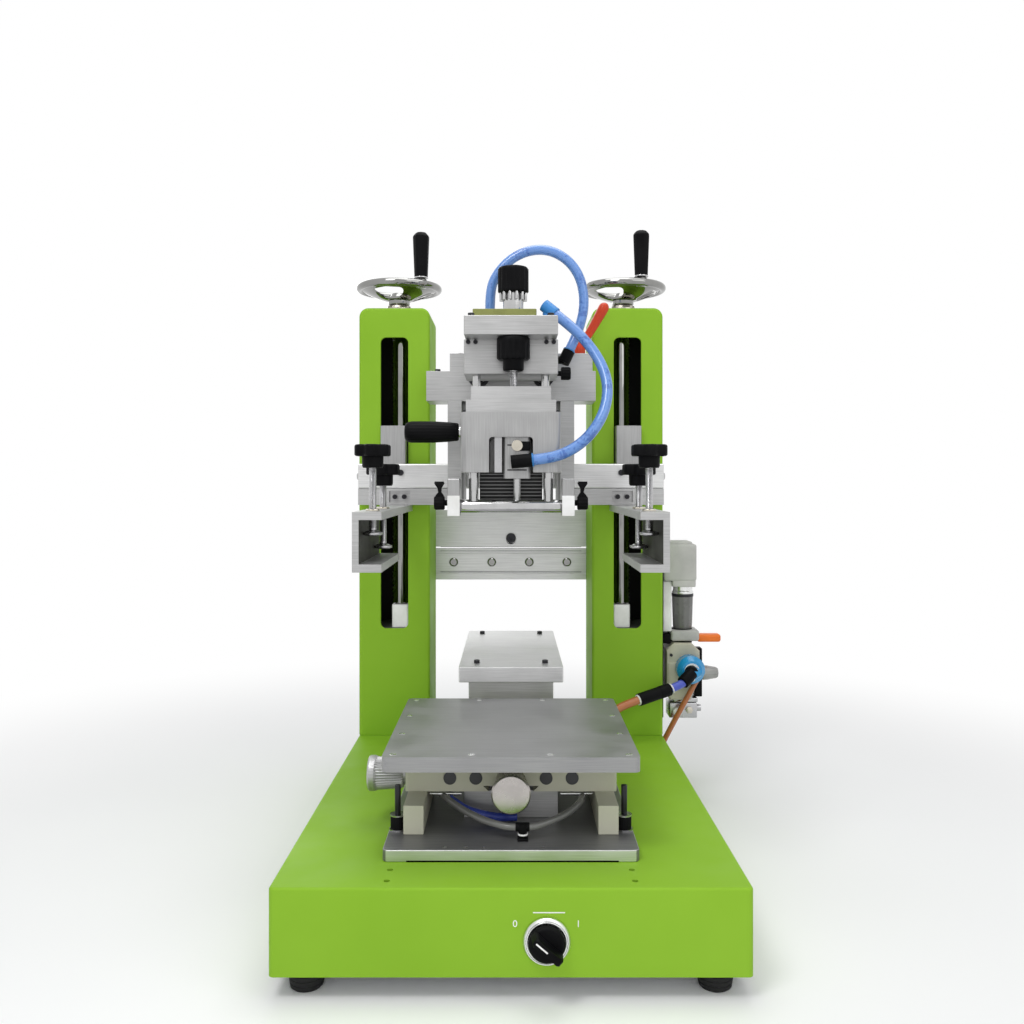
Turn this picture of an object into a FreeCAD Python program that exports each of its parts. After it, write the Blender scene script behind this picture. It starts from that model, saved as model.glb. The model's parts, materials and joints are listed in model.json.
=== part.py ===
"""Tabletop screen printing press, modelled as separate pieces in millimetres.

X runs to the right, Y to the rear and Z up. The origin is on the plane of the feet,
under the middle of the base. Every piece is written to parts/NODE.step.
"""
import FreeCAD, Part
import math
import os

Vector = FreeCAD.Vector
AXIS_X = Vector(1, 0, 0)
AXIS_Y = Vector(0, 1, 0)
AXIS_Z = Vector(0, 0, 1)
FULL_TURN = 360.0
SIDES = (-1, 1)

# Clearances and the overrun of cuts
FIT = 0.05            # radial running fit of a shaft in its bore
SEAT = 0.3            # gap at a seat between pieces that move on each other
SLIP = 0.05           # gap between flat sliding faces
OVERRUN = 1.0         # how far a cut runs past the face it opens
BEND_SHARE = 0.45     # of a cord's shorter run that each bend takes up
HEART_SHARE = 0.75    # of a fitting's barrel, where its stub branches off

# Feet
FOOT_HEIGHT = 15.0
FOOT_RADIUS = 12.5
FOOT_INSET = 20.0
FOOT_TAPER = 2.0

# Base housing, a folded sheet box
BASE_WIDTH = 300.0
BASE_DEPTH = 500.0
BASE_HEIGHT = 55.0
BASE_SHEET = 2.0
BASE_EDGE_RADIUS = 3.5
BOTTOM_PLATE = 1.5
BASE_HOLE_RADIUS = 2.0
BASE_HOLE_SPACING_X = 156.0
BASE_HOLE_SPACING_Y = 17.0
BASE_HOLE_INSET = 11.0   # the front pair, behind the front face

# Selector switch on the front face
SELECTOR_X = 22.0
SELECTOR_DROP = 32.0     # its centre, below the base's top
SELECTOR_BARREL_RADIUS = 11.0
SELECTOR_BARREL_LENGTH = 24.0
SELECTOR_BEZEL_RADIUS = 14.8
SELECTOR_BEZEL_DEPTH = 4.0
SELECTOR_BEZEL_BEVEL = 1.2
SELECTOR_KNOB_RADIUS = 11.5
SELECTOR_KNOB_DEPTH = 4.0
SELECTOR_BAR_WIDTH = 7.0
SELECTOR_BAR_DEPTH = 9.0
SELECTOR_BAR_EDGE = 2.3
SELECTOR_SPINDLE_RADIUS = 3.0
SELECTOR_SPINDLE_LENGTH = 8.0
SELECTOR_REST_TURN = 40.0     # degrees that the bar leans at rest

# Columns, folded sheet with a slot up the front
COLUMN_WIDTH = 70.0
COLUMN_DEPTH = 75.0
COLUMN_HEIGHT = 422.0
COLUMN_SHEET = 3.0
COLUMN_TOP_RADIUS = 9.0
COLUMN_FRONT_RADIUS = 3.0
COLUMN_FRONT_Y = 102.0
SLOT_WIDTH = 27.0
SLOT_RADIUS = 5.5
SLOT_FOOT = 105.5        # foot of the slot above the base's top
SLOT_HEAD = 29.3         # head of the slot below the column's top
BACK_COVER = 2.0
BACK_COVER_GAP = 0.3

# Shafts and screws inside the columns
GUIDE_RADIUS = 6.0
GUIDE_INSET_X = 5.0      # towards the middle of the press, from the column's centre
GUIDE_BEHIND_FRONT = 16.0
SCREW_RADIUS = 7.0
SCREW_BEHIND_FRONT = 40.0
SUPPORT_HEIGHT = 12.0
SUPPORT_DEPTH = 60.0
CAP_SIDE = 17.0
CAP_HEIGHT = 22.5
CAP_FLOOR = 8.0
CAP_EDGE_RADIUS = 2.1
BEARING_RADIUS = 15.0
BEARING_HEIGHT = 8.0
BEARING_SHOULDER = 11.0
BEARING_SHOULDER_DEPTH = 5.0

# Handwheels and their crank grips
WHEEL_RIM_RADIUS = 40.0
WHEEL_RIM_SECTION = 3.8
WHEEL_RIM_RISE = 18.0    # rim centre above the bearing
WHEEL_HUB_RADIUS = 11.0
WHEEL_HUB_HEIGHT = 13.0
WHEEL_HUB_BEVEL = 2.75
WHEEL_SPOKES = 3
WHEEL_SPOKE_THICKNESS = 4.0
WHEEL_SPOKE_HUB_WIDTH = 16.0
WHEEL_SPOKE_RIM_WIDTH = 8.0
WHEEL_LEFT_GRIP = (25.0, -26.0)
WHEEL_RIGHT_GRIP = (14.5, -33.0)
GRIP_BOSS_RADIUS = 6.0
GRIP_BOSS_HEIGHT = 5.5
GRIP_PIN_RADIUS = 3.0
GRIP_LENGTH = 46.0
GRIP_FOOT_RADIUS = 6.0
GRIP_HEAD_RADIUS = 8.5
GRIP_CROWN = 3.0
GRIP_SHOULDER_DROP = 6.0
GRIP_PIN_RECESS = 4.0

# Rear tie beam between the columns
TIE_DEPTH = 12.0
TIE_UPPER_FOOT = 181.0   # above the base's top
TIE_UPPER_HEIGHT = 39.0
TIE_LOWER_FOOT = 146.0
TIE_LOWER_HEIGHT = 33.0
TIE_GROOVE_WIDTH = 3.0
TIE_GROOVE_DEPTH = 1.5
TIE_GROOVE_RISE_SHARES = (0.2, 0.84)
TIE_HOLE_RADIUS = 3.0
TIE_COUNTERBORE_RADIUS = 5.0
TIE_COUNTERBORE_DEPTH = 5.0
TIE_HOLE_RISE = 7.5

# Rear rest block
REST_WIDTH = 90.0
REST_DEPTH = 200.0
REST_FRONT_Y = -20.0
REST_PLATE = 13.0
REST_PEDESTAL_WIDTH = 74.0
REST_PEDESTAL_HEIGHT = 78.0
REST_PEDESTAL_INSET = 12.0
REST_EDGE_RADIUS = 1.5

# Work table: plates and stages
TABLE_SIDE = 170.0
TABLE_FRONT_Y = -210.0
TABLE_BASE_PLATE = 8.0
TABLE_CORNER_RADIUS = 4.0
RAIL_WIDTH = 14.0
RAIL_HEIGHT = 20.0
RAIL_OUTER_X = 74.0
RAIL_LENGTH = 116.0
STAGE_FRONT_Y = -153.0
STAGE_WIDTH = 152.0
STAGE_DEPTH = 122.0
STAGE_HEIGHT = 20.0
STAGE_EDGE_RADIUS = 2.0
STAGE_PLUG_RADIUS = 4.7
STAGE_PLUG_DEPTH = 1.0
STAGE_PLUG_XS = (-44.0, -25.0, 25.0, 44.0)
STAGE_PLUG_RISE = 10.0
KEY_WIDTH = 40.0
KEY_TAPER = 8.0
KEY_HEIGHT = 4.0
KEY_SETBACK = 8.0            # the nut's key starts behind its front, clear of the knob
UPPER_STAGE_HEIGHT = 11.0
UPPER_STAGE_INSET = 5.0
TABLE_TOP_PLATE = 10.0
TABLE_TOP_WIDTH = 171.0
TABLE_HOLE_SPACING = 157.0
TABLE_HOLES_PER_SIDE = 4
TABLE_HOLE_RADIUS = 2.0
TABLE_HOLE_DEPTH = 6.0
NUT_WIDTH = 68.0
NUT_DEPTH = 50.0

# Knurled knobs of the table
TABLE_KNOB_RADIUS = 13.5
TABLE_KNOB_LENGTH = 28.0
TABLE_KNOB_NECK_RADIUS = 8.0
TABLE_KNOB_NECK_LENGTH = 8.0
TABLE_KNOB_SPINDLE_RADIUS = 4.0
TABLE_KNOB_SPINDLE_LENGTH = 30.0
TABLE_KNOB_BEVEL = 1.5
TABLE_KNOB_FLUTES = 24
TABLE_KNOB_FLUTE_DEPTH = 0.8
TABLE_KNOB_RISE = 9.0         # axis above the middle stage's foot
SIDE_KNOB_SHARE = 0.94        # the side knob's radius as a share of the front one's
SIDE_KNOB_BEHIND_FRONT = 14.0
SIDE_KNOB_LENGTH = 20.0

# Lift sliders and the cross beam that they carry
SLIDER_WIDTH = 25.0
SLIDER_STANDOFF = 10.0       # in front of the column
SLIDER_DEPTH = 63.0
SLIDER_FOOT = 225.0          # above the base's top
SLIDER_HEIGHT = 80.0
BEAM_HALF_WIDTH = 147.0
BEAM_DEPTH = 14.0
BEAM_FOOT = 243.7            # above the base's top
BEAM_HEIGHT = 23.8
BEAM_EDGE = 1.5

# Clamp arms: a bar under the beam, and a C-channel that opens inwards
ARM_BAR_HEIGHT = 15.7
ARM_BAR_INNER_X = 60.0
CHANNEL_OUTER_X = 118.0
CHANNEL_FLANGE = 22.0
CHANNEL_WEB = 5.0
CHANNEL_HEIGHT = 45.0
CHANNEL_FLANGE_THICKNESS = 6.0
CHANNEL_FRONT_Y = -131.0
CHANNEL_REAR_Y = -18.0
ARM_POCKET_X = 107.0          # a pocket in the bar's front, for its screws
ARM_POCKET_WIDTH = 20.0
ARM_POCKET_HEIGHT = 11.0
ARM_POCKET_DEPTH = 3.0

# Clamp screws, pads and star knobs
CLAMP_X = 106.0
CLAMP_FRONT_Y = -107.0
CLAMP_REAR_Y = -48.0
CLAMP_SPINDLE_RADIUS = 3.0
CLAMP_PAD_RADIUS = 6.7
CLAMP_PAD_HEIGHT = 4.0
CLAMP_PAD_BEVEL = 1.0
CLAMP_LENGTH = 70.0          # from the pad's foot to the knob's crown
CLAMP_FRONT_OPENING = 20.0   # pad's foot above the lower flange
CLAMP_REAR_OPENING = 6.0
KNOB_HUB_RADIUS = 8.3
KNOB_HUB_HEIGHT = 9.0
KNOB_STAR_RADIUS = 14.4
KNOB_STAR_HEIGHT = 9.0
KNOB_LOBES = 6
KNOB_VALLEY_RADIUS = 4.2
KNOB_VALLEY_SETBACK = 1.4
KNOB_STUD_RECESS = 2.0
KNOB_BEVEL = 1.0

# Head bearing block and side plates, on the beam
BEARING_HALF_WIDTH = 79.0
BEARING_FRONT_Y = 50.0
BEARING_FOOT = 325.5         # above the base's top
BEARING_WING_HEIGHT = 28.0
BEARING_CROWN_LEFT_X = -57.0
BEARING_CROWN_RIGHT_X = 76.0
BEARING_CROWN_HEIGHT = 16.5
SIDE_PLATE_INNER_X = 46.0
SIDE_PLATE_THICKNESS = 13.0
SIDE_PLATE_DEPTH = 28.0
SIDE_PLATE_FOOT = 230.0      # above the base's top

# Stroke rods
STROKE_ROD_RADIUS = 6.0
STROKE_ROD_X = 30.0
STROKE_ROD_FRONT_Y = -10.0
STROKE_ROD_LENGTH = 235.0
STROKE_ROD_RISE = 22.5       # above the bearing block's foot

# Print head, blocks from the top down
HEAD_MIDDLE_HALF_WIDTH = 40.0
HEAD_MIDDLE_FRONT_Y = -30.0
HEAD_MIDDLE_DEPTH = 60.0
HEAD_MIDDLE_FOOT = 342.0     # above the base's top
HEAD_MIDDLE_HEIGHT = 29.0
HEAD_TOP_HALF_WIDTH = 38.7
HEAD_TOP_FRONT_Y = -57.0
HEAD_TOP_HEIGHT = 16.0
HEAD_TOP_ROOF = 4.0           # left above the pressure screw's bore
HEAD_EDGE = 1.2
CAP_PLATE_LEFT_X = -33.0
CAP_PLATE_RIGHT_X = 22.0
CAP_PLATE_FRONT_Y = -20.0
CAP_PLATE_DEPTH = 38.0
CAP_PLATE_HEIGHT = 12.0
UPPER_KNOB_X = 2.0
UPPER_KNOB_RADIUS = 13.5
UPPER_KNOB_HEIGHT = 23.0
UPPER_KNOB_FLUTES = 16
UPPER_KNOB_FLUTE_DEPTH = 0.9
UPPER_COLLAR_RADIUS = 9.0
UPPER_COLLAR_HEIGHT = 16.7
UPPER_STUD_RADIUS = 4.0
UPPER_STUD_DEPTH = 10.0
LOWER_KNOB_X = 2.0
LOWER_KNOB_Y = -44.0
LOWER_KNOB_RADIUS = 13.8
LOWER_KNOB_HEIGHT = 19.0
LOWER_NECK_RADIUS = 8.7
LOWER_NECK_HEIGHT = 9.0
LOWER_SCREW_RADIUS = 3.5
LOWER_SCREW_LENGTH = 17.0
LOWER_SCREW_SOCKET = 14.0
PRESSURE_HALF_WIDTH = 37.0
PRESSURE_FRONT_Y = -57.0
PRESSURE_DEPTH = 77.0
PRESSURE_HEIGHT = 21.5
PRESSURE_STEP_HEIGHT = 10.0
PRESSURE_STEP_INSET = 4.0
HEAD_GAP = 13.0              # between the middle block and the pressure block
POST_RADIUS = 3.5
POST_X = 29.5
POST_Y = -20.0
POST_LENGTH = 42.0
POST_SEAT = 14.0
HOUSING_HALF_WIDTH = 41.5
HOUSING_FRONT_Y = -60.0
HOUSING_DEPTH = 75.0
HOUSING_HEIGHT = 49.5
HOUSING_EDGE_RADIUS = 6.0
HOUSING_ROOF = 1.5            # left above the guide rods' bores
WINDOW_HALF_WIDTH = 18.0
WINDOW_HEIGHT = 29.0
WINDOW_DEPTH = 45.0
WINDOW_RADIUS = 3.0

# Air cylinder in the window, with its two fittings
CYLINDER_LEFT_X = -6.0
CYLINDER_RIGHT_X = 16.0
CYLINDER_FRONT_INSET = 6.0
CYLINDER_HEIGHT = 34.0
CYLINDER_EDGE_RADIUS = 2.5
CYLINDER_STRIP_WIDTH = 6.0
CYLINDER_STRIP_GAP = 1.5
FITTING_RADIUS = 4.5
FITTING_LENGTH = 5.0
ELBOW_UPPER_RISE = 22.0      # above the housing's foot
ELBOW_UPPER_REACH = 4.0

# Squeegee holder under the housing
GUIDE_ROD_RADIUS = 4.0
GUIDE_ROD_X = 31.0
PISTON_ROD_RADIUS = 3.0
PISTON_ROD_X = 5.0
HOLDER_Y = -45.0
HOLDER_DROP = 28.0           # bar's centre below the housing's foot
HOLDER_BAR_RADIUS = 5.6
HOLDER_ROD_STICKOUT = 4.0
HOLDER_ROD_ENGAGED = 30.0
PISTON_ROD_ENGAGED = 12.0
END_BLOCK_INNER_X = 42.2
END_BLOCK_WIDTH = 10.0
END_BLOCK_DEPTH = 20.0
END_BLOCK_HEIGHT = 31.0
END_BLOCK_FOOT_DROP = 8.0    # block's foot below the bar's centre
END_BLOCK_EDGE_RADIUS = 1.5
THUMB_HEAD_RADIUS = 6.0
THUMB_HEAD_LENGTH = 9.0
THUMB_SHANK_RADIUS = 2.5
THUMB_SHANK_LENGTH = 2.8
THUMB_WING_HEIGHT = 12.0
THUMB_WING_THICKNESS = 5.0

# Pull handle on the housing's left side
HANDLE_RADIUS = 9.25
HANDLE_LENGTH = 46.0
HANDLE_NECK_RADIUS = 5.0
HANDLE_NECK_LENGTH = 3.5
HANDLE_Y = -20.0
HANDLE_RISE = 35.0           # above the housing's foot
HANDLE_TAPER = 1.6
HANDLE_CROWN = 4.0
HANDLE_CROWN_INSET = 2.0

# Clamp lever on the bearing block's crown
LEVER_X = 62.0
LEVER_Y = 70.0
LEVER_HUB_RADIUS = 9.0
LEVER_HUB_HEIGHT = 14.0
LEVER_REACH = 26.0
LEVER_RISE = 38.0
LEVER_ARM_RADIUS = 4.0
LEVER_TIP_RADIUS = 6.0
LEVER_STUD_RADIUS = 4.0
LEVER_STUD_HEIGHT = 4.0
LEVER_SOCKET_DEPTH = 8.0
LEVER_HUB_TAPER = 0.9

# Air hoses of the head, their routes chosen by hand
HOSE_RADIUS = 4.5
HOSE_A_ROUTE = (
    (17.0, -66.5, 338.0), (32.5, -67.0, 339.5), (48.5, -65.5, 345.5), (62.5, -61.5, 356.0),
    (73.5, -55.5, 370.5), (80.0, -48.5, 388.0), (80.5, -41.0, 406.0), (74.5, -33.5, 423.5),
    (64.0, -26.5, 440.0), (51.0, -21.0, 454.0), (37.5, -16.5, 465.5),
)
HOSE_B_ROUTE = (
    (-19.0, 24.0, 472.0), (-19.0, 24.0, 486.0), (-17.0, 26.0, 501.0), (-8.5, 26.0, 514.5),
    (4.0, 25.5, 525.0), (19.5, 25.0, 530.5), (35.5, 25.0, 530.0), (50.0, 25.0, 522.5),
    (60.5, 25.0, 510.0), (65.5, 24.5, 494.0), (66.0, 23.5, 477.5), (62.5, 22.0, 462.0),
    (57.5, 20.5, 449.0), (52.0, 18.5, 437.5),
)
HOSE_BARREL_LENGTH = 12.0
HOSE_BARREL_RADIUS = 5.5
HOSE_STUB_RADIUS = 3.5

# Air unit on the right column's outer side
AIR_PLATE_THICKNESS = 4.0
AIR_PLATE_DEPTH = 36.0
AIR_PLATE_FOOT = 12.0        # above the base's top
AIR_PLATE_HEIGHT = 184.0
AIR_UNIT_Y = 142.0
AIR_WIDTH = 42.0
AIR_BLOCK_DEPTH = 34.0
FILTER_FOOT = 138.0
FILTER_HEIGHT = 50.0
FILTER_EDGE_RADIUS = 4.0
BOWL_RADIUS = 15.0
BOWL_HEIGHT = 38.0
REGULATOR_FOOT = 34.0
REGULATOR_HEIGHT = 52.0
REGULATOR_NECK_RADIUS = 9.0
COLLAR_RADIUS = 14.0
COLLAR_LENGTH = 16.0
COLLAR_RISE = 28.0
COLLAR_X = 30.0              # from the column's outer side
COLLAR_NOSE_SHARE = 0.7
VALVE_WIDTH = 28.0           # the drain valve under the regulator
VALVE_HEIGHT = 18.0
VALVE_DEPTH = 24.0
VALVE_INSET_X = 6.0
TAB_WIDTH = 23.0             # the orange lock slide beside the neck
TAB_HEIGHT = 8.0
TAB_DEPTH = 14.0
TAB_REACH = 61.0             # its tip, from the plate
DIAL_RADIUS = 8.0            # the grey relief knob on the regulator's side
DIAL_LENGTH = 17.0
DIAL_RISE = 20.0

# Supply tube with its union
SUPPLY_RADIUS = 4.0
SUPPLY_ROUTE = (
    (66.0, 40.0, 84.0), (78.5, 50.0, 93.5), (92.5, 60.5, 101.0), (107.5, 71.3, 107.0),
    (122.9, 77.95, 110.5),
)
UNION_RADIUS = 6.0
REGULATOR_ROUTE = (
    (144.9, 87.45, 115.5), (155.9, 92.2, 118.0), (168.0, 96.5, 122.5), (178.0, 103.0, 127.5),
)
SUPPLY_BARREL_LENGTH = 10.0
SUPPLY_BARREL_RADIUS = 5.0
SUPPLY_STUB_RADIUS = 3.5

# Places worked out from the driving sizes
BASE_TOP = FOOT_HEIGHT + BASE_HEIGHT
BASE_FRONT_Y = -BASE_DEPTH / 2
COLUMN_X = (BASE_WIDTH - COLUMN_WIDTH) / 2
COLUMN_TOP = BASE_TOP + COLUMN_HEIGHT
COLUMN_REAR_Y = COLUMN_FRONT_Y + COLUMN_DEPTH
SLOT_BOTTOM = BASE_TOP + SLOT_FOOT
GUIDE_X = COLUMN_X - GUIDE_INSET_X
GUIDE_Y = COLUMN_FRONT_Y + GUIDE_BEHIND_FRONT
SCREW_Y = COLUMN_FRONT_Y + SCREW_BEHIND_FRONT
WHEEL_FOOT = COLUMN_TOP + BEARING_HEIGHT + SEAT
SLIDER_FRONT_Y = COLUMN_FRONT_Y - SLIDER_STANDOFF
BEAM_FRONT_Y = SLIDER_FRONT_Y - BEAM_DEPTH
BEAM_BOTTOM = BASE_TOP + BEAM_FOOT
CHANNEL_TOP = BEAM_BOTTOM - ARM_BAR_HEIGHT
CHANNEL_BOTTOM = CHANNEL_TOP - CHANNEL_HEIGHT
BEARING_BOTTOM = BASE_TOP + BEARING_FOOT
STROKE_ROD_Z = BEARING_BOTTOM + STROKE_ROD_RISE
HEAD_MIDDLE_BOTTOM = BASE_TOP + HEAD_MIDDLE_FOOT
HEAD_TOP_BOTTOM = HEAD_MIDDLE_BOTTOM + HEAD_MIDDLE_HEIGHT
HEAD_TOP_CROWN = HEAD_TOP_BOTTOM + HEAD_TOP_HEIGHT
HEAD_REAR_Y = HEAD_MIDDLE_FRONT_Y + HEAD_MIDDLE_DEPTH
PRESSURE_TOP = HEAD_MIDDLE_BOTTOM - HEAD_GAP
PRESSURE_BOTTOM = PRESSURE_TOP - PRESSURE_HEIGHT
HOUSING_BOTTOM = PRESSURE_BOTTOM - HOUSING_HEIGHT
HOLDER_Z = HOUSING_BOTTOM - HOLDER_DROP
TABLE_STAGE_BOTTOM = BASE_TOP + TABLE_BASE_PLATE + RAIL_HEIGHT
TABLE_UPPER_BOTTOM = TABLE_STAGE_BOTTOM + STAGE_HEIGHT
TABLE_PLATE_BOTTOM = TABLE_UPPER_BOTTOM + UPPER_STAGE_HEIGHT
TABLE_CENTRE_Y = TABLE_FRONT_Y + TABLE_SIDE / 2


def block(x0, x1, y0, y1, z0, z1):
    """A rectangular block between two corners, in any order along X."""
    left = min(x0, x1)
    right = max(x0, x1)
    return Part.makeBox(right - left, y1 - y0, z1 - z0, Vector(left, y0, z0))


def round_bar(radius, start, end):
    """A round bar between two points."""
    axis = Vector(*end) - Vector(*start)
    return Part.makeCylinder(radius, axis.Length, Vector(*start), axis)


def edges_along(shape, axis, keep=None):
    """The straight edges of a shape that run along an axis."""
    picked = []
    for edge in shape.Edges:
        if len(edge.Vertexes) < len(SIDES):
            continue
        first = edge.Vertexes[0].Point
        last = edge.Vertexes[-1].Point
        run = last - first
        if run.cross(axis).Length > SLIP / 2:
            continue
        middle = (first + last) / 2
        if keep is None or keep(middle):
            picked.append(edge)
    return picked


def soften(shape, radius, axis, keep=None):
    """Round the straight edges along an axis."""
    return shape.makeFillet(radius, edges_along(shape, axis, keep))


def turned(profile, centre, axis=AXIS_Z):
    """A solid of revolution: profile points are (radius, height) along an axis at a centre."""
    points = [Vector(radius, 0, height) for radius, height in profile]
    points.append(points[0])
    face = Part.Face(Part.makePolygon(points))
    solid = face.revolve(Vector(0, 0, 0), AXIS_Z, FULL_TURN)
    solid = Part.makeSolid(solid.Shells[0])
    placed = FreeCAD.Placement(Vector(*centre), FreeCAD.Rotation(AXIS_Z, axis))
    solid.Placement = placed
    return solid


def fluted(solid, radius, depth, count, length, centre, axis=AXIS_Z):
    """Cut grip flutes along the side of a round knob."""
    step = FULL_TURN / count
    flute_radius = math.pi * radius / count / 2
    turn = FreeCAD.Rotation(AXIS_Z, axis)
    cutters = []
    for index in range(count):
        angle = math.radians(index * step)
        out = radius + flute_radius - depth
        spot = Vector(out * math.cos(angle), out * math.sin(angle), -OVERRUN)
        start = Vector(*centre) + turn.multVec(spot)
        cutters.append(Part.makeCylinder(flute_radius, length + 2 * OVERRUN, start, axis))
    return solid.cut(cutters)


def tube(points, radius, name):
    """A round tube along straight runs joined by arcs as large as the runs allow."""
    spots = [Vector(*point) for point in points]
    edges = []
    radii = []
    start = spots[0]
    for before, corner, after in zip(spots, spots[1:], spots[2:]):
        into = (corner - before).normalize()
        out = (after - corner).normalize()
        half_turn = into.getAngle(out) / 2
        trim = BEND_SHARE * min((corner - before).Length, (after - corner).Length)
        bend = trim / math.tan(half_turn)
        radii.append(bend)
        first = corner - into * trim
        last = corner + out * trim
        inward = (out - into).normalize()
        centre = corner + inward * (bend / math.cos(half_turn))
        middle = centre - inward * bend
        edges.append(Part.LineSegment(start, first).toShape())
        edges.append(Part.Arc(first, middle, last).toShape())
        start = last
    edges.append(Part.LineSegment(start, spots[-1]).toShape())
    path = Part.Wire(edges)
    direction = (spots[1] - spots[0]).normalize()
    ring = Part.Wire(Part.makeCircle(radius, spots[0], direction))
    solid = path.makePipeShell([ring], True, False)
    ideal = math.pi * radius * radius * path.Length
    print(name, "length", round(path.Length, 1), "least radius", round(min(radii), 1),
          "volume share", round(solid.Volume / ideal, 4))
    return solid


def fitting(end, neighbour, length, radius):
    """The barrel that a hose's end runs into, in line with its last run."""
    tip = Vector(*end)
    direction = (tip - Vector(*neighbour)).normalize()
    barrel = Part.makeCylinder(radius, length, tip, direction)
    return barrel, tip + direction * (length * HEART_SHARE)


def make_base_housing():
    """The folded green box: open below, holes for the switch and the front fixture."""
    half = BASE_WIDTH / 2
    outer = block(-half, half, BASE_FRONT_Y, -BASE_FRONT_Y, FOOT_HEIGHT, BASE_TOP)
    outer = soften(outer, BASE_EDGE_RADIUS, AXIS_Z)
    above = [edge for edge in outer.Edges if edge.CenterOfMass.z > BASE_TOP - SLIP]
    outer = outer.makeFillet(BASE_EDGE_RADIUS / 2, above)
    inner = block(BASE_SHEET - half, half - BASE_SHEET, BASE_FRONT_Y + BASE_SHEET,
                  -BASE_FRONT_Y - BASE_SHEET, FOOT_HEIGHT - OVERRUN, BASE_TOP - BASE_SHEET)
    shell = outer.cut(inner)
    switch = (SELECTOR_X, BASE_FRONT_Y - OVERRUN, BASE_TOP - SELECTOR_DROP)
    behind = (SELECTOR_X, BASE_FRONT_Y + BASE_SHEET + OVERRUN, BASE_TOP - SELECTOR_DROP)
    cutters = [round_bar(SELECTOR_BARREL_RADIUS + FIT, switch, behind)]
    for side in SIDES:
        x = side * BASE_HOLE_SPACING_X / 2
        for row in range(len(SIDES)):
            y = BASE_FRONT_Y + BASE_HOLE_INSET + row * BASE_HOLE_SPACING_Y
            cutters.append(round_bar(BASE_HOLE_RADIUS, (x, y, BASE_TOP - BASE_SHEET - OVERRUN),
                                     (x, y, BASE_TOP + OVERRUN)))
    return [shell.cut(cutters)]


def make_bottom_plate():
    """The plate that closes the base from below."""
    x = BASE_WIDTH / 2 - BASE_SHEET - FIT
    y = BASE_DEPTH / 2 - BASE_SHEET - FIT
    return [block(-x, x, -y, y, FOOT_HEIGHT, FOOT_HEIGHT + BOTTOM_PLATE)]


def make_feet():
    """Four tapered rubber feet under the corners."""
    feet = []
    for side_x in SIDES:
        for side_y in SIDES:
            centre = (side_x * (BASE_WIDTH / 2 - FOOT_INSET), side_y * (BASE_DEPTH / 2 - FOOT_INSET), 0)
            profile = ((0, 0), (FOOT_RADIUS - FOOT_TAPER, 0), (FOOT_RADIUS, FOOT_HEIGHT), (0, FOOT_HEIGHT))
            feet.append(turned(profile, centre))
    return feet


def make_selector_bezel():
    """The switch's bright ring on the front face, with its barrel through the sheet."""
    centre = (SELECTOR_X, BASE_FRONT_Y, BASE_TOP - SELECTOR_DROP)
    rim = SELECTOR_BEZEL_RADIUS
    bore = SELECTOR_SPINDLE_RADIUS + FIT
    inner = SELECTOR_BEZEL_DEPTH
    profile = ((bore, -SELECTOR_BARREL_LENGTH), (SELECTOR_BARREL_RADIUS, -SELECTOR_BARREL_LENGTH),
               (SELECTOR_BARREL_RADIUS, 0), (rim, 0), (rim, inner - SELECTOR_BEZEL_BEVEL),
               (rim - SELECTOR_BEZEL_BEVEL, inner), (bore, inner))
    return [turned(profile, centre, -AXIS_Y)]


def make_selector_knob():
    """The black turning knob: a disc with a grip bar across it, on its spindle."""
    z = BASE_TOP - SELECTOR_DROP
    front = BASE_FRONT_Y - SELECTOR_BEZEL_DEPTH - SLIP
    disc = round_bar(SELECTOR_KNOB_RADIUS, (SELECTOR_X, front, z),
                     (SELECTOR_X, front - SELECTOR_KNOB_DEPTH, z))
    bar = block(SELECTOR_X - SELECTOR_KNOB_RADIUS, SELECTOR_X + SELECTOR_KNOB_RADIUS,
                front - SELECTOR_KNOB_DEPTH - SELECTOR_BAR_DEPTH, front,
                z - SELECTOR_BAR_WIDTH / 2, z + SELECTOR_BAR_WIDTH / 2)
    bar = soften(bar, SELECTOR_BAR_EDGE, AXIS_Y)
    spindle = round_bar(SELECTOR_SPINDLE_RADIUS, (SELECTOR_X, front, z),
                        (SELECTOR_X, front + SELECTOR_BEZEL_DEPTH + SELECTOR_SPINDLE_LENGTH, z))
    knob = disc.fuse([bar, spindle]).removeSplitter()
    knob.rotate(Vector(SELECTOR_X, front, z), AXIS_Y, SELECTOR_REST_TURN)
    return [knob]


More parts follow.
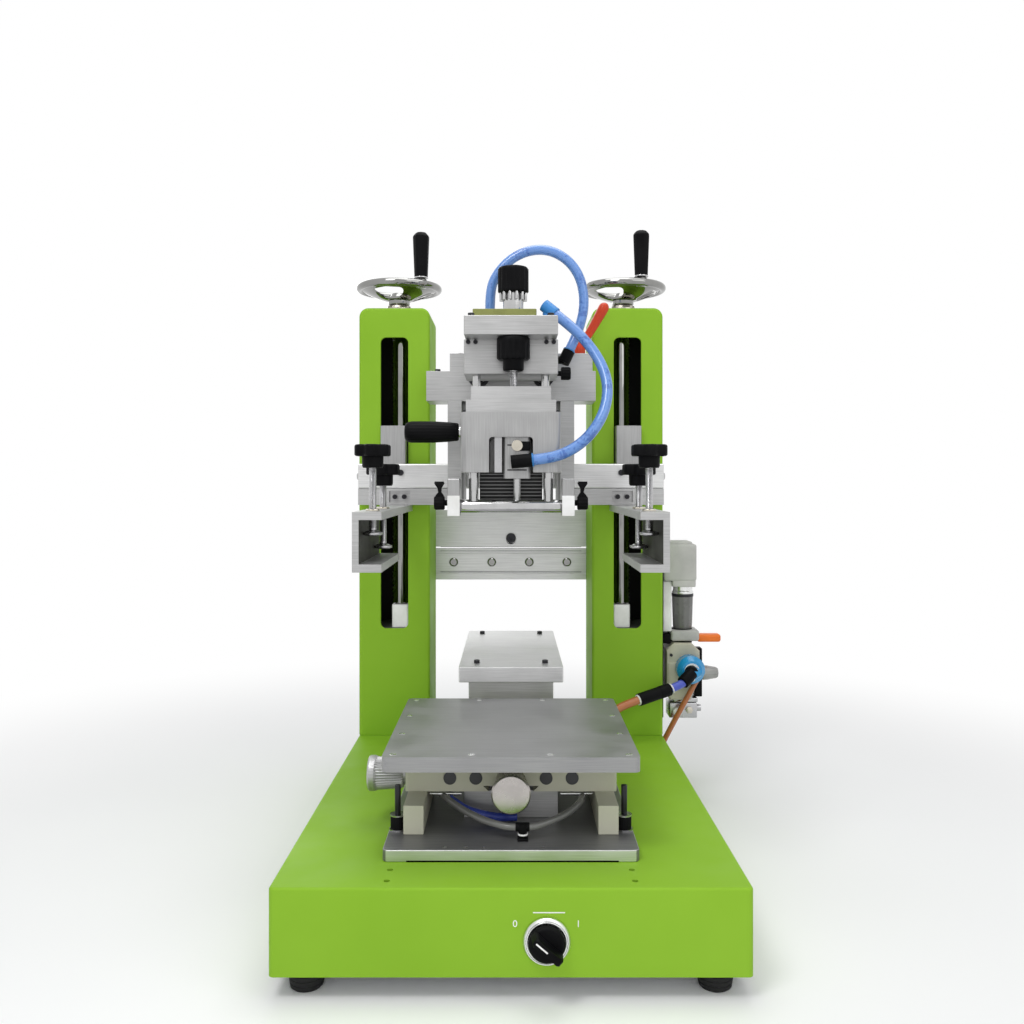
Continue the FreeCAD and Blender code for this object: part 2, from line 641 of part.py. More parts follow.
def make_column(side):
    """A slotted sheet column, rounded at the top and open to the rear."""
    x0 = side * (COLUMN_X - COLUMN_WIDTH / 2)
    x1 = side * (COLUMN_X + COLUMN_WIDTH / 2)
    outer = block(x0, x1, COLUMN_FRONT_Y, COLUMN_REAR_Y, BASE_TOP, COLUMN_TOP)
    outer = soften(outer, COLUMN_TOP_RADIUS, AXIS_Y, lambda spot: spot.z > COLUMN_TOP - SLIP)
    front = [edge for edge in outer.Edges if edge.CenterOfMass.y < COLUMN_FRONT_Y + SLIP
             and edge.CenterOfMass.z > BASE_TOP + SLIP]
    outer = outer.makeFillet(COLUMN_FRONT_RADIUS, front)
    inner_half = COLUMN_WIDTH / 2 - COLUMN_SHEET
    inner = block(side * COLUMN_X - inner_half, side * COLUMN_X + inner_half,
                  COLUMN_FRONT_Y + COLUMN_SHEET, COLUMN_REAR_Y + OVERRUN,
                  BASE_TOP - OVERRUN, COLUMN_TOP - COLUMN_SHEET)
    inner = soften(inner, COLUMN_TOP_RADIUS - COLUMN_SHEET, AXIS_Y,
                   lambda spot: spot.z > COLUMN_TOP - COLUMN_SHEET - SLIP)
    slot = block(side * COLUMN_X - SLOT_WIDTH / 2, side * COLUMN_X + SLOT_WIDTH / 2,
                 COLUMN_FRONT_Y - OVERRUN, COLUMN_FRONT_Y + COLUMN_SHEET + OVERRUN,
                 SLOT_BOTTOM, COLUMN_TOP - SLOT_HEAD)
    slot = soften(slot, SLOT_RADIUS, AXIS_Y)
    screw = round_bar(BEARING_SHOULDER + FIT, (side * COLUMN_X, SCREW_Y, COLUMN_TOP - COLUMN_SHEET - OVERRUN),
                      (side * COLUMN_X, SCREW_Y, COLUMN_TOP + OVERRUN))
    return [outer.cut([inner, slot, screw])]


def make_back_covers():
    """A flat cover in the rear of each column."""
    covers = []
    for side in SIDES:
        half = COLUMN_WIDTH / 2 - COLUMN_SHEET - BACK_COVER_GAP
        covers.append(block(side * COLUMN_X - half, side * COLUMN_X + half,
                            COLUMN_REAR_Y - BACK_COVER, COLUMN_REAR_Y,
                            BASE_TOP, COLUMN_TOP - COLUMN_SHEET - BACK_COVER_GAP - COLUMN_TOP_RADIUS))
    return covers


def make_top_bearings():
    """The flanged bearing on each column's top, round the lead screw."""
    bearings = []
    bore = SCREW_RADIUS + FIT
    for side in SIDES:
        foot = -COLUMN_SHEET - BEARING_SHOULDER_DEPTH
        profile = ((bore, foot), (BEARING_SHOULDER, foot), (BEARING_SHOULDER, 0), (BEARING_RADIUS, 0),
                   (BEARING_RADIUS, BEARING_HEIGHT), (bore, BEARING_HEIGHT))
        bearings.append(turned(profile, (side * COLUMN_X, SCREW_Y, COLUMN_TOP)))
    return bearings


def make_shaft_supports():
    """The shelf in each column that carries the guide shaft's cap and the screw's foot."""
    supports = []
    for side in SIDES:
        half = COLUMN_WIDTH / 2 - COLUMN_SHEET
        front = COLUMN_FRONT_Y + COLUMN_SHEET
        shelf = block(side * COLUMN_X - half, side * COLUMN_X + half, front, front + SUPPORT_DEPTH,
                      SLOT_BOTTOM - SUPPORT_HEIGHT, SLOT_BOTTOM)
        x = side * COLUMN_X
        foot = round_bar(SCREW_RADIUS + FIT, (x, SCREW_Y, SLOT_BOTTOM - SUPPORT_HEIGHT - OVERRUN),
                         (x, SCREW_Y, SLOT_BOTTOM + OVERRUN))
        supports.append(shelf.cut(foot))
    return supports


def make_shaft_caps():
    """The white nylon block that holds each guide shaft's foot."""
    caps = []
    for side in SIDES:
        half = CAP_SIDE / 2
        cap = block(side * GUIDE_X - half, side * GUIDE_X + half, GUIDE_Y - half, GUIDE_Y + half,
                    SLOT_BOTTOM, SLOT_BOTTOM + CAP_HEIGHT)
        cap = soften(cap, CAP_EDGE_RADIUS, AXIS_Z)
        socket = round_bar(GUIDE_RADIUS + FIT, (side * GUIDE_X, GUIDE_Y, SLOT_BOTTOM + CAP_FLOOR),
                           (side * GUIDE_X, GUIDE_Y, SLOT_BOTTOM + CAP_HEIGHT + OVERRUN))
        caps.append(cap.cut(socket))
    return caps


def make_guide_shafts():
    """The polished shaft in each column, from its cap to the column's top."""
    shafts = []
    for side in SIDES:
        shafts.append(round_bar(GUIDE_RADIUS, (side * GUIDE_X, GUIDE_Y, SLOT_BOTTOM + CAP_FLOOR),
                                (side * GUIDE_X, GUIDE_Y, COLUMN_TOP - COLUMN_SHEET)))
    return shafts


def make_tie_beam():
    """The two aluminium bars across the columns' rear."""
    half = COLUMN_X + COLUMN_WIDTH / 2
    rear = COLUMN_REAR_Y + TIE_DEPTH
    upper = block(-half, half, COLUMN_REAR_Y, rear, BASE_TOP + TIE_UPPER_FOOT,
                  BASE_TOP + TIE_UPPER_FOOT + TIE_UPPER_HEIGHT)
    z = BASE_TOP + TIE_UPPER_FOOT + TIE_HOLE_RISE
    hole = round_bar(TIE_HOLE_RADIUS, (0, COLUMN_REAR_Y - OVERRUN, z), (0, rear + OVERRUN, z))
    sink = round_bar(TIE_COUNTERBORE_RADIUS, (0, COLUMN_REAR_Y - OVERRUN, z),
                     (0, COLUMN_REAR_Y + TIE_COUNTERBORE_DEPTH, z))
    lower = block(-half, half, COLUMN_REAR_Y, rear, BASE_TOP + TIE_LOWER_FOOT,
                  BASE_TOP + TIE_LOWER_FOOT + TIE_LOWER_HEIGHT)
    grooves = []
    for share in TIE_GROOVE_RISE_SHARES:
        foot = BASE_TOP + TIE_LOWER_FOOT + share * TIE_LOWER_HEIGHT
        grooves.append(block(-half - OVERRUN, half + OVERRUN, COLUMN_REAR_Y - OVERRUN,
                             COLUMN_REAR_Y + TIE_GROOVE_DEPTH, foot, foot + TIE_GROOVE_WIDTH))
    return [upper.cut([hole, sink]), lower.cut(grooves)]


def make_rest_block():
    """The rest behind the table: a pedestal with a plate on it."""
    top = BASE_TOP + REST_PEDESTAL_HEIGHT
    plate = block(-REST_WIDTH / 2, REST_WIDTH / 2, REST_FRONT_Y, REST_FRONT_Y + REST_DEPTH,
                  top, top + REST_PLATE)
    plate = soften(plate, REST_EDGE_RADIUS, AXIS_Z)
    pedestal = block(-REST_PEDESTAL_WIDTH / 2, REST_PEDESTAL_WIDTH / 2,
                     REST_FRONT_Y + REST_PEDESTAL_INSET, REST_FRONT_Y + REST_DEPTH - REST_PEDESTAL_INSET,
                     BASE_TOP, top)
    return [plate, pedestal]


def make_table_base():
    """The lower plate of the work table, on the base's top."""
    plate = block(-TABLE_SIDE / 2, TABLE_SIDE / 2, TABLE_FRONT_Y, TABLE_FRONT_Y + TABLE_SIDE,
                  BASE_TOP, BASE_TOP + TABLE_BASE_PLATE)
    return [soften(plate, TABLE_CORNER_RADIUS, AXIS_Z)]


def key_prism(width, length, foot, centre, along, side_gap=0):
    """A dovetail key that widens upwards, along X or Y, centred at a place."""
    high = width / 2 + side_gap
    low = high - KEY_TAPER / 2
    top = foot + KEY_HEIGHT
    points = [Vector(-low, 0, foot), Vector(low, 0, foot), Vector(high, 0, top), Vector(-high, 0, top)]
    points.append(points[0])
    face = Part.Face(Part.makePolygon(points))
    key = face.extrude(Vector(0, length, 0))
    key.translate(AXIS_Y * (-length / 2))
    if along == AXIS_X:
        key.rotate(Vector(0, 0, 0), AXIS_Z, FULL_TURN / 4)
    key.translate(AXIS_Y * centre)
    return key


def make_lower_stage():
    """The two rails and the nut block, whose key guides the middle stage."""
    foot = BASE_TOP + TABLE_BASE_PLATE
    y0 = TABLE_CENTRE_Y - RAIL_LENGTH / 2
    rails = []
    for side in SIDES:
        rails.append(block(side * RAIL_OUTER_X, side * (RAIL_OUTER_X - RAIL_WIDTH), y0, y0 + RAIL_LENGTH,
                           foot, TABLE_STAGE_BOTTOM - SLIP))
    nut = block(-NUT_WIDTH / 2, NUT_WIDTH / 2, TABLE_CENTRE_Y - NUT_DEPTH / 2, TABLE_CENTRE_Y + NUT_DEPTH / 2,
                foot, TABLE_STAGE_BOTTOM - SLIP)
    key = key_prism(KEY_WIDTH, NUT_DEPTH - KEY_SETBACK, TABLE_STAGE_BOTTOM - SLIP,
                    TABLE_CENTRE_Y + KEY_SETBACK / 2, AXIS_Y)
    return rails + [nut.fuse(key).removeSplitter()]


def make_middle_stage():
    """The cream stage that slides front to rear, with its plugs and its upper key."""
    y1 = STAGE_FRONT_Y + STAGE_DEPTH
    body = block(-STAGE_WIDTH / 2, STAGE_WIDTH / 2, STAGE_FRONT_Y, y1, TABLE_STAGE_BOTTOM,
                 TABLE_UPPER_BOTTOM - SLIP)
    body = soften(body, STAGE_EDGE_RADIUS, AXIS_Z)
    keyway = key_prism(KEY_WIDTH, STAGE_DEPTH + TABLE_SIDE, TABLE_STAGE_BOTTOM - SLIP, TABLE_CENTRE_Y,
                       AXIS_Y, FIT)
    keyway.translate(AXIS_Z * SLIP)
    z = TABLE_STAGE_BOTTOM + TABLE_KNOB_RISE
    front_bore = round_bar(TABLE_KNOB_SPINDLE_RADIUS + FIT, (0, STAGE_FRONT_Y - OVERRUN, z),
                           (0, STAGE_FRONT_Y + TABLE_KNOB_SPINDLE_LENGTH + SEAT, z))
    side_y = STAGE_FRONT_Y + SIDE_KNOB_BEHIND_FRONT
    side_bore = round_bar(TABLE_KNOB_SPINDLE_RADIUS + FIT, (-STAGE_WIDTH / 2 - OVERRUN, side_y, z),
                          (-STAGE_WIDTH / 2 + TABLE_KNOB_SPINDLE_LENGTH + SEAT, side_y, z))
    plugs = []
    for x in STAGE_PLUG_XS:
        rise = TABLE_STAGE_BOTTOM + STAGE_PLUG_RISE
        plugs.append(round_bar(STAGE_PLUG_RADIUS, (x, STAGE_FRONT_Y - OVERRUN, rise),
                               (x, STAGE_FRONT_Y + STAGE_PLUG_DEPTH, rise)))
    body = body.cut([keyway, front_bore, side_bore] + plugs)
    key = key_prism(KEY_WIDTH, STAGE_WIDTH - RAIL_WIDTH, TABLE_UPPER_BOTTOM - SLIP, TABLE_CENTRE_Y, AXIS_X)
    return [body.fuse(key).removeSplitter()]


def make_upper_stage():
    """The stage that slides left and right on the middle stage's key."""
    half = STAGE_WIDTH / 2 - UPPER_STAGE_INSET
    body = block(-half, half, STAGE_FRONT_Y + UPPER_STAGE_INSET,
                 STAGE_FRONT_Y + STAGE_DEPTH - UPPER_STAGE_INSET, TABLE_UPPER_BOTTOM, TABLE_PLATE_BOTTOM)
    keyway = key_prism(KEY_WIDTH, STAGE_WIDTH + TABLE_SIDE, TABLE_UPPER_BOTTOM - SLIP, TABLE_CENTRE_Y,
                       AXIS_X, FIT)
    keyway.translate(AXIS_Z * SLIP)
    return [body.cut(keyway)]


def make_top_plate():
    """The work table's top plate, with its rows of screw holes."""
    half = TABLE_TOP_WIDTH / 2
    plate = block(-half, half, TABLE_FRONT_Y, TABLE_FRONT_Y + TABLE_SIDE, TABLE_PLATE_BOTTOM,
                  TABLE_PLATE_BOTTOM + TABLE_TOP_PLATE)
    plate = soften(plate, TABLE_CORNER_RADIUS, AXIS_Z)
    top = TABLE_PLATE_BOTTOM + TABLE_TOP_PLATE
    last = TABLE_HOLES_PER_SIDE - 1
    pitch = TABLE_HOLE_SPACING / last
    holes = []
    for column in range(TABLE_HOLES_PER_SIDE):
        for row in range(TABLE_HOLES_PER_SIDE):
            if 0 < column < last and 0 < row < last:
                continue
            x = column * pitch - TABLE_HOLE_SPACING / 2
            y = TABLE_CENTRE_Y + row * pitch - TABLE_HOLE_SPACING / 2
            holes.append(round_bar(TABLE_HOLE_RADIUS, (x, y, top - TABLE_HOLE_DEPTH), (x, y, top + OVERRUN)))
    return [plate.cut(holes)]


def table_knob(radius, length, mouth, axis):
    """A fluted knob with its neck and spindle; the mouth is where the stage's face is."""
    neck = TABLE_KNOB_NECK_LENGTH
    start = neck + SEAT
    profile = ((0, -TABLE_KNOB_SPINDLE_LENGTH), (TABLE_KNOB_SPINDLE_RADIUS, -TABLE_KNOB_SPINDLE_LENGTH),
               (TABLE_KNOB_SPINDLE_RADIUS, SEAT), (TABLE_KNOB_NECK_RADIUS, SEAT),
               (TABLE_KNOB_NECK_RADIUS, start), (radius - TABLE_KNOB_BEVEL, start),
               (radius, start + TABLE_KNOB_BEVEL), (radius, start + length - TABLE_KNOB_BEVEL),
               (radius - TABLE_KNOB_BEVEL, start + length), (0, start + length))
    knob = turned(profile, mouth, axis)
    foot = Vector(*mouth) + axis * start
    return fluted(knob, radius, TABLE_KNOB_FLUTE_DEPTH, TABLE_KNOB_FLUTES, length, tuple(foot), axis)


def make_front_knob():
    """The knurled knob that moves the table front to rear."""
    mouth = (0, STAGE_FRONT_Y, TABLE_STAGE_BOTTOM + TABLE_KNOB_RISE)
    return [table_knob(TABLE_KNOB_RADIUS, TABLE_KNOB_LENGTH, mouth, -AXIS_Y)]


def make_side_knob():
    """The knurled knob that moves the table left and right."""
    mouth = (-STAGE_WIDTH / 2, STAGE_FRONT_Y + SIDE_KNOB_BEHIND_FRONT, TABLE_STAGE_BOTTOM + TABLE_KNOB_RISE)
    return [table_knob(TABLE_KNOB_RADIUS * SIDE_KNOB_SHARE, SIDE_KNOB_LENGTH, mouth, -AXIS_X)]


def grip_offset(side):
    """The crank pin's place from the wheel's centre."""
    return WHEEL_LEFT_GRIP if side < 0 else WHEEL_RIGHT_GRIP


def make_handwheel(side):
    """A dished wheel: hub, three tapering spokes, round rim and the crank pin's boss."""
    x = side * COLUMN_X
    rim_z = COLUMN_TOP + BEARING_HEIGHT + WHEEL_RIM_RISE
    rim = Part.makeTorus(WHEEL_RIM_RADIUS, WHEEL_RIM_SECTION, Vector(x, SCREW_Y, rim_z))
    bore = SCREW_RADIUS + FIT
    shoulder = WHEEL_HUB_HEIGHT - WHEEL_HUB_BEVEL
    profile = ((bore, 0), (WHEEL_HUB_RADIUS, 0), (WHEEL_HUB_RADIUS, shoulder),
               (WHEEL_HUB_RADIUS - WHEEL_HUB_BEVEL, WHEEL_HUB_HEIGHT), (0, WHEEL_HUB_HEIGHT),
               (0, shoulder), (bore, shoulder))
    hub = turned(profile, (x, SCREW_Y, WHEEL_FOOT))
    spokes = []
    for index in range(WHEEL_SPOKES):
        spoke = make_spoke(rim_z - WHEEL_FOOT)
        spoke.rotate(Vector(0, 0, 0), AXIS_Z, index * FULL_TURN / WHEEL_SPOKES + spoke_turn(side))
        spoke.translate(Vector(x, SCREW_Y, WHEEL_FOOT))
        spokes.append(spoke)
    dx, dy = grip_offset(side)
    spot = (x + dx, SCREW_Y + dy)
    boss = round_bar(GRIP_BOSS_RADIUS, spot + (rim_z - WHEEL_RIM_SECTION,),
                     spot + (rim_z + GRIP_BOSS_HEIGHT,))
    pin = round_bar(GRIP_PIN_RADIUS, spot + (rim_z,),
                    spot + (rim_z + GRIP_BOSS_HEIGHT + GRIP_LENGTH - GRIP_PIN_RECESS,))
    return [rim.fuse([hub, boss, pin] + spokes).removeSplitter()]


def spoke_turn(side):
    """The wheel's first spoke points at its crank pin."""
    dx, dy = grip_offset(side)
    return math.degrees(math.atan2(dy, dx))


def make_spoke(rise):
    """One flat spoke from the hub's side up to the rim, wider at the hub."""
    sections = []
    hub_z = WHEEL_HUB_HEIGHT / 2
    ends = ((SCREW_RADIUS + (WHEEL_HUB_RADIUS - SCREW_RADIUS) / 2, hub_z, WHEEL_SPOKE_HUB_WIDTH),
            (WHEEL_RIM_RADIUS, rise, WHEEL_SPOKE_RIM_WIDTH))
    for out, z, width in ends:
        low = z - WHEEL_SPOKE_THICKNESS / 2
        high = z + WHEEL_SPOKE_THICKNESS / 2
        corners = [Vector(out, -width / 2, low), Vector(out, width / 2, low),
                   Vector(out, width / 2, high), Vector(out, -width / 2, high)]
        sections.append(Part.makePolygon(corners + corners[:1]))
    return Part.makeLoft(sections, True)


def make_lead_screw(side):
    """The lead screw, from the shelf up into the wheel's hub."""
    x = side * COLUMN_X
    top = WHEEL_FOOT + WHEEL_HUB_HEIGHT - WHEEL_HUB_BEVEL
    return [round_bar(SCREW_RADIUS, (x, SCREW_Y, SLOT_BOTTOM - SUPPORT_HEIGHT), (x, SCREW_Y, top))]


def make_crank_grip(side):
    """The tapered black grip that turns on the crank pin."""
    dx, dy = grip_offset(side)
    foot = COLUMN_TOP + BEARING_HEIGHT + WHEEL_RIM_RISE + GRIP_BOSS_HEIGHT + SEAT
    length = GRIP_LENGTH - SEAT
    bore = GRIP_PIN_RADIUS + FIT
    ceiling = length - GRIP_PIN_RECESS + SEAT
    profile = ((bore, 0), (GRIP_FOOT_RADIUS, 0), (GRIP_HEAD_RADIUS, length - GRIP_SHOULDER_DROP),
               (GRIP_HEAD_RADIUS, length - GRIP_CROWN), (GRIP_HEAD_RADIUS - GRIP_CROWN, length),
               (0, length), (0, ceiling), (bore, ceiling))
    return [turned(profile, (side * COLUMN_X + dx, SCREW_Y + dy, foot))]


def make_lift_sliders():
    """The two blocks that ride the shafts and screws and come out through the slots."""
    sliders = []
    foot = BASE_TOP + SLIDER_FOOT
    top = foot + SLIDER_HEIGHT
    for side in SIDES:
        x = side * COLUMN_X
        body = block(x - SLIDER_WIDTH / 2, x + SLIDER_WIDTH / 2, SLIDER_FRONT_Y,
                     SLIDER_FRONT_Y + SLIDER_DEPTH, foot, top)
        body = soften(body, BEAM_EDGE, AXIS_Z)
        guide = round_bar(GUIDE_RADIUS + FIT, (side * GUIDE_X, GUIDE_Y, foot - OVERRUN),
                          (side * GUIDE_X, GUIDE_Y, top + OVERRUN))
        screw = round_bar(SCREW_RADIUS + FIT, (x, SCREW_Y, foot - OVERRUN), (x, SCREW_Y, top + OVERRUN))
        sliders.append(body.cut([guide, screw]))
    return sliders


def make_cross_beam():
    """The beam across the front of both sliders."""
    beam = block(-BEAM_HALF_WIDTH, BEAM_HALF_WIDTH, BEAM_FRONT_Y, SLIDER_FRONT_Y, BEAM_BOTTOM,
                 BEAM_BOTTOM + BEAM_HEIGHT)
    return [soften(beam, BEAM_EDGE, AXIS_X)]


def make_clamp_arm(side):
    """A bar under the beam and the C-channel that grips one side of the screen frame."""
    rear = SLIDER_FRONT_Y - SLIP
    bar = block(side * ARM_BAR_INNER_X, side * BEAM_HALF_WIDTH, BEAM_FRONT_Y, rear, CHANNEL_TOP,
                BEAM_BOTTOM - SLIP)
    inner_x = CHANNEL_OUTER_X - CHANNEL_FLANGE
    outer = block(side * inner_x, side * CHANNEL_OUTER_X, CHANNEL_FRONT_Y, CHANNEL_REAR_Y,
                  CHANNEL_BOTTOM, CHANNEL_TOP)
    mouth = block(side * (inner_x - OVERRUN), side * (CHANNEL_OUTER_X - CHANNEL_WEB),
                  CHANNEL_FRONT_Y - OVERRUN, CHANNEL_REAR_Y + OVERRUN,
                  CHANNEL_BOTTOM + CHANNEL_FLANGE_THICKNESS, CHANNEL_TOP - CHANNEL_FLANGE_THICKNESS)
    tail = block(side * inner_x, side * CHANNEL_OUTER_X, CHANNEL_REAR_Y, rear,
                 CHANNEL_TOP - CHANNEL_FLANGE_THICKNESS, CHANNEL_TOP)
    channel = outer.cut(mouth).fuse(tail).removeSplitter()
    pocket_x = side * ARM_POCKET_X
    pocket_z = (CHANNEL_TOP + BEAM_BOTTOM) / 2
    pocket = block(pocket_x - ARM_POCKET_WIDTH / 2, pocket_x + ARM_POCKET_WIDTH / 2, BEAM_FRONT_Y - OVERRUN,
                   BEAM_FRONT_Y + ARM_POCKET_DEPTH, pocket_z - ARM_POCKET_HEIGHT / 2,
                   pocket_z + ARM_POCKET_HEIGHT / 2)
    holes = []
    for y in (CLAMP_FRONT_Y, CLAMP_REAR_Y):
        holes.append(round_bar(CLAMP_SPINDLE_RADIUS + FIT,
                               (side * CLAMP_X, y, CHANNEL_TOP - CHANNEL_FLANGE_THICKNESS - OVERRUN),
                               (side * CLAMP_X, y, CHANNEL_TOP + OVERRUN)))
    return [bar.cut(pocket), channel.cut(holes)]


def clamp_foot(opening):
    """The height of a clamp pad's foot above the feet plane."""
    return CHANNEL_BOTTOM + CHANNEL_FLANGE_THICKNESS + opening


def make_clamp_screw(side, y, opening):
    """A clamp's spindle with the round pad on its foot."""
    centre = (side * CLAMP_X, y, clamp_foot(opening))
    pad = CLAMP_PAD_RADIUS
    profile = ((0, 0), (pad - CLAMP_PAD_BEVEL, 0), (pad, CLAMP_PAD_BEVEL), (pad, CLAMP_PAD_HEIGHT),
               (CLAMP_SPINDLE_RADIUS, CLAMP_PAD_HEIGHT),
               (CLAMP_SPINDLE_RADIUS, CLAMP_LENGTH - KNOB_STUD_RECESS),
               (0, CLAMP_LENGTH - KNOB_STUD_RECESS))
    return [turned(profile, centre)]


def make_clamp_knob(side, y, opening):
    """A star knob: a hub below a lobed head, on the spindle's top."""
    foot = clamp_foot(opening) + CLAMP_LENGTH - KNOB_HUB_HEIGHT - KNOB_STAR_HEIGHT
    x = side * CLAMP_X
    height = KNOB_HUB_HEIGHT + KNOB_STAR_HEIGHT
    profile = ((0, 0), (KNOB_HUB_RADIUS - KNOB_BEVEL, 0), (KNOB_HUB_RADIUS, KNOB_HUB_HEIGHT),
               (KNOB_STAR_RADIUS - KNOB_BEVEL, KNOB_HUB_HEIGHT),
               (KNOB_STAR_RADIUS, KNOB_HUB_HEIGHT + KNOB_BEVEL), (KNOB_STAR_RADIUS, height - KNOB_BEVEL),
               (KNOB_STAR_RADIUS - KNOB_BEVEL, height), (0, height))
    knob = turned(profile, (x, y, foot))
    step = FULL_TURN / KNOB_LOBES
    cutters = [round_bar(CLAMP_SPINDLE_RADIUS + FIT, (x, y, foot - OVERRUN),
                         (x, y, foot + height - KNOB_STUD_RECESS))]
    for index in range(KNOB_LOBES):
        angle = math.radians(index * step)
        out = KNOB_STAR_RADIUS + KNOB_VALLEY_SETBACK
        spot = (x + out * math.cos(angle), y + out * math.sin(angle))
        cutters.append(round_bar(KNOB_VALLEY_RADIUS, spot + (foot + KNOB_HUB_HEIGHT - OVERRUN,),
                                 spot + (foot + height + OVERRUN,)))
    return [knob.cut(cutters)]


def make_bearing_block():
    """The block that carries the stroke rods, on its two side plates."""
    rear = SLIDER_FRONT_Y
    wings = block(-BEARING_HALF_WIDTH, BEARING_HALF_WIDTH, BEARING_FRONT_Y, rear,
                  BEARING_BOTTOM, BEARING_BOTTOM + BEARING_WING_HEIGHT)
    crown = block(BEARING_CROWN_LEFT_X, BEARING_CROWN_RIGHT_X, BEARING_FRONT_Y, rear,
                  BEARING_BOTTOM + BEARING_WING_HEIGHT,
                  BEARING_BOTTOM + BEARING_WING_HEIGHT + BEARING_CROWN_HEIGHT)
    body = wings.fuse(crown).removeSplitter()
    bores = []
    for side in SIDES:
        x = side * STROKE_ROD_X
        bores.append(round_bar(STROKE_ROD_RADIUS + FIT, (x, BEARING_FRONT_Y - OVERRUN, STROKE_ROD_Z),
                               (x, rear + OVERRUN, STROKE_ROD_Z)))
    stud = BEARING_BOTTOM + BEARING_WING_HEIGHT + BEARING_CROWN_HEIGHT
    bores.append(round_bar(LEVER_STUD_RADIUS + FIT, (LEVER_X, LEVER_Y, stud - LEVER_SOCKET_DEPTH),
                           (LEVER_X, LEVER_Y, stud + OVERRUN)))
    pieces = [body.cut(bores)]
    for side in SIDES:
        outer = side * (SIDE_PLATE_INNER_X + SIDE_PLATE_THICKNESS)
        pieces.append(block(side * SIDE_PLATE_INNER_X, outer, BEAM_FRONT_Y - SIDE_PLATE_DEPTH, BEAM_FRONT_Y,
                            BASE_TOP + SIDE_PLATE_FOOT, BEARING_BOTTOM))
    return pieces


def make_stroke_rods():
    """The two polished rods on which the print head travels."""
    rods = []
    for side in SIDES:
        x = side * STROKE_ROD_X
        rods.append(round_bar(STROKE_ROD_RADIUS, (x, STROKE_ROD_FRONT_Y, STROKE_ROD_Z),
                              (x, STROKE_ROD_FRONT_Y + STROKE_ROD_LENGTH, STROKE_ROD_Z)))
    return rods


def make_middle_block():
    """The head's middle block, fixed to the stroke rods."""
    body = block(-HEAD_MIDDLE_HALF_WIDTH, HEAD_MIDDLE_HALF_WIDTH, HEAD_MIDDLE_FRONT_Y, HEAD_REAR_Y,
                 HEAD_MIDDLE_BOTTOM, HEAD_TOP_BOTTOM)
    body = soften(body, HEAD_EDGE, AXIS_Z)
    cutters = []
    for side in SIDES:
        x = side * STROKE_ROD_X
        cutters.append(round_bar(STROKE_ROD_RADIUS + FIT, (x, STROKE_ROD_FRONT_Y, STROKE_ROD_Z),
                                 (x, HEAD_REAR_Y + OVERRUN, STROKE_ROD_Z)))
        post = side * POST_X
        cutters.append(round_bar(POST_RADIUS + FIT, (post, POST_Y, HEAD_MIDDLE_BOTTOM - OVERRUN),
                                 (post, POST_Y, HEAD_TOP_BOTTOM + OVERRUN)))
    return [body.cut(cutters)]


def make_top_block():
    """The head's overhanging top block, bored for the pressure screw."""
    body = block(-HEAD_TOP_HALF_WIDTH, HEAD_TOP_HALF_WIDTH, HEAD_TOP_FRONT_Y, HEAD_REAR_Y,
                 HEAD_TOP_BOTTOM, HEAD_TOP_CROWN)
    body = soften(body, HEAD_EDGE, AXIS_Z)
    screw = round_bar(LOWER_SCREW_RADIUS + FIT, (LOWER_KNOB_X, LOWER_KNOB_Y, HEAD_TOP_BOTTOM - OVERRUN),
                      (LOWER_KNOB_X, LOWER_KNOB_Y, HEAD_TOP_CROWN - HEAD_TOP_ROOF))
    return [body.cut(screw)]


def make_cap_plate():
    """The yellow-green plate on the top block, bored for the upper knob."""
    plate = block(CAP_PLATE_LEFT_X, CAP_PLATE_RIGHT_X, CAP_PLATE_FRONT_Y, CAP_PLATE_FRONT_Y + CAP_PLATE_DEPTH,
                  HEAD_TOP_CROWN, HEAD_TOP_CROWN + CAP_PLATE_HEIGHT)
    plate = soften(plate, HEAD_EDGE, AXIS_Z)
    stud = round_bar(UPPER_STUD_RADIUS + FIT, (UPPER_KNOB_X, 0, HEAD_TOP_CROWN),
                     (UPPER_KNOB_X, 0, HEAD_TOP_CROWN + CAP_PLATE_HEIGHT + OVERRUN))
    return [plate.cut(stud)]


def make_upper_knob():
    """The black fluted knob on its bright collar, with a stud into the cap plate."""
    foot = HEAD_TOP_CROWN + CAP_PLATE_HEIGHT + SLIP
    collar = turned(((0, -UPPER_STUD_DEPTH), (UPPER_STUD_RADIUS, -UPPER_STUD_DEPTH), (UPPER_STUD_RADIUS, 0),
                     (UPPER_COLLAR_RADIUS, 0), (UPPER_COLLAR_RADIUS, UPPER_COLLAR_HEIGHT),
                     (0, UPPER_COLLAR_HEIGHT)), (UPPER_KNOB_X, 0, foot))
    start = foot + UPPER_COLLAR_HEIGHT
    radius = UPPER_KNOB_RADIUS
    edge = KNOB_BEVEL
    knob = turned(((0, 0), (radius - edge, 0), (radius, edge), (radius, UPPER_KNOB_HEIGHT - edge),
                   (radius - edge, UPPER_KNOB_HEIGHT), (0, UPPER_KNOB_HEIGHT)), (UPPER_KNOB_X, 0, start))
    knob = fluted(knob, radius, UPPER_KNOB_FLUTE_DEPTH, UPPER_KNOB_FLUTES, UPPER_KNOB_HEIGHT,
                  (UPPER_KNOB_X, 0, start))
    return [collar, knob]


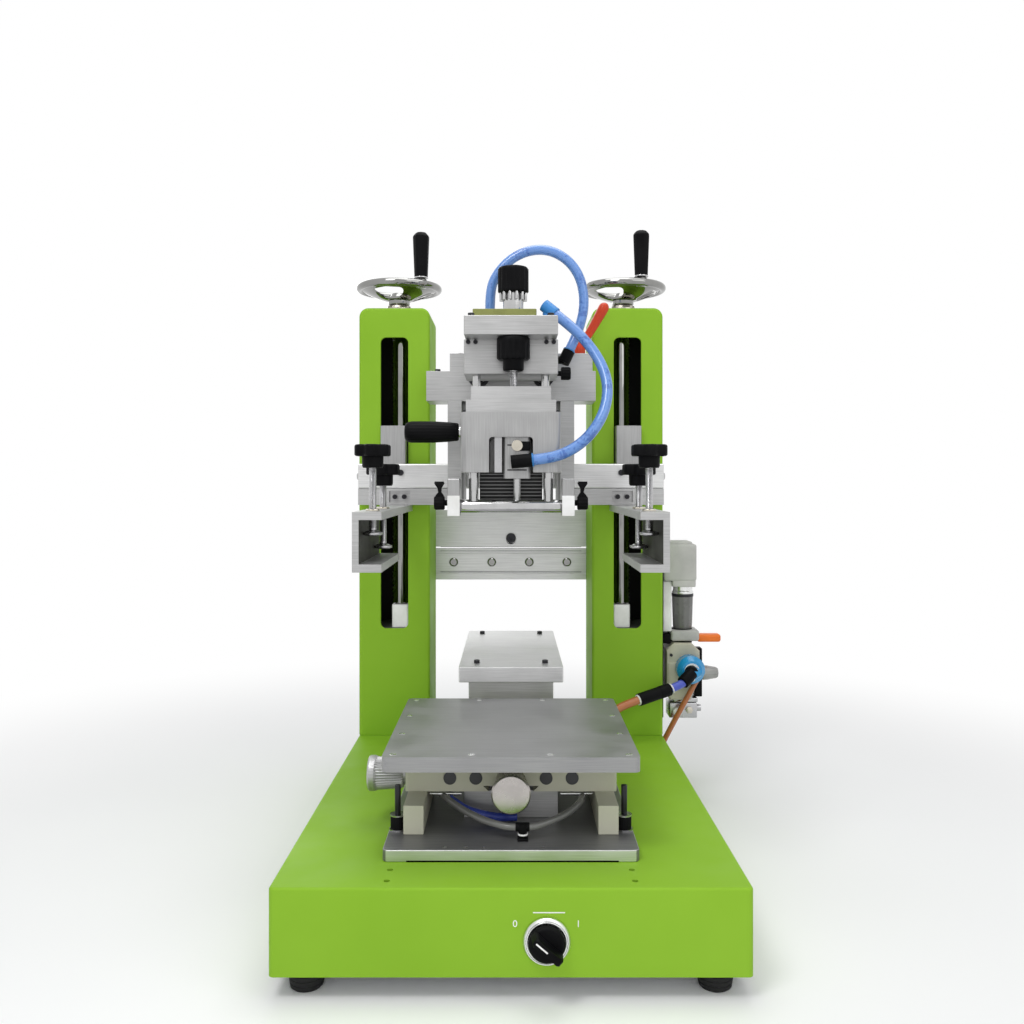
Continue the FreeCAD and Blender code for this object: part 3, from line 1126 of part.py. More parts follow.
def make_lower_knob():
    """The pressure knob with its neck, its screw down and its stud up."""
    crown = HEAD_TOP_BOTTOM - SEAT
    neck_top = crown - LOWER_KNOB_HEIGHT
    screw_top = neck_top - LOWER_NECK_HEIGHT
    foot = screw_top - LOWER_SCREW_LENGTH
    stud_top = HEAD_TOP_CROWN - HEAD_TOP_ROOF - SEAT
    radius = LOWER_KNOB_RADIUS
    edge = KNOB_BEVEL
    profile = ((0, foot), (LOWER_SCREW_RADIUS, foot), (LOWER_SCREW_RADIUS, screw_top),
               (LOWER_NECK_RADIUS, screw_top), (LOWER_NECK_RADIUS, neck_top), (radius - edge, neck_top),
               (radius, neck_top + edge), (radius, crown - edge), (radius - edge, crown),
               (LOWER_SCREW_RADIUS, crown), (LOWER_SCREW_RADIUS, stud_top), (0, stud_top))
    knob = turned(profile, (LOWER_KNOB_X, LOWER_KNOB_Y, 0))
    return [fluted(knob, radius, UPPER_KNOB_FLUTE_DEPTH, UPPER_KNOB_FLUTES, LOWER_KNOB_HEIGHT,
                   (LOWER_KNOB_X, LOWER_KNOB_Y, neck_top))]


def make_pressure_block():
    """The stepped block that the pressure screw moves, with its two posts."""
    lower = block(-PRESSURE_HALF_WIDTH, PRESSURE_HALF_WIDTH, PRESSURE_FRONT_Y,
                  PRESSURE_FRONT_Y + PRESSURE_DEPTH, PRESSURE_BOTTOM, PRESSURE_BOTTOM + PRESSURE_STEP_HEIGHT)
    inset = PRESSURE_STEP_INSET
    upper = block(inset - PRESSURE_HALF_WIDTH, PRESSURE_HALF_WIDTH - inset, PRESSURE_FRONT_Y + inset,
                  PRESSURE_FRONT_Y + PRESSURE_DEPTH, PRESSURE_BOTTOM + PRESSURE_STEP_HEIGHT, PRESSURE_TOP)
    body = lower.fuse(upper).removeSplitter()
    socket = PRESSURE_TOP - LOWER_SCREW_SOCKET
    cutters = [round_bar(LOWER_SCREW_RADIUS + FIT, (LOWER_KNOB_X, LOWER_KNOB_Y, socket),
                         (LOWER_KNOB_X, LOWER_KNOB_Y, PRESSURE_TOP + OVERRUN))]
    posts = []
    for side in SIDES:
        foot = PRESSURE_TOP - POST_SEAT
        cutters.append(round_bar(POST_RADIUS + FIT, (side * POST_X, POST_Y, foot),
                                 (side * POST_X, POST_Y, PRESSURE_TOP + OVERRUN)))
        posts.append(round_bar(POST_RADIUS, (side * POST_X, POST_Y, foot),
                               (side * POST_X, POST_Y, foot + POST_LENGTH)))
    return [body.cut(cutters)] + posts


def make_head_housing():
    """The squeegee housing with the window that shows the air cylinder."""
    body = block(-HOUSING_HALF_WIDTH, HOUSING_HALF_WIDTH, HOUSING_FRONT_Y, HOUSING_FRONT_Y + HOUSING_DEPTH,
                 HOUSING_BOTTOM, PRESSURE_BOTTOM)
    body = soften(body, HOUSING_EDGE_RADIUS, AXIS_Z)
    window = block(-WINDOW_HALF_WIDTH, WINDOW_HALF_WIDTH, HOUSING_FRONT_Y - OVERRUN,
                   HOUSING_FRONT_Y + WINDOW_DEPTH, HOUSING_BOTTOM - OVERRUN, HOUSING_BOTTOM + WINDOW_HEIGHT)
    window = soften(window, WINDOW_RADIUS, AXIS_Y, lambda spot: spot.z > HOUSING_BOTTOM)
    cutters = [window]
    for side in SIDES:
        x = side * GUIDE_ROD_X
        cutters.append(round_bar(GUIDE_ROD_RADIUS + FIT, (x, HOLDER_Y, HOUSING_BOTTOM - OVERRUN),
                                 (x, HOLDER_Y, PRESSURE_BOTTOM - HOUSING_ROOF)))
    return [body.cut(cutters)]


def make_head_cylinder():
    """The air cylinder in the window, a strip beside it, and its two front fittings."""
    front = HOUSING_FRONT_Y + CYLINDER_FRONT_INSET
    rear = HOUSING_FRONT_Y + WINDOW_DEPTH
    top = HOUSING_BOTTOM + WINDOW_HEIGHT
    body = block(CYLINDER_LEFT_X, CYLINDER_RIGHT_X, front, rear, top - CYLINDER_HEIGHT, top)
    body = soften(body, CYLINDER_EDGE_RADIUS, AXIS_Z)
    bore = round_bar(PISTON_ROD_RADIUS + FIT, (PISTON_ROD_X, HOLDER_Y, top - CYLINDER_HEIGHT - OVERRUN),
                     (PISTON_ROD_X, HOLDER_Y, top - CYLINDER_STRIP_GAP))
    body = body.cut(bore)
    strip_right = CYLINDER_LEFT_X - CYLINDER_STRIP_GAP
    strip = block(strip_right - CYLINDER_STRIP_WIDTH, strip_right, front, rear, HOUSING_BOTTOM, top)
    neighbour, end = HOSE_A_ROUTE[1], HOSE_A_ROUTE[0]
    barrel, heart = fitting(end, neighbour, HOSE_BARREL_LENGTH + FITTING_LENGTH, HOSE_BARREL_RADIUS)
    stub = round_bar(HOSE_STUB_RADIUS, tuple(heart), (heart.x, front, heart.z))
    elbow = barrel.fuse(stub).removeSplitter()
    upper_z = HOUSING_BOTTOM + ELBOW_UPPER_RISE
    upper_x = (CYLINDER_LEFT_X + CYLINDER_RIGHT_X) / 2
    upper = round_bar(FITTING_RADIUS, (upper_x, front, upper_z),
                      (upper_x, front - ELBOW_UPPER_REACH, upper_z))
    return [body, strip, elbow, upper]


def make_squeegee_holder():
    """Guide rods and piston rod into one round bar, with an end block each side."""
    z = HOLDER_Z
    foot = z - HOLDER_ROD_STICKOUT
    top = HOUSING_BOTTOM + HOLDER_ROD_ENGAGED
    rods = []
    holes = []
    for x, radius in ((-GUIDE_ROD_X, GUIDE_ROD_RADIUS), (GUIDE_ROD_X, GUIDE_ROD_RADIUS),
                      (PISTON_ROD_X, PISTON_ROD_RADIUS)):
        reach = top if radius > PISTON_ROD_RADIUS else HOUSING_BOTTOM + PISTON_ROD_ENGAGED
        rods.append(round_bar(radius, (x, HOLDER_Y, foot), (x, HOLDER_Y, reach)))
        holes.append(round_bar(radius + FIT, (x, HOLDER_Y, foot),
                               (x, HOLDER_Y, z + HOLDER_BAR_RADIUS + OVERRUN)))
    half = END_BLOCK_INNER_X + END_BLOCK_WIDTH
    bar = round_bar(HOLDER_BAR_RADIUS, (-half, HOLDER_Y, z), (half, HOLDER_Y, z)).cut(holes)
    pieces = rods + [bar]
    for side in SIDES:
        low = z - END_BLOCK_FOOT_DROP
        body = block(side * END_BLOCK_INNER_X, side * half, HOLDER_Y - END_BLOCK_DEPTH / 2,
                     HOLDER_Y + END_BLOCK_DEPTH / 2, low, low + END_BLOCK_HEIGHT)
        body = soften(body, END_BLOCK_EDGE_RADIUS, AXIS_X)
        bore = round_bar(HOLDER_BAR_RADIUS + FIT, (side * (END_BLOCK_INNER_X - OVERRUN), HOLDER_Y, z),
                         (side * (half + OVERRUN), HOLDER_Y, z))
        pieces.append(body.cut(bore))
    return pieces


def make_thumb_screws():
    """A black thumb screw with an upright wing on the outside of each end block."""
    screws = []
    for side in SIDES:
        face = side * (END_BLOCK_INNER_X + END_BLOCK_WIDTH)
        z = HOLDER_Z + THUMB_SHANK_LENGTH
        out = face + side * THUMB_SHANK_LENGTH
        tip = out + side * THUMB_HEAD_LENGTH
        shank = round_bar(THUMB_SHANK_RADIUS, (face, HOLDER_Y, z), (out, HOLDER_Y, z))
        head = round_bar(THUMB_HEAD_RADIUS, (out, HOLDER_Y, z), (tip, HOLDER_Y, z))
        wing = block(out, tip, HOLDER_Y - THUMB_WING_THICKNESS / 2, HOLDER_Y + THUMB_WING_THICKNESS / 2,
                     z, z + THUMB_HEAD_RADIUS + THUMB_WING_HEIGHT)
        screws.append(shank.fuse([head, wing]).removeSplitter())
    return screws


def make_pull_handle():
    """The black round handle on the housing's left side."""
    z = HOUSING_BOTTOM + HANDLE_RISE
    neck = HANDLE_NECK_LENGTH
    end = neck + HANDLE_LENGTH
    profile = ((0, 0), (HANDLE_NECK_RADIUS, 0), (HANDLE_NECK_RADIUS, neck),
               (HANDLE_RADIUS - HANDLE_TAPER, neck), (HANDLE_RADIUS, neck + HANDLE_LENGTH / 2),
               (HANDLE_RADIUS, end - HANDLE_CROWN), (HANDLE_RADIUS - HANDLE_CROWN_INSET, end), (0, end))
    return [turned(profile, (-HOUSING_HALF_WIDTH, HANDLE_Y, z), -AXIS_X)]


def make_clamp_lever():
    """The orange clamp lever: a hub with a stud, and an arm that rises to a round tip."""
    foot = BEARING_BOTTOM + BEARING_WING_HEIGHT + BEARING_CROWN_HEIGHT + SEAT
    hub = turned(((0, -LEVER_STUD_HEIGHT), (LEVER_STUD_RADIUS, -LEVER_STUD_HEIGHT), (LEVER_STUD_RADIUS, 0),
                  (LEVER_HUB_RADIUS, 0), (LEVER_HUB_RADIUS - LEVER_HUB_TAPER, LEVER_HUB_HEIGHT),
                  (0, LEVER_HUB_HEIGHT)),
                 (LEVER_X, LEVER_Y, foot))
    start = Vector(LEVER_X, LEVER_Y, foot + LEVER_HUB_HEIGHT / 2)
    run = Vector(LEVER_REACH, 0, LEVER_RISE)
    arm = Part.makeCone(LEVER_ARM_RADIUS, LEVER_TIP_RADIUS, run.Length, start, run)
    tip = Part.makeSphere(LEVER_TIP_RADIUS, start + run)
    return [hub.fuse([arm, tip]).removeSplitter()]


def make_hose_a():
    """The hose from the cylinder's elbow round the head's right side to its top."""
    return [tube(HOSE_A_ROUTE, HOSE_RADIUS, "air_hose_a")]


def make_hose_b():
    """The hose that arches over the head from left to right."""
    return [tube(HOSE_B_ROUTE, HOSE_RADIUS, "air_hose_b")]


def make_hose_fittings():
    """The three angled fittings on the head that the hoses run into."""
    pieces = []
    barrel, heart = fitting(HOSE_A_ROUTE[-1], HOSE_A_ROUTE[-2], HOSE_BARREL_LENGTH, HOSE_BARREL_RADIUS)
    stub = round_bar(HOSE_STUB_RADIUS, tuple(heart), (heart.x, heart.y, HEAD_TOP_CROWN))
    pieces.append(barrel.fuse(stub).removeSplitter())
    end = HOSE_B_ROUTE[0]
    pieces.append(round_bar(HOSE_BARREL_RADIUS, end, (end[0], end[1], HEAD_TOP_CROWN)))
    barrel, heart = fitting(HOSE_B_ROUTE[-1], HOSE_B_ROUTE[-2], HOSE_BARREL_LENGTH, HOSE_BARREL_RADIUS)
    stub = round_bar(HOSE_STUB_RADIUS, tuple(heart), (HEAD_MIDDLE_HALF_WIDTH, heart.y, heart.z))
    pieces.append(barrel.fuse(stub).removeSplitter())
    return pieces


def make_air_plate():
    """The black plate on the right column that carries the air unit."""
    x = COLUMN_X + COLUMN_WIDTH / 2
    return [block(x, x + AIR_PLATE_THICKNESS, AIR_UNIT_Y - AIR_PLATE_DEPTH / 2,
                  AIR_UNIT_Y + AIR_PLATE_DEPTH / 2 - BACK_COVER, BASE_TOP + AIR_PLATE_FOOT,
                  BASE_TOP + AIR_PLATE_FOOT + AIR_PLATE_HEIGHT)]


def air_block(foot, height, width, depth, radius):
    """A rounded block of the air unit against the plate."""
    x = COLUMN_X + COLUMN_WIDTH / 2 + AIR_PLATE_THICKNESS
    body = block(x, x + width, AIR_UNIT_Y - depth / 2, AIR_UNIT_Y + depth / 2, BASE_TOP + foot,
                 BASE_TOP + foot + height)
    return soften(body, radius, AXIS_Z, lambda spot: spot.x > x + radius)


def make_air_filter():
    """The grey filter head with its round bowl below."""
    head = air_block(FILTER_FOOT, FILTER_HEIGHT, AIR_WIDTH, AIR_BLOCK_DEPTH, FILTER_EDGE_RADIUS)
    x = COLUMN_X + COLUMN_WIDTH / 2 + AIR_PLATE_THICKNESS + AIR_WIDTH / 2
    top = BASE_TOP + FILTER_FOOT
    profile = ((0, -BOWL_HEIGHT), (BOWL_RADIUS - FILTER_EDGE_RADIUS, -BOWL_HEIGHT),
               (BOWL_RADIUS, FILTER_EDGE_RADIUS - BOWL_HEIGHT), (BOWL_RADIUS, 0), (0, 0))
    return [head, turned(profile, (x, AIR_UNIT_Y, top))]


def make_air_regulator():
    """The beige regulator with its neck, orange slide, side knob and the drain valve below."""
    body = air_block(REGULATOR_FOOT, REGULATOR_HEIGHT, AIR_WIDTH, AIR_BLOCK_DEPTH, FILTER_EDGE_RADIUS)
    plate = COLUMN_X + COLUMN_WIDTH / 2 + AIR_PLATE_THICKNESS
    x = plate + AIR_WIDTH / 2
    top = BASE_TOP + REGULATOR_FOOT + REGULATOR_HEIGHT
    neck = round_bar(REGULATOR_NECK_RADIUS, (x, AIR_UNIT_Y, top),
                     (x, AIR_UNIT_Y, BASE_TOP + FILTER_FOOT - BOWL_HEIGHT))
    slide = block(plate + TAB_REACH - TAB_WIDTH, plate + TAB_REACH, AIR_UNIT_Y - TAB_DEPTH / 2,
                  AIR_UNIT_Y + TAB_DEPTH / 2, top, top + TAB_HEIGHT)
    dial_z = BASE_TOP + REGULATOR_FOOT + DIAL_RISE
    dial = round_bar(DIAL_RADIUS, (plate + AIR_WIDTH, AIR_UNIT_Y, dial_z),
                     (plate + AIR_WIDTH + DIAL_LENGTH, AIR_UNIT_Y, dial_z))
    foot = BASE_TOP + REGULATOR_FOOT
    valve = block(plate + VALVE_INSET_X, plate + VALVE_INSET_X + VALVE_WIDTH, AIR_UNIT_Y - VALVE_DEPTH / 2,
                  AIR_UNIT_Y + VALVE_DEPTH / 2, foot - VALVE_HEIGHT, foot)
    return [body, neck, slide, dial, valve]


def make_air_fittings():
    """The blue collar with its angled fitting, the tube's union and the base's fitting."""
    x = COLUMN_X + COLUMN_WIDTH / 2 + COLLAR_X
    y = AIR_UNIT_Y - AIR_BLOCK_DEPTH / 2
    z = BASE_TOP + REGULATOR_FOOT + COLLAR_RISE
    profile = ((0, 0), (COLLAR_RADIUS, 0), (COLLAR_RADIUS, COLLAR_LENGTH - FITTING_LENGTH),
               (COLLAR_RADIUS * COLLAR_NOSE_SHARE, COLLAR_LENGTH), (0, COLLAR_LENGTH))
    collar = turned(profile, (x, y, z), -AXIS_Y)
    barrel, heart = fitting(REGULATOR_ROUTE[-1], REGULATOR_ROUTE[-2], SUPPLY_BARREL_LENGTH,
                            SUPPLY_BARREL_RADIUS)
    stub = round_bar(SUPPLY_STUB_RADIUS, tuple(heart), (heart.x, y - COLLAR_LENGTH / 2, heart.z))
    union = round_bar(UNION_RADIUS, SUPPLY_ROUTE[-1], REGULATOR_ROUTE[0])
    root_barrel, root_heart = fitting(SUPPLY_ROUTE[0], SUPPLY_ROUTE[1], SUPPLY_BARREL_LENGTH,
                                      SUPPLY_BARREL_RADIUS)
    root_stub = round_bar(SUPPLY_STUB_RADIUS, tuple(root_heart), (root_heart.x, root_heart.y, BASE_TOP))
    return [collar.fuse([barrel, stub]).removeSplitter(), union, root_barrel.fuse(root_stub).removeSplitter()]


def make_supply_tubes():
    """The tube from the base up to the union, and from there to the regulator."""
    return [tube(SUPPLY_ROUTE, SUPPLY_RADIUS, "supply_tube"),
            tube(REGULATOR_ROUTE, SUPPLY_RADIUS, "regulator_tube")]


def pieces_of_the_press():
    """Every sub-part's name with its solids."""
    nodes = {
        "base_housing": make_base_housing(),
        "base_bottom_plate": make_bottom_plate(),
        "rubber_feet": make_feet(),
        "selector_bezel": make_selector_bezel(),
        "selector_knob": make_selector_knob(),
        "left_column": make_column(-1),
        "right_column": make_column(1),
        "column_back_covers": make_back_covers(),
        "column_top_bearings": make_top_bearings(),
        "shaft_supports": make_shaft_supports(),
        "shaft_caps": make_shaft_caps(),
        "guide_shafts": make_guide_shafts(),
        "rear_tie_beam": make_tie_beam(),
        "rear_rest_block": make_rest_block(),
        "table_base_plate": make_table_base(),
        "table_lower_stage": make_lower_stage(),
        "table_middle_stage": make_middle_stage(),
        "table_upper_stage": make_upper_stage(),
        "table_top_plate": make_top_plate(),
        "table_front_knob": make_front_knob(),
        "table_side_knob": make_side_knob(),
        "lift_sliders": make_lift_sliders(),
        "cross_beam": make_cross_beam(),
        "head_bearing_block": make_bearing_block(),
        "stroke_rods": make_stroke_rods(),
        "head_middle_block": make_middle_block(),
        "head_top_block": make_top_block(),
        "head_cap_plate": make_cap_plate(),
        "upper_knob": make_upper_knob(),
        "lower_knob": make_lower_knob(),
        "pressure_block": make_pressure_block(),
        "head_housing": make_head_housing(),
        "head_cylinder": make_head_cylinder(),
        "squeegee_holder": make_squeegee_holder(),
        "thumb_screws": make_thumb_screws(),
        "pull_handle": make_pull_handle(),
        "clamp_lever": make_clamp_lever(),
        "hose_fittings": make_hose_fittings(),
        "air_hose_a": make_hose_a(),
        "air_hose_b": make_hose_b(),
        "air_plate": make_air_plate(),
        "air_unit": make_air_filter() + make_air_regulator(),
        "air_fittings": make_air_fittings(),
        "supply_tubes": make_supply_tubes(),
    }
    for name, side in (("left", -1), ("right", 1)):
        nodes[name + "_handwheel"] = make_handwheel(side)
        nodes[name + "_lead_screw"] = make_lead_screw(side)
        nodes[name + "_crank_grip"] = make_crank_grip(side)
        nodes[name + "_clamp_arm"] = make_clamp_arm(side)
        for place, y, opening in (("front", CLAMP_FRONT_Y, CLAMP_FRONT_OPENING),
                                  ("rear", CLAMP_REAR_Y, CLAMP_REAR_OPENING)):
            nodes[name + "_" + place + "_clamp_screw"] = make_clamp_screw(side, y, opening)
            nodes[name + "_" + place + "_clamp_knob"] = make_clamp_knob(side, y, opening)
    return nodes


def main():
    """Build every sub-part, report it and write its file."""
    os.makedirs("parts", exist_ok=True)
    for name, solids in pieces_of_the_press().items():
        count = 0
        volume = 0
        for solid in solids:
            count += len(solid.Solids)
            volume += solid.Volume
            if not solid.isValid():
                print("not valid:", name)
        shape = solids[0] if len(solids) == 1 else Part.makeCompound(solids)
        shape.exportStep("parts/" + name + ".step")
        print(name, "solids", count, "volume", round(volume))


main()
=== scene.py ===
"""The looks of a tabletop screen printing press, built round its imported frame.

Shapes are worked out in millimetres and made in metres, in the frame's own axes: X right, Y to the rear, Z up.
"""

import json
import logging
import math
from collections.abc import Callable
from dataclasses import dataclass, field
from enum import Enum

import bmesh
import bpy
from mathutils import Matrix, Vector


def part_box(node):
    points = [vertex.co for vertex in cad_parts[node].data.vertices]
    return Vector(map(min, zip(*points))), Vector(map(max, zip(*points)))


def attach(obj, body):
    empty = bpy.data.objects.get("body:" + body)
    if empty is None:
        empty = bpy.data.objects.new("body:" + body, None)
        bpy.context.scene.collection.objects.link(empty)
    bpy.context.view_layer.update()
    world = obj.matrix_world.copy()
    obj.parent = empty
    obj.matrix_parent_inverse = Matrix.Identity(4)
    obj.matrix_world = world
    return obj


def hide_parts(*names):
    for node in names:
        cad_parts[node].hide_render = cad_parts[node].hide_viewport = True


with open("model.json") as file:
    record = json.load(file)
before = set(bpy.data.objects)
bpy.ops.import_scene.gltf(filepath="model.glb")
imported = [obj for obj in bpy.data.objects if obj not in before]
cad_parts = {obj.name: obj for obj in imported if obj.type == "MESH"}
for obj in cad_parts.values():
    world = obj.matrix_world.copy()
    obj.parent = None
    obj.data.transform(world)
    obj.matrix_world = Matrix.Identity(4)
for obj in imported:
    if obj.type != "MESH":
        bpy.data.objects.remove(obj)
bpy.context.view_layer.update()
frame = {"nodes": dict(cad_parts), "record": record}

LOG = logging.getLogger("press")
MM = 0.001
TURN = 2 * math.pi
HALF_UP = 0.501  # rounds a half up, also where its last digit falls short
SAME_SPOT = 1e-4  # vertices nearer than this, in millimetres, are one
THINNEST = 0.01  # the smallest radius that a grooved shape closes to, in millimetres
WELD = 2e-6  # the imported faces' vertices nearer than this, in metres, are one
FLAT = math.radians(0.6)
CRISP = math.radians(35.0)

Colour = tuple[float, float, float]
Point = tuple[float, float, float]


class Axis(Enum):
    """The direction that a turned piece or a brushed grain follows."""

    X = (1.0, 0.0, 0.0)
    Y = (0.0, 1.0, 0.0)
    Z = (0.0, 0.0, 1.0)

    @property
    def vector(self) -> Vector:
        """The axis as a vector."""
        return Vector(self.value)


class NodeTreeWriter:
    """Adds and links shader nodes with little text."""

    def __init__(self, material: bpy.types.Material) -> None:
        """Start from an empty tree that holds only a Principled shader and its output."""
        material.use_nodes = True
        self.tree = material.node_tree
        self.tree.nodes.clear()
        self.output = self.tree.nodes.new("ShaderNodeOutputMaterial")
        self.shader = self.tree.nodes.new("ShaderNodeBsdfPrincipled")
        self.link(self.shader, "BSDF", self.output, "Surface")
        self.coordinates = self.tree.nodes.new("ShaderNodeTexCoord")

    def link(self, source: bpy.types.Node, out: str | int, target: bpy.types.Node, into: str | int) -> None:
        """Join one socket to another."""
        self.tree.links.new(source.outputs[out], target.inputs[into])

    def noise(self, scale: float, detail: float, stretch: Point = (1.0, 1.0, 1.0)) -> bpy.types.Node:
        """A noise on Object coordinates, stretched along the axes.

        Args:
            scale: cells per metre.
            detail: octaves of finer noise.
            stretch: how much each axis is compressed.

        Returns:
            The noise node.
        """
        mapping = self.tree.nodes.new("ShaderNodeMapping")
        mapping.inputs["Scale"].default_value = stretch
        self.link(self.coordinates, "Object", mapping, "Vector")
        noise = self.tree.nodes.new("ShaderNodeTexNoise")
        noise.inputs["Scale"].default_value = scale
        noise.inputs["Detail"].default_value = detail
        self.link(mapping, "Vector", noise, "Vector")
        return noise

    def ramp(self, source: bpy.types.Node, low: float, high: float, first: Colour, last: Colour) -> bpy.types.Node:
        """Two colours, mixed by a factor between two levels.

        Args:
            source: the node whose first output gives the factor.
            low: the level of the first colour.
            high: the level of the last colour.
            first: the colour at and below the low level.
            last: the colour at and above the high level.

        Returns:
            The ramp node.
        """
        ramp = self.tree.nodes.new("ShaderNodeValToRGB")
        ramp.color_ramp.elements[0].position = low
        ramp.color_ramp.elements[1].position = high
        ramp.color_ramp.elements[0].color = (*first, 1.0)
        ramp.color_ramp.elements[1].color = (*last, 1.0)
        self.link(source, 0, ramp, "Fac")
        return ramp

    def rough(self, source: bpy.types.Node, low: float, high: float) -> None:
        """Let a texture vary the roughness between two values."""
        spread = self.tree.nodes.new("ShaderNodeMapRange")
        spread.inputs["From Min"].default_value = 0.3
        spread.inputs["From Max"].default_value = 0.7
        spread.inputs["To Min"].default_value = low
        spread.inputs["To Max"].default_value = high
        self.link(source, 0, spread, "Value")
        self.link(spread, "Result", self.shader, "Roughness")

    def bump(self, source: bpy.types.Node, strength: float, height: float) -> None:
        """Let a texture raise the surface by a height in metres."""
        bump = self.tree.nodes.new("ShaderNodeBump")
        bump.inputs["Strength"].default_value = strength
        bump.inputs["Distance"].default_value = height
        self.link(source, 0, bump, "Height")
        self.link(bump, "Normal", self.shader, "Normal")

    def set(self, **values: float | Colour) -> None:
        """Set constants on the shader's own sockets, with _ for a space in a name."""
        for name, value in values.items():
            socket = self.shader.inputs[name.replace("_", " ")]
            socket.default_value = (*value, 1.0) if isinstance(value, tuple) else value


@dataclass(frozen=True)
class Finish:
    """A surface finish and the record's slot that it stands for."""

    name: str
    slot: str
    colour: Colour

    def write(self, tree: NodeTreeWriter) -> None:
        """Fill in the shader; each kind of finish has its own."""
        raise NotImplementedError

    def material(self) -> bpy.types.Material:
        """The finish's material, made once."""
        found = bpy.data.materials.get(self.name)
        if found is None:
            found = bpy.data.materials.new(self.name)
            self.write(NodeTreeWriter(found))
            found.diffuse_color = (*self.colour, 1.0)
        return found


@dataclass(frozen=True)
class PowderCoat(Finish):
    """Baked paint: a smooth coat with faint orange peel and handling haze."""

    shade: Colour = (0.0, 0.0, 0.0)
    peel: float = 650.0

    def write(self, tree: NodeTreeWriter) -> None:
        """A gloss colour that drifts a little, under a clear skin."""
        drift = tree.noise(9.0, 3.0)
        tree.link(tree.ramp(drift, 0.3, 0.7, self.shade, self.colour), "Color", tree.shader, "Base Color")
        tree.rough(tree.noise(30.0, 5.0), 0.48, 0.64)
        tree.bump(tree.noise(self.peel, 2.0), 0.12, 0.0002)
        tree.set(Coat_Weight=0.02, Coat_Roughness=0.25, Specular_IOR_Level=0.12)


@dataclass(frozen=True)
class Brushed(Finish):
    """Machined or anodised metal with a grain along one axis."""

    grain: Axis = Axis.X
    dark: Colour = (0.5, 0.5, 0.5)
    low: float = 0.3
    high: float = 0.5
    metallic: float = 0.8

    def write(self, tree: NodeTreeWriter) -> None:
        """Fine lines along the grain, with broad stains in the oxide."""
        across = tuple(1.0 if part == 0.0 else 0.02 for part in self.grain.value)
        lines = tree.noise(1600.0, 3.0, across)
        stain = tree.noise(24.0, 4.0)
        mixed = tree.tree.nodes.new("ShaderNodeMath")
        mixed.operation = "MULTIPLY_ADD"
        mixed.inputs[1].default_value = 0.55
        tree.link(lines, "Fac", mixed, 0)
        half = tree.tree.nodes.new("ShaderNodeMath")
        half.operation = "MULTIPLY"
        half.inputs[1].default_value = 0.45
        tree.link(stain, "Fac", half, 0)
        tree.link(half, "Value", mixed, 2)
        tree.link(tree.ramp(mixed, 0.36, 0.62, self.dark, self.colour), "Color", tree.shader, "Base Color")
        tree.rough(stain, self.low, self.high)
        tree.bump(lines, 0.18, 0.00008)
        tree.set(Metallic=self.metallic)


@dataclass(frozen=True)
class Polished(Finish):
    """Bright plated or ground metal with faint smears."""

    low: float = 0.07
    high: float = 0.2

    def write(self, tree: NodeTreeWriter) -> None:
        """A mirror that is a little duller where it was touched."""
        smear = tree.noise(60.0, 6.0)
        dull = tuple(part * 0.86 for part in self.colour)
        tree.link(tree.ramp(smear, 0.35, 0.65, dull, self.colour), "Color", tree.shader, "Base Color")
        tree.rough(smear, self.low, self.high)
        tree.bump(tree.noise(900.0, 2.0), 0.04, 0.00005)
        tree.set(Metallic=1.0)


@dataclass(frozen=True)
class Turned(Finish):
    """Bright metal turned on a lathe, with fine rings about its axis."""

    axis: Axis = Axis.Y
    middle: Point = (0.0, 0.0, 0.0)
    ring: float = 240.0

    def write(self, tree: NodeTreeWriter) -> None:
        """Concentric grooves from the distance to the axis, and a stain that dulls it."""
        wave = tree.tree.nodes.new("ShaderNodeTexWave")
        wave.wave_type = "RINGS"
        wave.rings_direction = self.axis.name
        wave.inputs["Scale"].default_value = self.ring
        wave.inputs["Distortion"].default_value = 0.3
        shift = tree.tree.nodes.new("ShaderNodeVectorMath")
        shift.operation = "SUBTRACT"
        shift.inputs[1].default_value = self.middle
        tree.link(tree.coordinates, "Object", shift, 0)
        tree.link(shift, "Vector", wave, "Vector")
        stain = tree.noise(70.0, 4.0)
        dull = tuple(part * 0.8 for part in self.colour)
        tree.link(tree.ramp(stain, 0.35, 0.65, dull, self.colour), "Color", tree.shader, "Base Color")
        tree.rough(stain, 0.22, 0.34)
        tree.bump(wave, 0.08, 0.00004)
        tree.set(Metallic=1.0)


@dataclass(frozen=True)
class Braided(Finish):
    """A clear tube over a crossed braid: bright flecks on a darker core."""

    core: Colour = (0.0, 0.0, 0.0)
    cells: float = 420.0

    def write(self, tree: NodeTreeWriter) -> None:
        """Slanted noises in both directions meet in flecks, under a smooth clear skin."""
        left = tree.noise(self.cells, 2.0, (1.0, 1.0, 0.35))
        right = tree.noise(self.cells * 0.8, 2.0, (0.4, 0.4, 1.0))
        both = tree.tree.nodes.new("ShaderNodeMath")
        both.operation = "MAXIMUM"
        tree.link(left, 0, both, 0)
        tree.link(right, 0, both, 1)
        broad = tree.noise(55.0, 2.0)
        sum_of = tree.tree.nodes.new("ShaderNodeMath")
        sum_of.operation = "ADD"
        tree.link(both, 0, sum_of, 0)
        tree.link(broad, 0, sum_of, 1)
        tree.link(tree.ramp(sum_of, 0.85, 1.3, self.core, self.colour), "Color", tree.shader, "Base Color")
        tree.rough(broad, 0.18, 0.32)
        tree.bump(both, 0.1, 0.0001)
        tree.set(Coat_Weight=0.5, Coat_Roughness=0.08, Specular_IOR_Level=0.5)


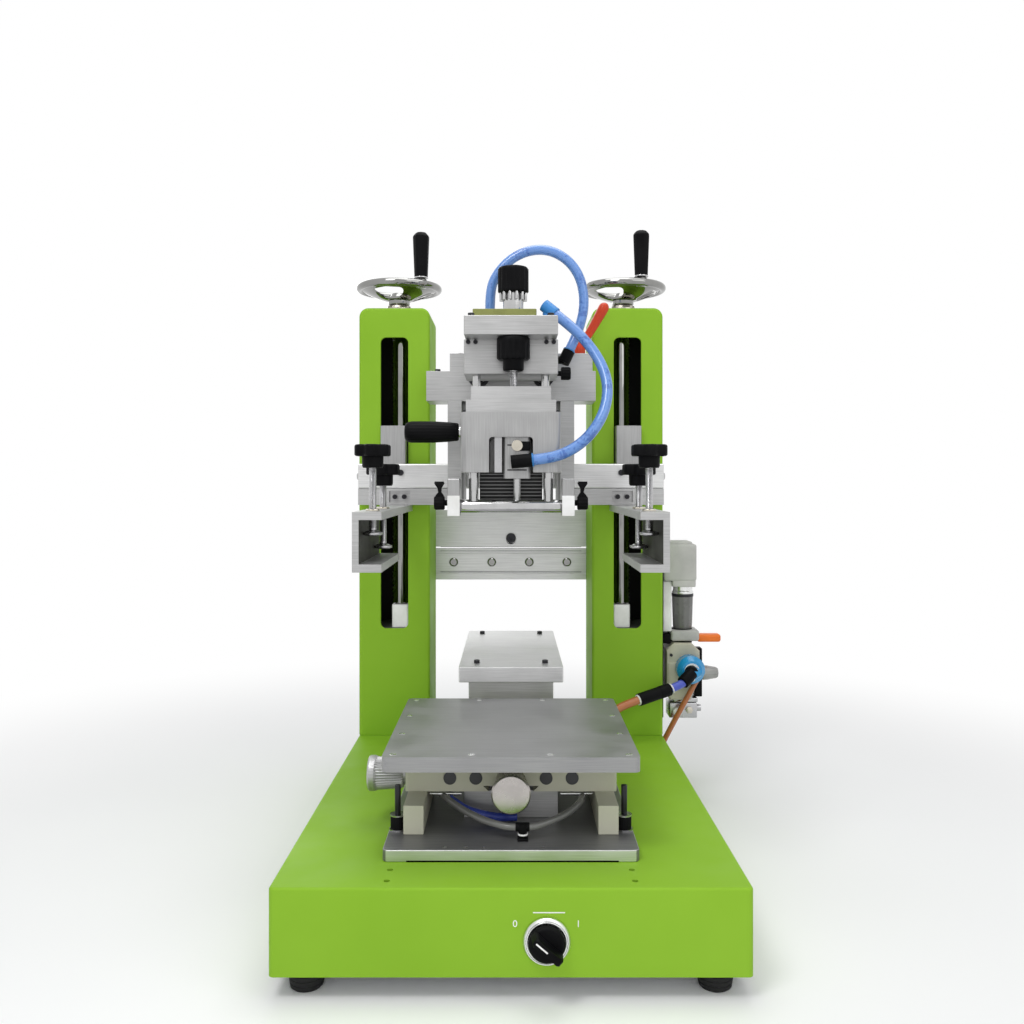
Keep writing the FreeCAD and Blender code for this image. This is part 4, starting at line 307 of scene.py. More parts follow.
@dataclass(frozen=True)
class Moulded(Finish):
    """Moulded plastic or rubber with a fine spark-eroded grain."""

    low: float = 0.35
    high: float = 0.55
    grain: float = 1400.0
    relief: float = 0.25
    coat: float = 0.0
    shine: float = 0.3

    def write(self, tree: NodeTreeWriter) -> None:
        """A plain colour whose gloss drifts, with pits finer than a pin."""
        drift = tree.noise(45.0, 5.0)
        pale = tuple(min(1.0, part * 1.35 + 0.003) for part in self.colour)
        tree.link(tree.ramp(drift, 0.35, 0.75, self.colour, pale), "Color", tree.shader, "Base Color")
        tree.rough(drift, self.low, self.high)
        tree.bump(tree.noise(self.grain, 2.0), self.relief, 0.0001)
        tree.set(Coat_Weight=self.coat, Coat_Roughness=0.15, Specular_IOR_Level=self.shine)


BLACK_SHEET = PowderCoat("black_sheet", "black_plastic", (0.012, 0.012, 0.012), (0.008, 0.008, 0.008))
# Painted shade: a dark skin for the clamp channels' inner walls, where shade falls inside them.
CHANNEL_SHADE = PowderCoat("channel_liner", "rubber", (0.040, 0.040, 0.033), (0.030, 0.030, 0.025))
# A dark steel whose darkness is painted shade on the ribbed strip behind the head.
RIB_PAINTED_SHADE = Polished("oiled_steel", "steel", (0.15, 0.15, 0.15), 0.3, 0.45)
GREEN = PowderCoat("green_powder_coat", "green_paint", (0.262, 0.485, 0.034), (0.230, 0.440, 0.026))
ALUMINIUM = Brushed("machined_aluminium", "aluminium", (0.50, 0.50, 0.50), dark=(0.37, 0.37, 0.37))
PALE = Brushed("pale_milled_aluminium", "aluminium", (0.72, 0.72, 0.72), dark=(0.56, 0.56, 0.56))
ALUMINIUM_UP = Brushed("drawn_aluminium_up", "aluminium", (0.42, 0.42, 0.42), Axis.Z, (0.31, 0.31, 0.31))
PLATE = Brushed("satin_plate", "aluminium_dark", (0.27, 0.27, 0.275), Axis.X, (0.20, 0.20, 0.205), 0.38, 0.55)
CHROME = Polished("bright_chrome", "chrome", (0.55, 0.55, 0.55))
MIRROR = Polished("mirror_chrome", "chrome", (0.30, 0.30, 0.29), 0.04, 0.12)
STEEL = Polished("ground_steel", "steel", (0.5, 0.5, 0.51), 0.18, 0.34)
DARK_STEEL = Polished("black_oxide_steel", "steel", (0.045, 0.045, 0.05), 0.3, 0.5)
ZINC = Brushed("zinc_sheet", "steel_zinc", (0.5, 0.51, 0.53), Axis.X, (0.38, 0.39, 0.42), 0.35, 0.5)
RING = Polished("switch_ring", "bezel", (0.78, 0.79, 0.78), 0.2, 0.3)
BLACK = Moulded("black_moulding", "black_plastic", (0.003, 0.003, 0.0035), shine=0.06)
RUBBER = Moulded("foot_rubber", "rubber", (0.014, 0.014, 0.014), 0.7, 0.9, 900.0, 0.4)
NYLON = Moulded("white_nylon", "nylon", (0.76, 0.76, 0.74), 0.35, 0.5)
CREAM = PowderCoat("cream_anodised", "cream", (0.58, 0.575, 0.465), (0.49, 0.485, 0.385), 1100.0)
CAP = Moulded("yellow_green_plate", "cap", (0.20, 0.215, 0.06), 0.2, 0.35, coat=0.1)
ORANGE = Moulded("orange_lever", "orange", (0.48, 0.04, 0.012), 0.25, 0.4, coat=0.1, shine=0.2)
HOSE = Braided("light_blue_hose", "hose", (0.115, 0.255, 0.60), (0.05, 0.14, 0.44))
RED_TUBE = Moulded("red_tube", "red_tube", (0.56, 0.060, 0.025), 0.2, 0.3, 500.0, 0.1, 0.2)
BLUE = Moulded("blue_fitting", "blue", (0.02, 0.16, 0.42), 0.25, 0.4, coat=0.3)
GREY = Moulded("grey_moulding", "grey_plastic", (0.42, 0.42, 0.40), 0.4, 0.6)
NICKEL = Polished("nickel_brass", "brass", (0.62, 0.58, 0.5), 0.15, 0.3)
PLATE_TOP = Brushed("worn_table_plate", "aluminium_dark", (0.34, 0.34, 0.345), Axis.X, (0.275, 0.275, 0.28), 0.34, 0.5)
TURNED = Turned("turned_knob_face", "aluminium", (0.52, 0.49, 0.47), Axis.Y, (0.0, 0.0, 107.0 * MM))
GREY_DARK = Moulded("dark_grey_plug", "grey_plastic", (0.06, 0.06, 0.065), 0.5, 0.7)
BLUE_DEEP = Moulded("deep_blue_tube", "blue", (0.03, 0.05, 0.28), 0.2, 0.35, coat=0.2)
CLEAR = Moulded("clear_tube", "grey_plastic", (0.30, 0.30, 0.29), 0.12, 0.25, 500.0, 0.1, 0.6)
SMOKE = Moulded("smoky_bowl", "grey_plastic", (0.13, 0.13, 0.125), 0.2, 0.35, 500.0, 0.1, 0.5)
BLUE_LINK = Moulded("violet_blue_tube", "blue", (0.07, 0.10, 0.50), 0.25, 0.4, coat=0.2)
BEIGE = Moulded("beige_moulding", "grey_plastic", (0.47, 0.45, 0.36), 0.4, 0.55)
TAB = Moulded("orange_tab", "orange", (0.78, 0.17, 0.02), 0.3, 0.45)
BLUE_BRIGHT = Moulded("blue_collar", "blue", (THINNEST, 0.26, 0.55), 0.2, 0.35, coat=0.5)


def ends(node: str) -> tuple[Vector, Vector]:
    """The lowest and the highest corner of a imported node, in millimetres."""
    low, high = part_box(node)
    return Vector(low) / MM, Vector(high) / MM


def corner(node: str, high: bool) -> Vector:
    """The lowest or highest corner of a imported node, in millimetres."""
    return ends(node)[1 if high else 0]


def centre(node: str) -> Vector:
    """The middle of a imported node's box, in millimetres."""
    low, high = ends(node)
    return (low + high) / 2


def foot_of(node: str) -> Vector:
    """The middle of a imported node's lower face, in millimetres."""
    middle = centre(node)
    return Vector((middle.x, middle.y, corner(node, False).z))


def place(mesh: bpy.types.Mesh, name: str, finish: Finish, body: str, replaces: tuple[str, ...] = (),
          sharp: float = 32.0) -> bpy.types.Object:
    """Put a finished mesh on its body.

    Args:
        mesh: the mesh, already where it belongs.
        name: the piece's name.
        finish: its surface.
        body: the body that carries it.
        replaces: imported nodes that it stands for.
        sharp: edges sharper than this many degrees stay crisp.

    Returns:
        The new object.
    """
    piece = bpy.data.objects.new(name, mesh)
    bpy.context.scene.collection.objects.link(piece)
    if not mesh.materials:
        mesh.materials.append(finish.material())
    mesh.shade_smooth()
    if sharp:
        mesh.set_sharp_from_angle(angle=math.radians(sharp))
    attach(piece, body)
    if replaces:
        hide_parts(*replaces)
    LOG.info("%s on %s, %d faces", name, body, len(mesh.polygons))
    return piece


def to_mesh(work: bmesh.types.BMesh, name: str) -> bpy.types.Mesh:
    """Close a working mesh into a named one in metres, with its faces turned outwards."""
    bmesh.ops.remove_doubles(work, verts=work.verts, dist=SAME_SPOT)
    bmesh.ops.recalc_face_normals(work, faces=work.faces)
    mesh = bpy.data.meshes.new(name)
    work.to_mesh(mesh)
    work.free()
    mesh.transform(Matrix.Scale(MM, 4))
    return mesh


def put(work: bmesh.types.BMesh, name: str, finish: Finish, body: str, replaces: tuple[str, ...] = (),
        sharp: float = 32.0) -> bpy.types.Object:
    """Close a working mesh and put it on its body; the arguments are place()'s."""
    return place(to_mesh(work, name), name, finish, body, replaces, sharp)


def body_of_node(node: str) -> str:
    """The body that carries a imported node."""
    for body, members in frame["record"]["behaviour"]["bodies"].items():
        if node in members:
            return body
    raise KeyError(node)


def islands(work: bmesh.types.BMesh) -> list[list[bmesh.types.BMFace]]:
    """The faces of each separate solid in a working mesh."""
    left = set(work.faces)
    found = []
    while left:
        seed = left.pop()
        group = [seed]
        stack = [seed]
        while stack:
            for edge in stack.pop().edges:
                for face in edge.link_faces:
                    if face in left:
                        left.remove(face)
                        group.append(face)
                        stack.append(face)
        found.append(group)
    return found


Choice = Callable[[Vector, Vector], int]
Test = Callable[[Vector, Vector], bool]


def dressed(node: str, finish: Finish, bevel: float = 0.5, extra: tuple[Finish, ...] = (),
            chooser: Choice | None = None, dropped: Test | None = None) -> bpy.types.Object:
    """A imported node's own shape with eased edges and a real finish.

    Args:
        node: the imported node.
        finish: its surface.
        bevel: width of the eased edges, in millimetres.
        extra: further finishes that some of its solids have.
        chooser: gives the finish's number for a solid from its middle and its size in millimetres.
        dropped: true for the middle and size of a solid that another piece stands for.

    Returns:
        The piece that replaces the node.
    """
    work = bmesh.new()
    work.from_mesh(frame["nodes"][node].data)
    bmesh.ops.remove_doubles(work, verts=work.verts, dist=WELD)
    bmesh.ops.dissolve_limit(work, angle_limit=FLAT, verts=work.verts, edges=work.edges,
                             delimit={"NORMAL"})
    if chooser or dropped:
        for group in islands(work):
            spots = [vertex.co for face in group for vertex in face.verts]
            low = Vector([min(spot[axis] for spot in spots) for axis in range(3)]) / MM
            high = Vector([max(spot[axis] for spot in spots) for axis in range(3)]) / MM
            if dropped and dropped((low + high) / 2, high - low):
                bmesh.ops.delete(work, geom=group, context="FACES")
                continue
            if chooser:
                number = chooser((low + high) / 2, high - low)
                for face in group:
                    face.material_index = number
    mesh = bpy.data.meshes.new(node + "_dressed")
    work.to_mesh(mesh)
    work.free()
    for skin in (finish, *extra):
        mesh.materials.append(skin.material())
    piece = place(mesh, node + "_dressed", finish, body_of_node(node), (node,), 0.0 if bevel else 35.0)
    if bevel:
        ease = piece.modifiers.new("eased_edges", "BEVEL")
        ease.width = bevel * MM
        ease.segments = 2
        ease.limit_method = "ANGLE"
        ease.angle_limit = CRISP
    even = piece.modifiers.new("even_shading", "WEIGHTED_NORMAL")
    even.keep_sharp = True
    return piece


def turned_to(axis: Vector) -> Matrix:
    """The rotation that brings Z to an axis."""
    return axis.normalized().to_track_quat("Z", "Y").to_matrix()


def ring_of(work: bmesh.types.BMesh, origin: Vector, turn: Matrix, height: float, reaches: list[float],
            start: float = 0.0) -> list[bmesh.types.BMVert]:
    """A ring of vertices round an axis, with a radius of its own at each step.

    Args:
        work: the working mesh.
        origin: where height zero lies.
        turn: the rotation from Z to the axis.
        height: the ring's height.
        reaches: the radius at each step.
        start: how far the first step is turned on, in steps.

    Returns:
        The ring's vertices.
    """
    ring = []
    for step, reach in enumerate(reaches):
        angle = TURN * (step + start) / len(reaches)
        ring.append(work.verts.new(origin + turn @ Vector((reach * math.cos(angle), reach * math.sin(angle), height))))
    return ring


def closed(work: bmesh.types.BMesh, rings: list[list[bmesh.types.BMVert]]) -> bmesh.types.BMesh:
    """Join rings of as many vertices each, one to the next, and close both ends."""
    count = len(rings[0])
    for lower, upper in zip(rings, rings[1:]):
        for step in range(count):
            after = (step + 1) % count
            work.faces.new((lower[step], lower[after], upper[after], upper[step]))
    work.faces.new(list(reversed(rings[0])))
    work.faces.new(rings[-1])
    return work


def lathe(profile: list[tuple[float, float]], origin: Vector, axis: Vector, steps: int = 64) -> bmesh.types.BMesh:
    """Turn a profile of (radius, height) points about an axis.

    Args:
        profile: the outline from one end of the axis to the other, or round a hollow ring back to its start.
        origin: where height zero lies.
        axis: the axis's direction.
        steps: facets round the turn.

    Returns:
        The turned shape.
    """
    work = bmesh.new()
    turn = turned_to(axis)
    rings = []
    for radius, height in profile:
        if radius < SAME_SPOT:
            rings.append([work.verts.new(origin + turn @ Vector((0, 0, height)))])
            continue
        rings.append(ring_of(work, origin, turn, height, [radius] * steps))
    for lower, upper in zip(rings, rings[1:]):
        for step in range(steps):
            after = (step + 1) % steps
            corners = [lower[step % len(lower)], lower[after % len(lower)], upper[after % len(upper)],
                       upper[step % len(upper)]]
            unique = list(dict.fromkeys(corners))
            if len(unique) > 2:
                work.faces.new(unique)
    hollow = (Vector(profile[0]) - Vector(profile[-1])).length < SAME_SPOT
    for ring, flip in ((rings[0], True), (rings[-1], False)):
        if len(ring) > 1 and not hollow:
            work.faces.new(list(reversed(ring)) if flip else ring)
    return work


def tube(inner: float, outer: float, low: float, high: float) -> list[tuple[float, float]]:
    """The lathe profile of a plain ring."""
    return [(inner, low), (outer, low), (outer, high), (inner, high), (inner, low)]


def disc(radius: float, low: float, high: float) -> list[tuple[float, float]]:
    """The lathe profile of a plain round slab or bar."""
    return [(0.0, low), (radius, low), (radius, high), (0.0, high)]


def rounded_profile(points: list[tuple[float, float]], radius: float, steps: int = 4) -> list[tuple[float, float]]:
    """Ease every inner corner of a lathe profile with a short curve.

    Args:
        points: the sharp outline.
        radius: the largest easing; short edges get less.
        steps: points in each curve.

    Returns:
        The eased outline.
    """
    eased = [points[0]]
    for before, here, after in zip(points, points[1:], points[2:]):
        a, b, c = Vector(before), Vector(here), Vector(after)
        cut = min(radius, (a - b).length / 2.2, (c - b).length / 2.2)
        first = b + (a - b).normalized() * cut
        last = b + (c - b).normalized() * cut
        for step in range(steps + 1):
            t = step / steps
            spot = first * (1 - t) ** 2 + b * 2 * t * (1 - t) + last * t ** 2
            eased.append((spot.x, spot.y))
    eased.append(points[-1])
    return eased


def merge(first: bmesh.types.BMesh, second: bmesh.types.BMesh) -> bmesh.types.BMesh:
    """Add the second working mesh to the first and free it."""
    scratch = bpy.data.meshes.new("scratch")
    second.to_mesh(scratch)
    second.free()
    first.from_mesh(scratch)
    bpy.data.meshes.remove(scratch)
    return first


@dataclass(frozen=True)
class Lamp:
    """A square soft lamp: its place, the spot it faces, its power and width, and whether bright metal mirrors it."""

    name: str
    spot: Point
    aim: Point
    power: float
    width: float
    mirrored: bool = True


@dataclass
class Studio:
    """Floor, soft lamps and the camera at the photograph's place."""

    distance: float = 0.8354
    eye: float = 0.321
    lens: float = 33.4
    shift_x: float = 0.001
    shift_y: float = -0.0303
    floor_size: float = 6.0
    shadow_reach: float = 0.34
    fade_reach: float = 0.95
    sky: float = 0.34
    lamps: tuple[Lamp, ...] = (
        Lamp("key", (-0.5, -0.9, 1.5), (0.0, 0.0, 0.321), 8.0, 0.5),
        Lamp("fill", (0.8, -0.8, 1.1), (0.0, 0.0, 0.321), 2.5, 0.8),
        Lamp("front", (0.05, -1.2, 0.45), (0.0, -0.25, 0.03), 3.6, 0.7, False),
        Lamp("top", (0.1, 0.05, 1.45), (0.0, -0.1, 0.2), 7.2, 0.9),
        Lamp("rear", (-0.5, 1.2, 0.9), (0.0, 0.0, 0.321), 3.0, 0.8),
    )

    def build(self) -> None:
        """Make the world, the floor, the lamps and the camera."""
        self.make_world()
        self.make_floor()
        for lamp in self.lamps:
            self.make_lamp(lamp)
        self.make_camera()
        bpy.context.scene.view_settings.view_transform = "Standard"

    def make_world(self) -> None:
        """An even sky that the camera and bright metal see as white."""
        world = bpy.data.worlds.new("studio_sky")
        bpy.context.scene.world = world
        world.use_nodes = True
        tree = world.node_tree
        tree.nodes.clear()
        output = tree.nodes.new("ShaderNodeOutputWorld")
        light = tree.nodes.new("ShaderNodeBackground")
        light.inputs["Color"].default_value = (0.86, 0.88, 0.9, 1.0)
        light.inputs["Strength"].default_value = self.sky
        seen = tree.nodes.new("ShaderNodeBackground")
        seen.inputs["Color"].default_value = (1.0, 1.0, 1.0, 1.0)
        path = tree.nodes.new("ShaderNodeLightPath")
        mix = tree.nodes.new("ShaderNodeMixShader")
        either = tree.nodes.new("ShaderNodeMath")
        either.operation = "ADD"
        plain = tree.nodes.new("ShaderNodeMath")
        plain.operation = "ADD"
        plain.use_clamp = True
        tree.links.new(path.outputs["Is Camera Ray"], either.inputs[0])
        tree.links.new(path.outputs["Is Glossy Ray"], either.inputs[1])
        tree.links.new(either.outputs[0], plain.inputs[0])
        tree.links.new(path.outputs["Is Transmission Ray"], plain.inputs[1])
        tree.links.new(plain.outputs[0], mix.inputs[0])
        tree.links.new(light.outputs[0], mix.inputs[1])
        tree.links.new(seen.outputs[0], mix.inputs[2])
        tree.links.new(mix.outputs[0], output.inputs[0])

    def make_floor(self) -> None:
        """A pale plain floor that takes the press's shadow."""
        half = self.floor_size / 2
        mesh = bpy.data.meshes.new("floor")
        mesh.from_pydata([(-half, -half, 0), (half, -half, 0), (half, half, 0), (-half, half, 0)], [],
                         [(0, 1, 2, 3)])
        floor = bpy.data.objects.new("floor", mesh)
        bpy.context.scene.collection.objects.link(floor)
        skin = bpy.data.materials.new("pale_floor")
        tree = NodeTreeWriter(skin)
        tree.link(tree.ramp(tree.noise(3.0, 2.0), 0.3, 0.7, (0.93, 0.93, 0.93), (0.96, 0.96, 0.96)), "Color",
                  tree.shader, "Base Color")
        tree.set(Roughness=0.9, Specular_IOR_Level=0.1)
        self.fade_floor(tree)
        mesh.materials.append(skin)

    def fade_floor(self, tree: NodeTreeWriter) -> None:
        """Turn the floor into the plain white backdrop away from the press."""
        nodes, links = tree.tree.nodes, tree.tree.links
        reach = nodes.new("ShaderNodeVectorMath")
        reach.operation = "LENGTH"
        tree.link(tree.coordinates, "Object", reach, 0)
        share = nodes.new("ShaderNodeMapRange")
        share.interpolation_type = "SMOOTHSTEP"
        share.inputs["From Min"].default_value = self.shadow_reach
        share.inputs["From Max"].default_value = self.fade_reach
        tree.link(reach, "Value", share, "Value")
        white = nodes.new("ShaderNodeEmission")
        white.inputs["Color"].default_value = (1.0, 1.0, 1.0, 1.0)
        white.inputs["Strength"].default_value = 1.0
        mix = nodes.new("ShaderNodeMixShader")
        tree.link(share, "Result", mix, 0)
        links.new(tree.shader.outputs["BSDF"], mix.inputs[1])
        links.new(white.outputs["Emission"], mix.inputs[2])
        links.new(mix.outputs["Shader"], tree.output.inputs["Surface"])

    def make_lamp(self, lamp: Lamp) -> None:
        """One lamp, turned to face its spot."""
        data = bpy.data.lights.new(lamp.name, "AREA")
        data.energy = lamp.power
        data.size = lamp.width
        holder = bpy.data.objects.new(lamp.name, data)
        holder.location = lamp.spot
        holder.visible_glossy = lamp.mirrored
        holder.rotation_euler = (Vector(lamp.aim) - Vector(lamp.spot)).to_track_quat("-Z", "Y").to_euler()
        bpy.context.scene.collection.objects.link(holder)

    def make_camera(self) -> None:
        """The level camera in front of the press."""
        data = bpy.data.cameras.new("camera")
        data.sensor_width = 36.0
        data.lens = self.lens
        data.shift_x = self.shift_x
        data.shift_y = self.shift_y
        camera = bpy.data.objects.new("camera", data)
        camera.location = (0.0, -self.distance, self.eye)
        camera.rotation_euler = (math.pi / 2, 0.0, 0.0)
        bpy.context.scene.collection.objects.link(camera)
        bpy.context.scene.camera = camera


class Screw(Enum):
    """The kinds of fastener on the press."""

    SOCKET = "socket_cap"
    BUTTON = "button_head"
    SUNK = "countersunk"


@dataclass(frozen=True)
class ScrewSpot:
    """One fastener: where its head sits, which way it faces and its head's radius in millimetres."""

    at: Point
    facing: Point
    radius: float


@dataclass
class ScrewSet:
    """Like fasteners on one body, set out by geometry nodes and turned into one mesh."""

    name: str
    kind: Screw
    body: str
    finish: Finish
    spots: list[ScrewSpot] = field(default_factory=list)

    def add(self, at: Point, facing: Point, radius: float) -> None:
        """Note one more fastener."""
        self.spots.append(ScrewSpot(at, facing, radius))

    def head(self) -> bpy.types.Mesh:
        """A head of radius one that stands on zero and faces +Z, with its drive cut in."""
        shapes = {
            Screw.SOCKET: ([(1.0, 0.0), (1.0, 1.0), (0.92, 1.1)], 0.52, 0.6),
            Screw.BUTTON: ([(1.0, 0.0), (0.98, 0.12), (0.86, 0.38), (0.66, 0.52)], 0.4, 0.3),
            Screw.SUNK: ([(1.0, 0.0), (0.99, 0.05), (0.9, 0.07)], 0.42, 0.04),
        }
        rim, reach, depth = shapes[self.kind]
        steps = 24
        work = bmesh.new()
        rings = []
        for radius, height in rim:
            rings.append(ring_of(work, Vector(), Matrix.Identity(3), height, [radius] * steps))
        top = rim[-1][1]
        sector = TURN / 6
        folds = [(TURN * step / steps) % sector - sector / 2 for step in range(steps)]
        socket = [reach * math.cos(sector / 2) / math.cos(fold) for fold in folds]
        for height in (top, top - depth):
            rings.append(ring_of(work, Vector(), Matrix.Identity(3), height, socket))
        closed(work, rings)
        bmesh.ops.recalc_face_normals(work, faces=work.faces)
        mesh = bpy.data.meshes.new(self.name + "_head")
        work.to_mesh(mesh)
        work.free()
        mesh.shade_smooth()
        mesh.set_sharp_from_angle(angle=math.radians(30.0))
        return mesh

    def tree(self, source: bpy.types.Object) -> bpy.types.NodeTree:
        """Geometry nodes: an instance on each point, turned to its facing, made real and coloured."""
        tree = bpy.data.node_groups.new(self.name + "_nodes", "GeometryNodeTree")
        tree.interface.new_socket("Points", in_out="INPUT", socket_type="NodeSocketGeometry")
        size = tree.interface.new_socket("Head scale", in_out="INPUT", socket_type="NodeSocketFloat")
        size.default_value = 1.0
        tree.interface.new_socket("Screws", in_out="OUTPUT", socket_type="NodeSocketGeometry")
        names = ("NodeGroupInput", "GeometryNodeObjectInfo", "GeometryNodeInputNamedAttribute",
                 "FunctionNodeAlignRotationToVector", "GeometryNodeInputNamedAttribute", "ShaderNodeMath",
                 "GeometryNodeMeshToPoints", "GeometryNodeInstanceOnPoints", "GeometryNodeRealizeInstances",
                 "GeometryNodeSetMaterial", "NodeGroupOutput")
        (inputs, info, facing, align, radius, scaled, points, spread, real, skin,
         output) = [tree.nodes.new(kind) for kind in names]
        info.inputs["Object"].default_value = source
        facing.data_type = "FLOAT_VECTOR"
        facing.inputs["Name"].default_value = "facing"
        radius.data_type = "FLOAT"
        radius.inputs["Name"].default_value = "head_radius"
        scaled.operation = "MULTIPLY"
        align.axis = "Z"
        skin.inputs["Material"].default_value = self.finish.material()
        joins = ((inputs, "Points", points, "Mesh"), (points, "Points", spread, "Points"),
                 (info, "Geometry", spread, "Instance"), (facing, "Attribute", align, "Vector"),
                 (align, "Rotation", spread, "Rotation"), (radius, "Attribute", scaled, 0),
                 (inputs, "Head scale", scaled, 1), (scaled, 0, spread, "Scale"),
                 (spread, "Instances", real, "Geometry"), (real, "Geometry", skin, "Geometry"),
                 (skin, "Geometry", output, "Screws"))
        for start, out, end, into in joins:
            tree.links.new(start.outputs[out], end.inputs[into])
        return tree

    def build(self) -> bpy.types.Object:
        """Make the set's one mesh.

        Returns:
            The finished piece, riding on its body.
        """
        source = bpy.data.objects.new(self.name + "_source", self.head())
        bpy.context.scene.collection.objects.link(source)
        cloud = bpy.data.meshes.new(self.name + "_points")
        cloud.from_pydata([Vector(spot.at) * MM for spot in self.spots], [], [])
        cloud.attributes.new("facing", "FLOAT_VECTOR", "POINT")
        cloud.attributes.new("head_radius", "FLOAT", "POINT")
        for index, spot in enumerate(self.spots):
            cloud.attributes["facing"].data[index].vector = spot.facing
            cloud.attributes["head_radius"].data[index].value = spot.radius * MM
        holder = bpy.data.objects.new(self.name + "_points", cloud)
        bpy.context.scene.collection.objects.link(holder)
        spread = holder.modifiers.new("screws", "NODES")
        spread.node_group = self.tree(source)
        sockets = {item.name: item.identifier for item in spread.node_group.interface.items_tree}
        spread[sockets["Head scale"]] = 1.0
        graph = bpy.context.evaluated_depsgraph_get()
        mesh = bpy.data.meshes.new_from_object(holder.evaluated_get(graph), depsgraph=graph)
        mesh.name = self.name
        bpy.data.objects.remove(holder)
        bpy.data.objects.remove(source)
        return place(mesh, self.name, self.finish, self.body)


def threaded(start: Vector, axis: Vector, radius: float, length: float, pitch: float, depth: float,
             steps: int = 24) -> bmesh.types.BMesh:
    """A screw thread: a round bar whose surface winds up in a helix.

    Args:
        start: the middle of the lower end.
        axis: the direction of the bar.
        radius: the crest's radius.
        length: the bar's length.
        pitch: the rise of one turn.
        depth: crest to root.
        steps: facets round the bar.

    Returns:
        The closed thread.
    """
    work = bmesh.new()
    turn = turned_to(axis)
    rows = max(2, int(length / (pitch / 4) + HALF_UP))
    rings = []
    for row in range(rows + 1):
        height = length * row / rows
        phases = [(height / pitch - step / steps) % 1.0 for step in range(steps)]
        rings.append(ring_of(work, start, turn, height, [radius - depth * abs(2 * phase - 1) for phase in phases]))
    return closed(work, rings)


def grooved(profile: list[tuple[float, float, float]], origin: Vector, axis: Vector, teeth: int,
            depth: float, per_tooth: int = 4) -> bmesh.types.BMesh:
    """A round knob whose side carries grip flutes.

    Args:
        profile: (radius, height, share of the flute's depth) from foot to crown.
        origin: where height zero lies.
        axis: the knob's axis.
        teeth: flutes round the side.
        depth: a flute's full depth.
        per_tooth: facets in one flute.

    Returns:
        The knob.
    """
    work = bmesh.new()
    turn = turned_to(axis)
    waves = [0.5 - 0.5 * math.cos(TURN * step / per_tooth) for step in range(teeth * per_tooth)]
    rings = []
    for radius, height, share in profile:
        reaches = [max(radius - depth * share * wave, THINNEST) for wave in waves]
        rings.append(ring_of(work, origin, turn, height, reaches))
    return closed(work, rings)


def bar(start: Point, end: Point, radius: float, ease: float = 0.4, steps: int = 48) -> bmesh.types.BMesh:
    """A round bar between two points, with eased rims."""
    run = Vector(end) - Vector(start)
    profile = disc(radius, 0.0, run.length)
    return lathe(rounded_profile(profile, ease, 2), Vector(start), run, steps)


def rounded_box(low: Point, high: Point, ease: float, segments: int = 3) -> bmesh.types.BMesh:
    """A box between two corners with every edge rounded."""
    work = bmesh.new()
    bmesh.ops.create_cube(work, size=1.0)
    size = Vector(high) - Vector(low)
    middle = (Vector(high) + Vector(low)) / 2
    for vertex in work.verts:
        vertex.co = Vector([vertex.co[axis] * size[axis] for axis in range(3)]) + middle
    bmesh.ops.bevel(work, geom=list(work.edges), offset=ease, segments=segments, affect="EDGES", profile=0.5)
    return work


def extruded(outline: list[tuple[float, float]], low: float, high: float, ease: float, origin: Vector,
             axis: Vector) -> bmesh.types.BMesh:
    """A flat outline drawn out along an axis, with eased rims.

    Args:
        outline: corners in the plane across the axis.
        low: where the shape starts along the axis.
        high: where it ends.
        ease: size of the eased rims.
        origin: the outline's middle.
        axis: the direction of drawing.

    Returns:
        The closed shape.
    """
    work = bmesh.new()
    turn = turned_to(axis)
    middle = Vector((sum(x for x, _ in outline) / len(outline), sum(y for _, y in outline) / len(outline)))
    reach = max((Vector(spot) - middle).length for spot in outline)
    rings = []
    for height, shrink in ((low, ease), (low + ease, 0.0), (high - ease, 0.0), (high, ease)):
        share = 1 - shrink / reach
        ring = []
        for x, y in outline:
            spot = middle + (Vector((x, y)) - middle) * share
            ring.append(work.verts.new(origin + turn @ Vector((spot.x, spot.y, height))))
        rings.append(ring)
    return closed(work, rings)


def swept(spots: list[Vector], radii: list[float], steps: int = 20, flat: float = 1.0) -> bmesh.types.BMesh:
    """A tapering round rod through a few spots, closed at both ends.

    Args:
        spots: the middle line.
        radii: the radius at each spot.
        steps: facets round the rod.
        flat: the section's height as a share of its width.

    Returns:
        The rod.
    """
    work = bmesh.new()
    rings = []
    for index, (spot, radius) in enumerate(zip(spots, radii)):
        ahead = spots[min(index + 1, len(spots) - 1)] - spots[max(index - 1, 0)]
        side = Vector((0, 0, 1)).cross(ahead)
        side = side.normalized() if side.length > 1e-9 else Vector((1, 0, 0))
        up = ahead.cross(side).normalized()
        ring = []
        for step in range(steps):
            angle = TURN * step / steps
            ring.append(work.verts.new(spot + side * radius * math.cos(angle) + up * radius * flat * math.sin(angle)))
        rings.append(ring)
    return closed(work, rings)


def numeral(text: str, at: Point, height: float, name: str) -> bpy.types.Mesh:
    """A plain printed numeral that faces the front.

    Args:
        text: the numeral.
        at: its middle on the surface.
        height: height of the digits.
        name: the mesh's name.

    Returns:
        A thin mesh of the numeral.
    """
    curve = bpy.data.curves.new(name, "FONT")
    curve.body = text
    curve.size = height * MM / 0.7
    curve.align_x = "CENTER"
    curve.align_y = "CENTER"
    curve.extrude = 0.05 * MM
    holder = bpy.data.objects.new(name, curve)
    bpy.context.scene.collection.objects.link(holder)
    graph = bpy.context.evaluated_depsgraph_get()
    mesh = bpy.data.meshes.new_from_object(holder.evaluated_get(graph), depsgraph=graph)
    bpy.data.objects.remove(holder)
    mesh.transform(Matrix.Translation(Vector(at) * MM) @ Matrix.Rotation(math.pi / 2, 4, "X"))
    return mesh


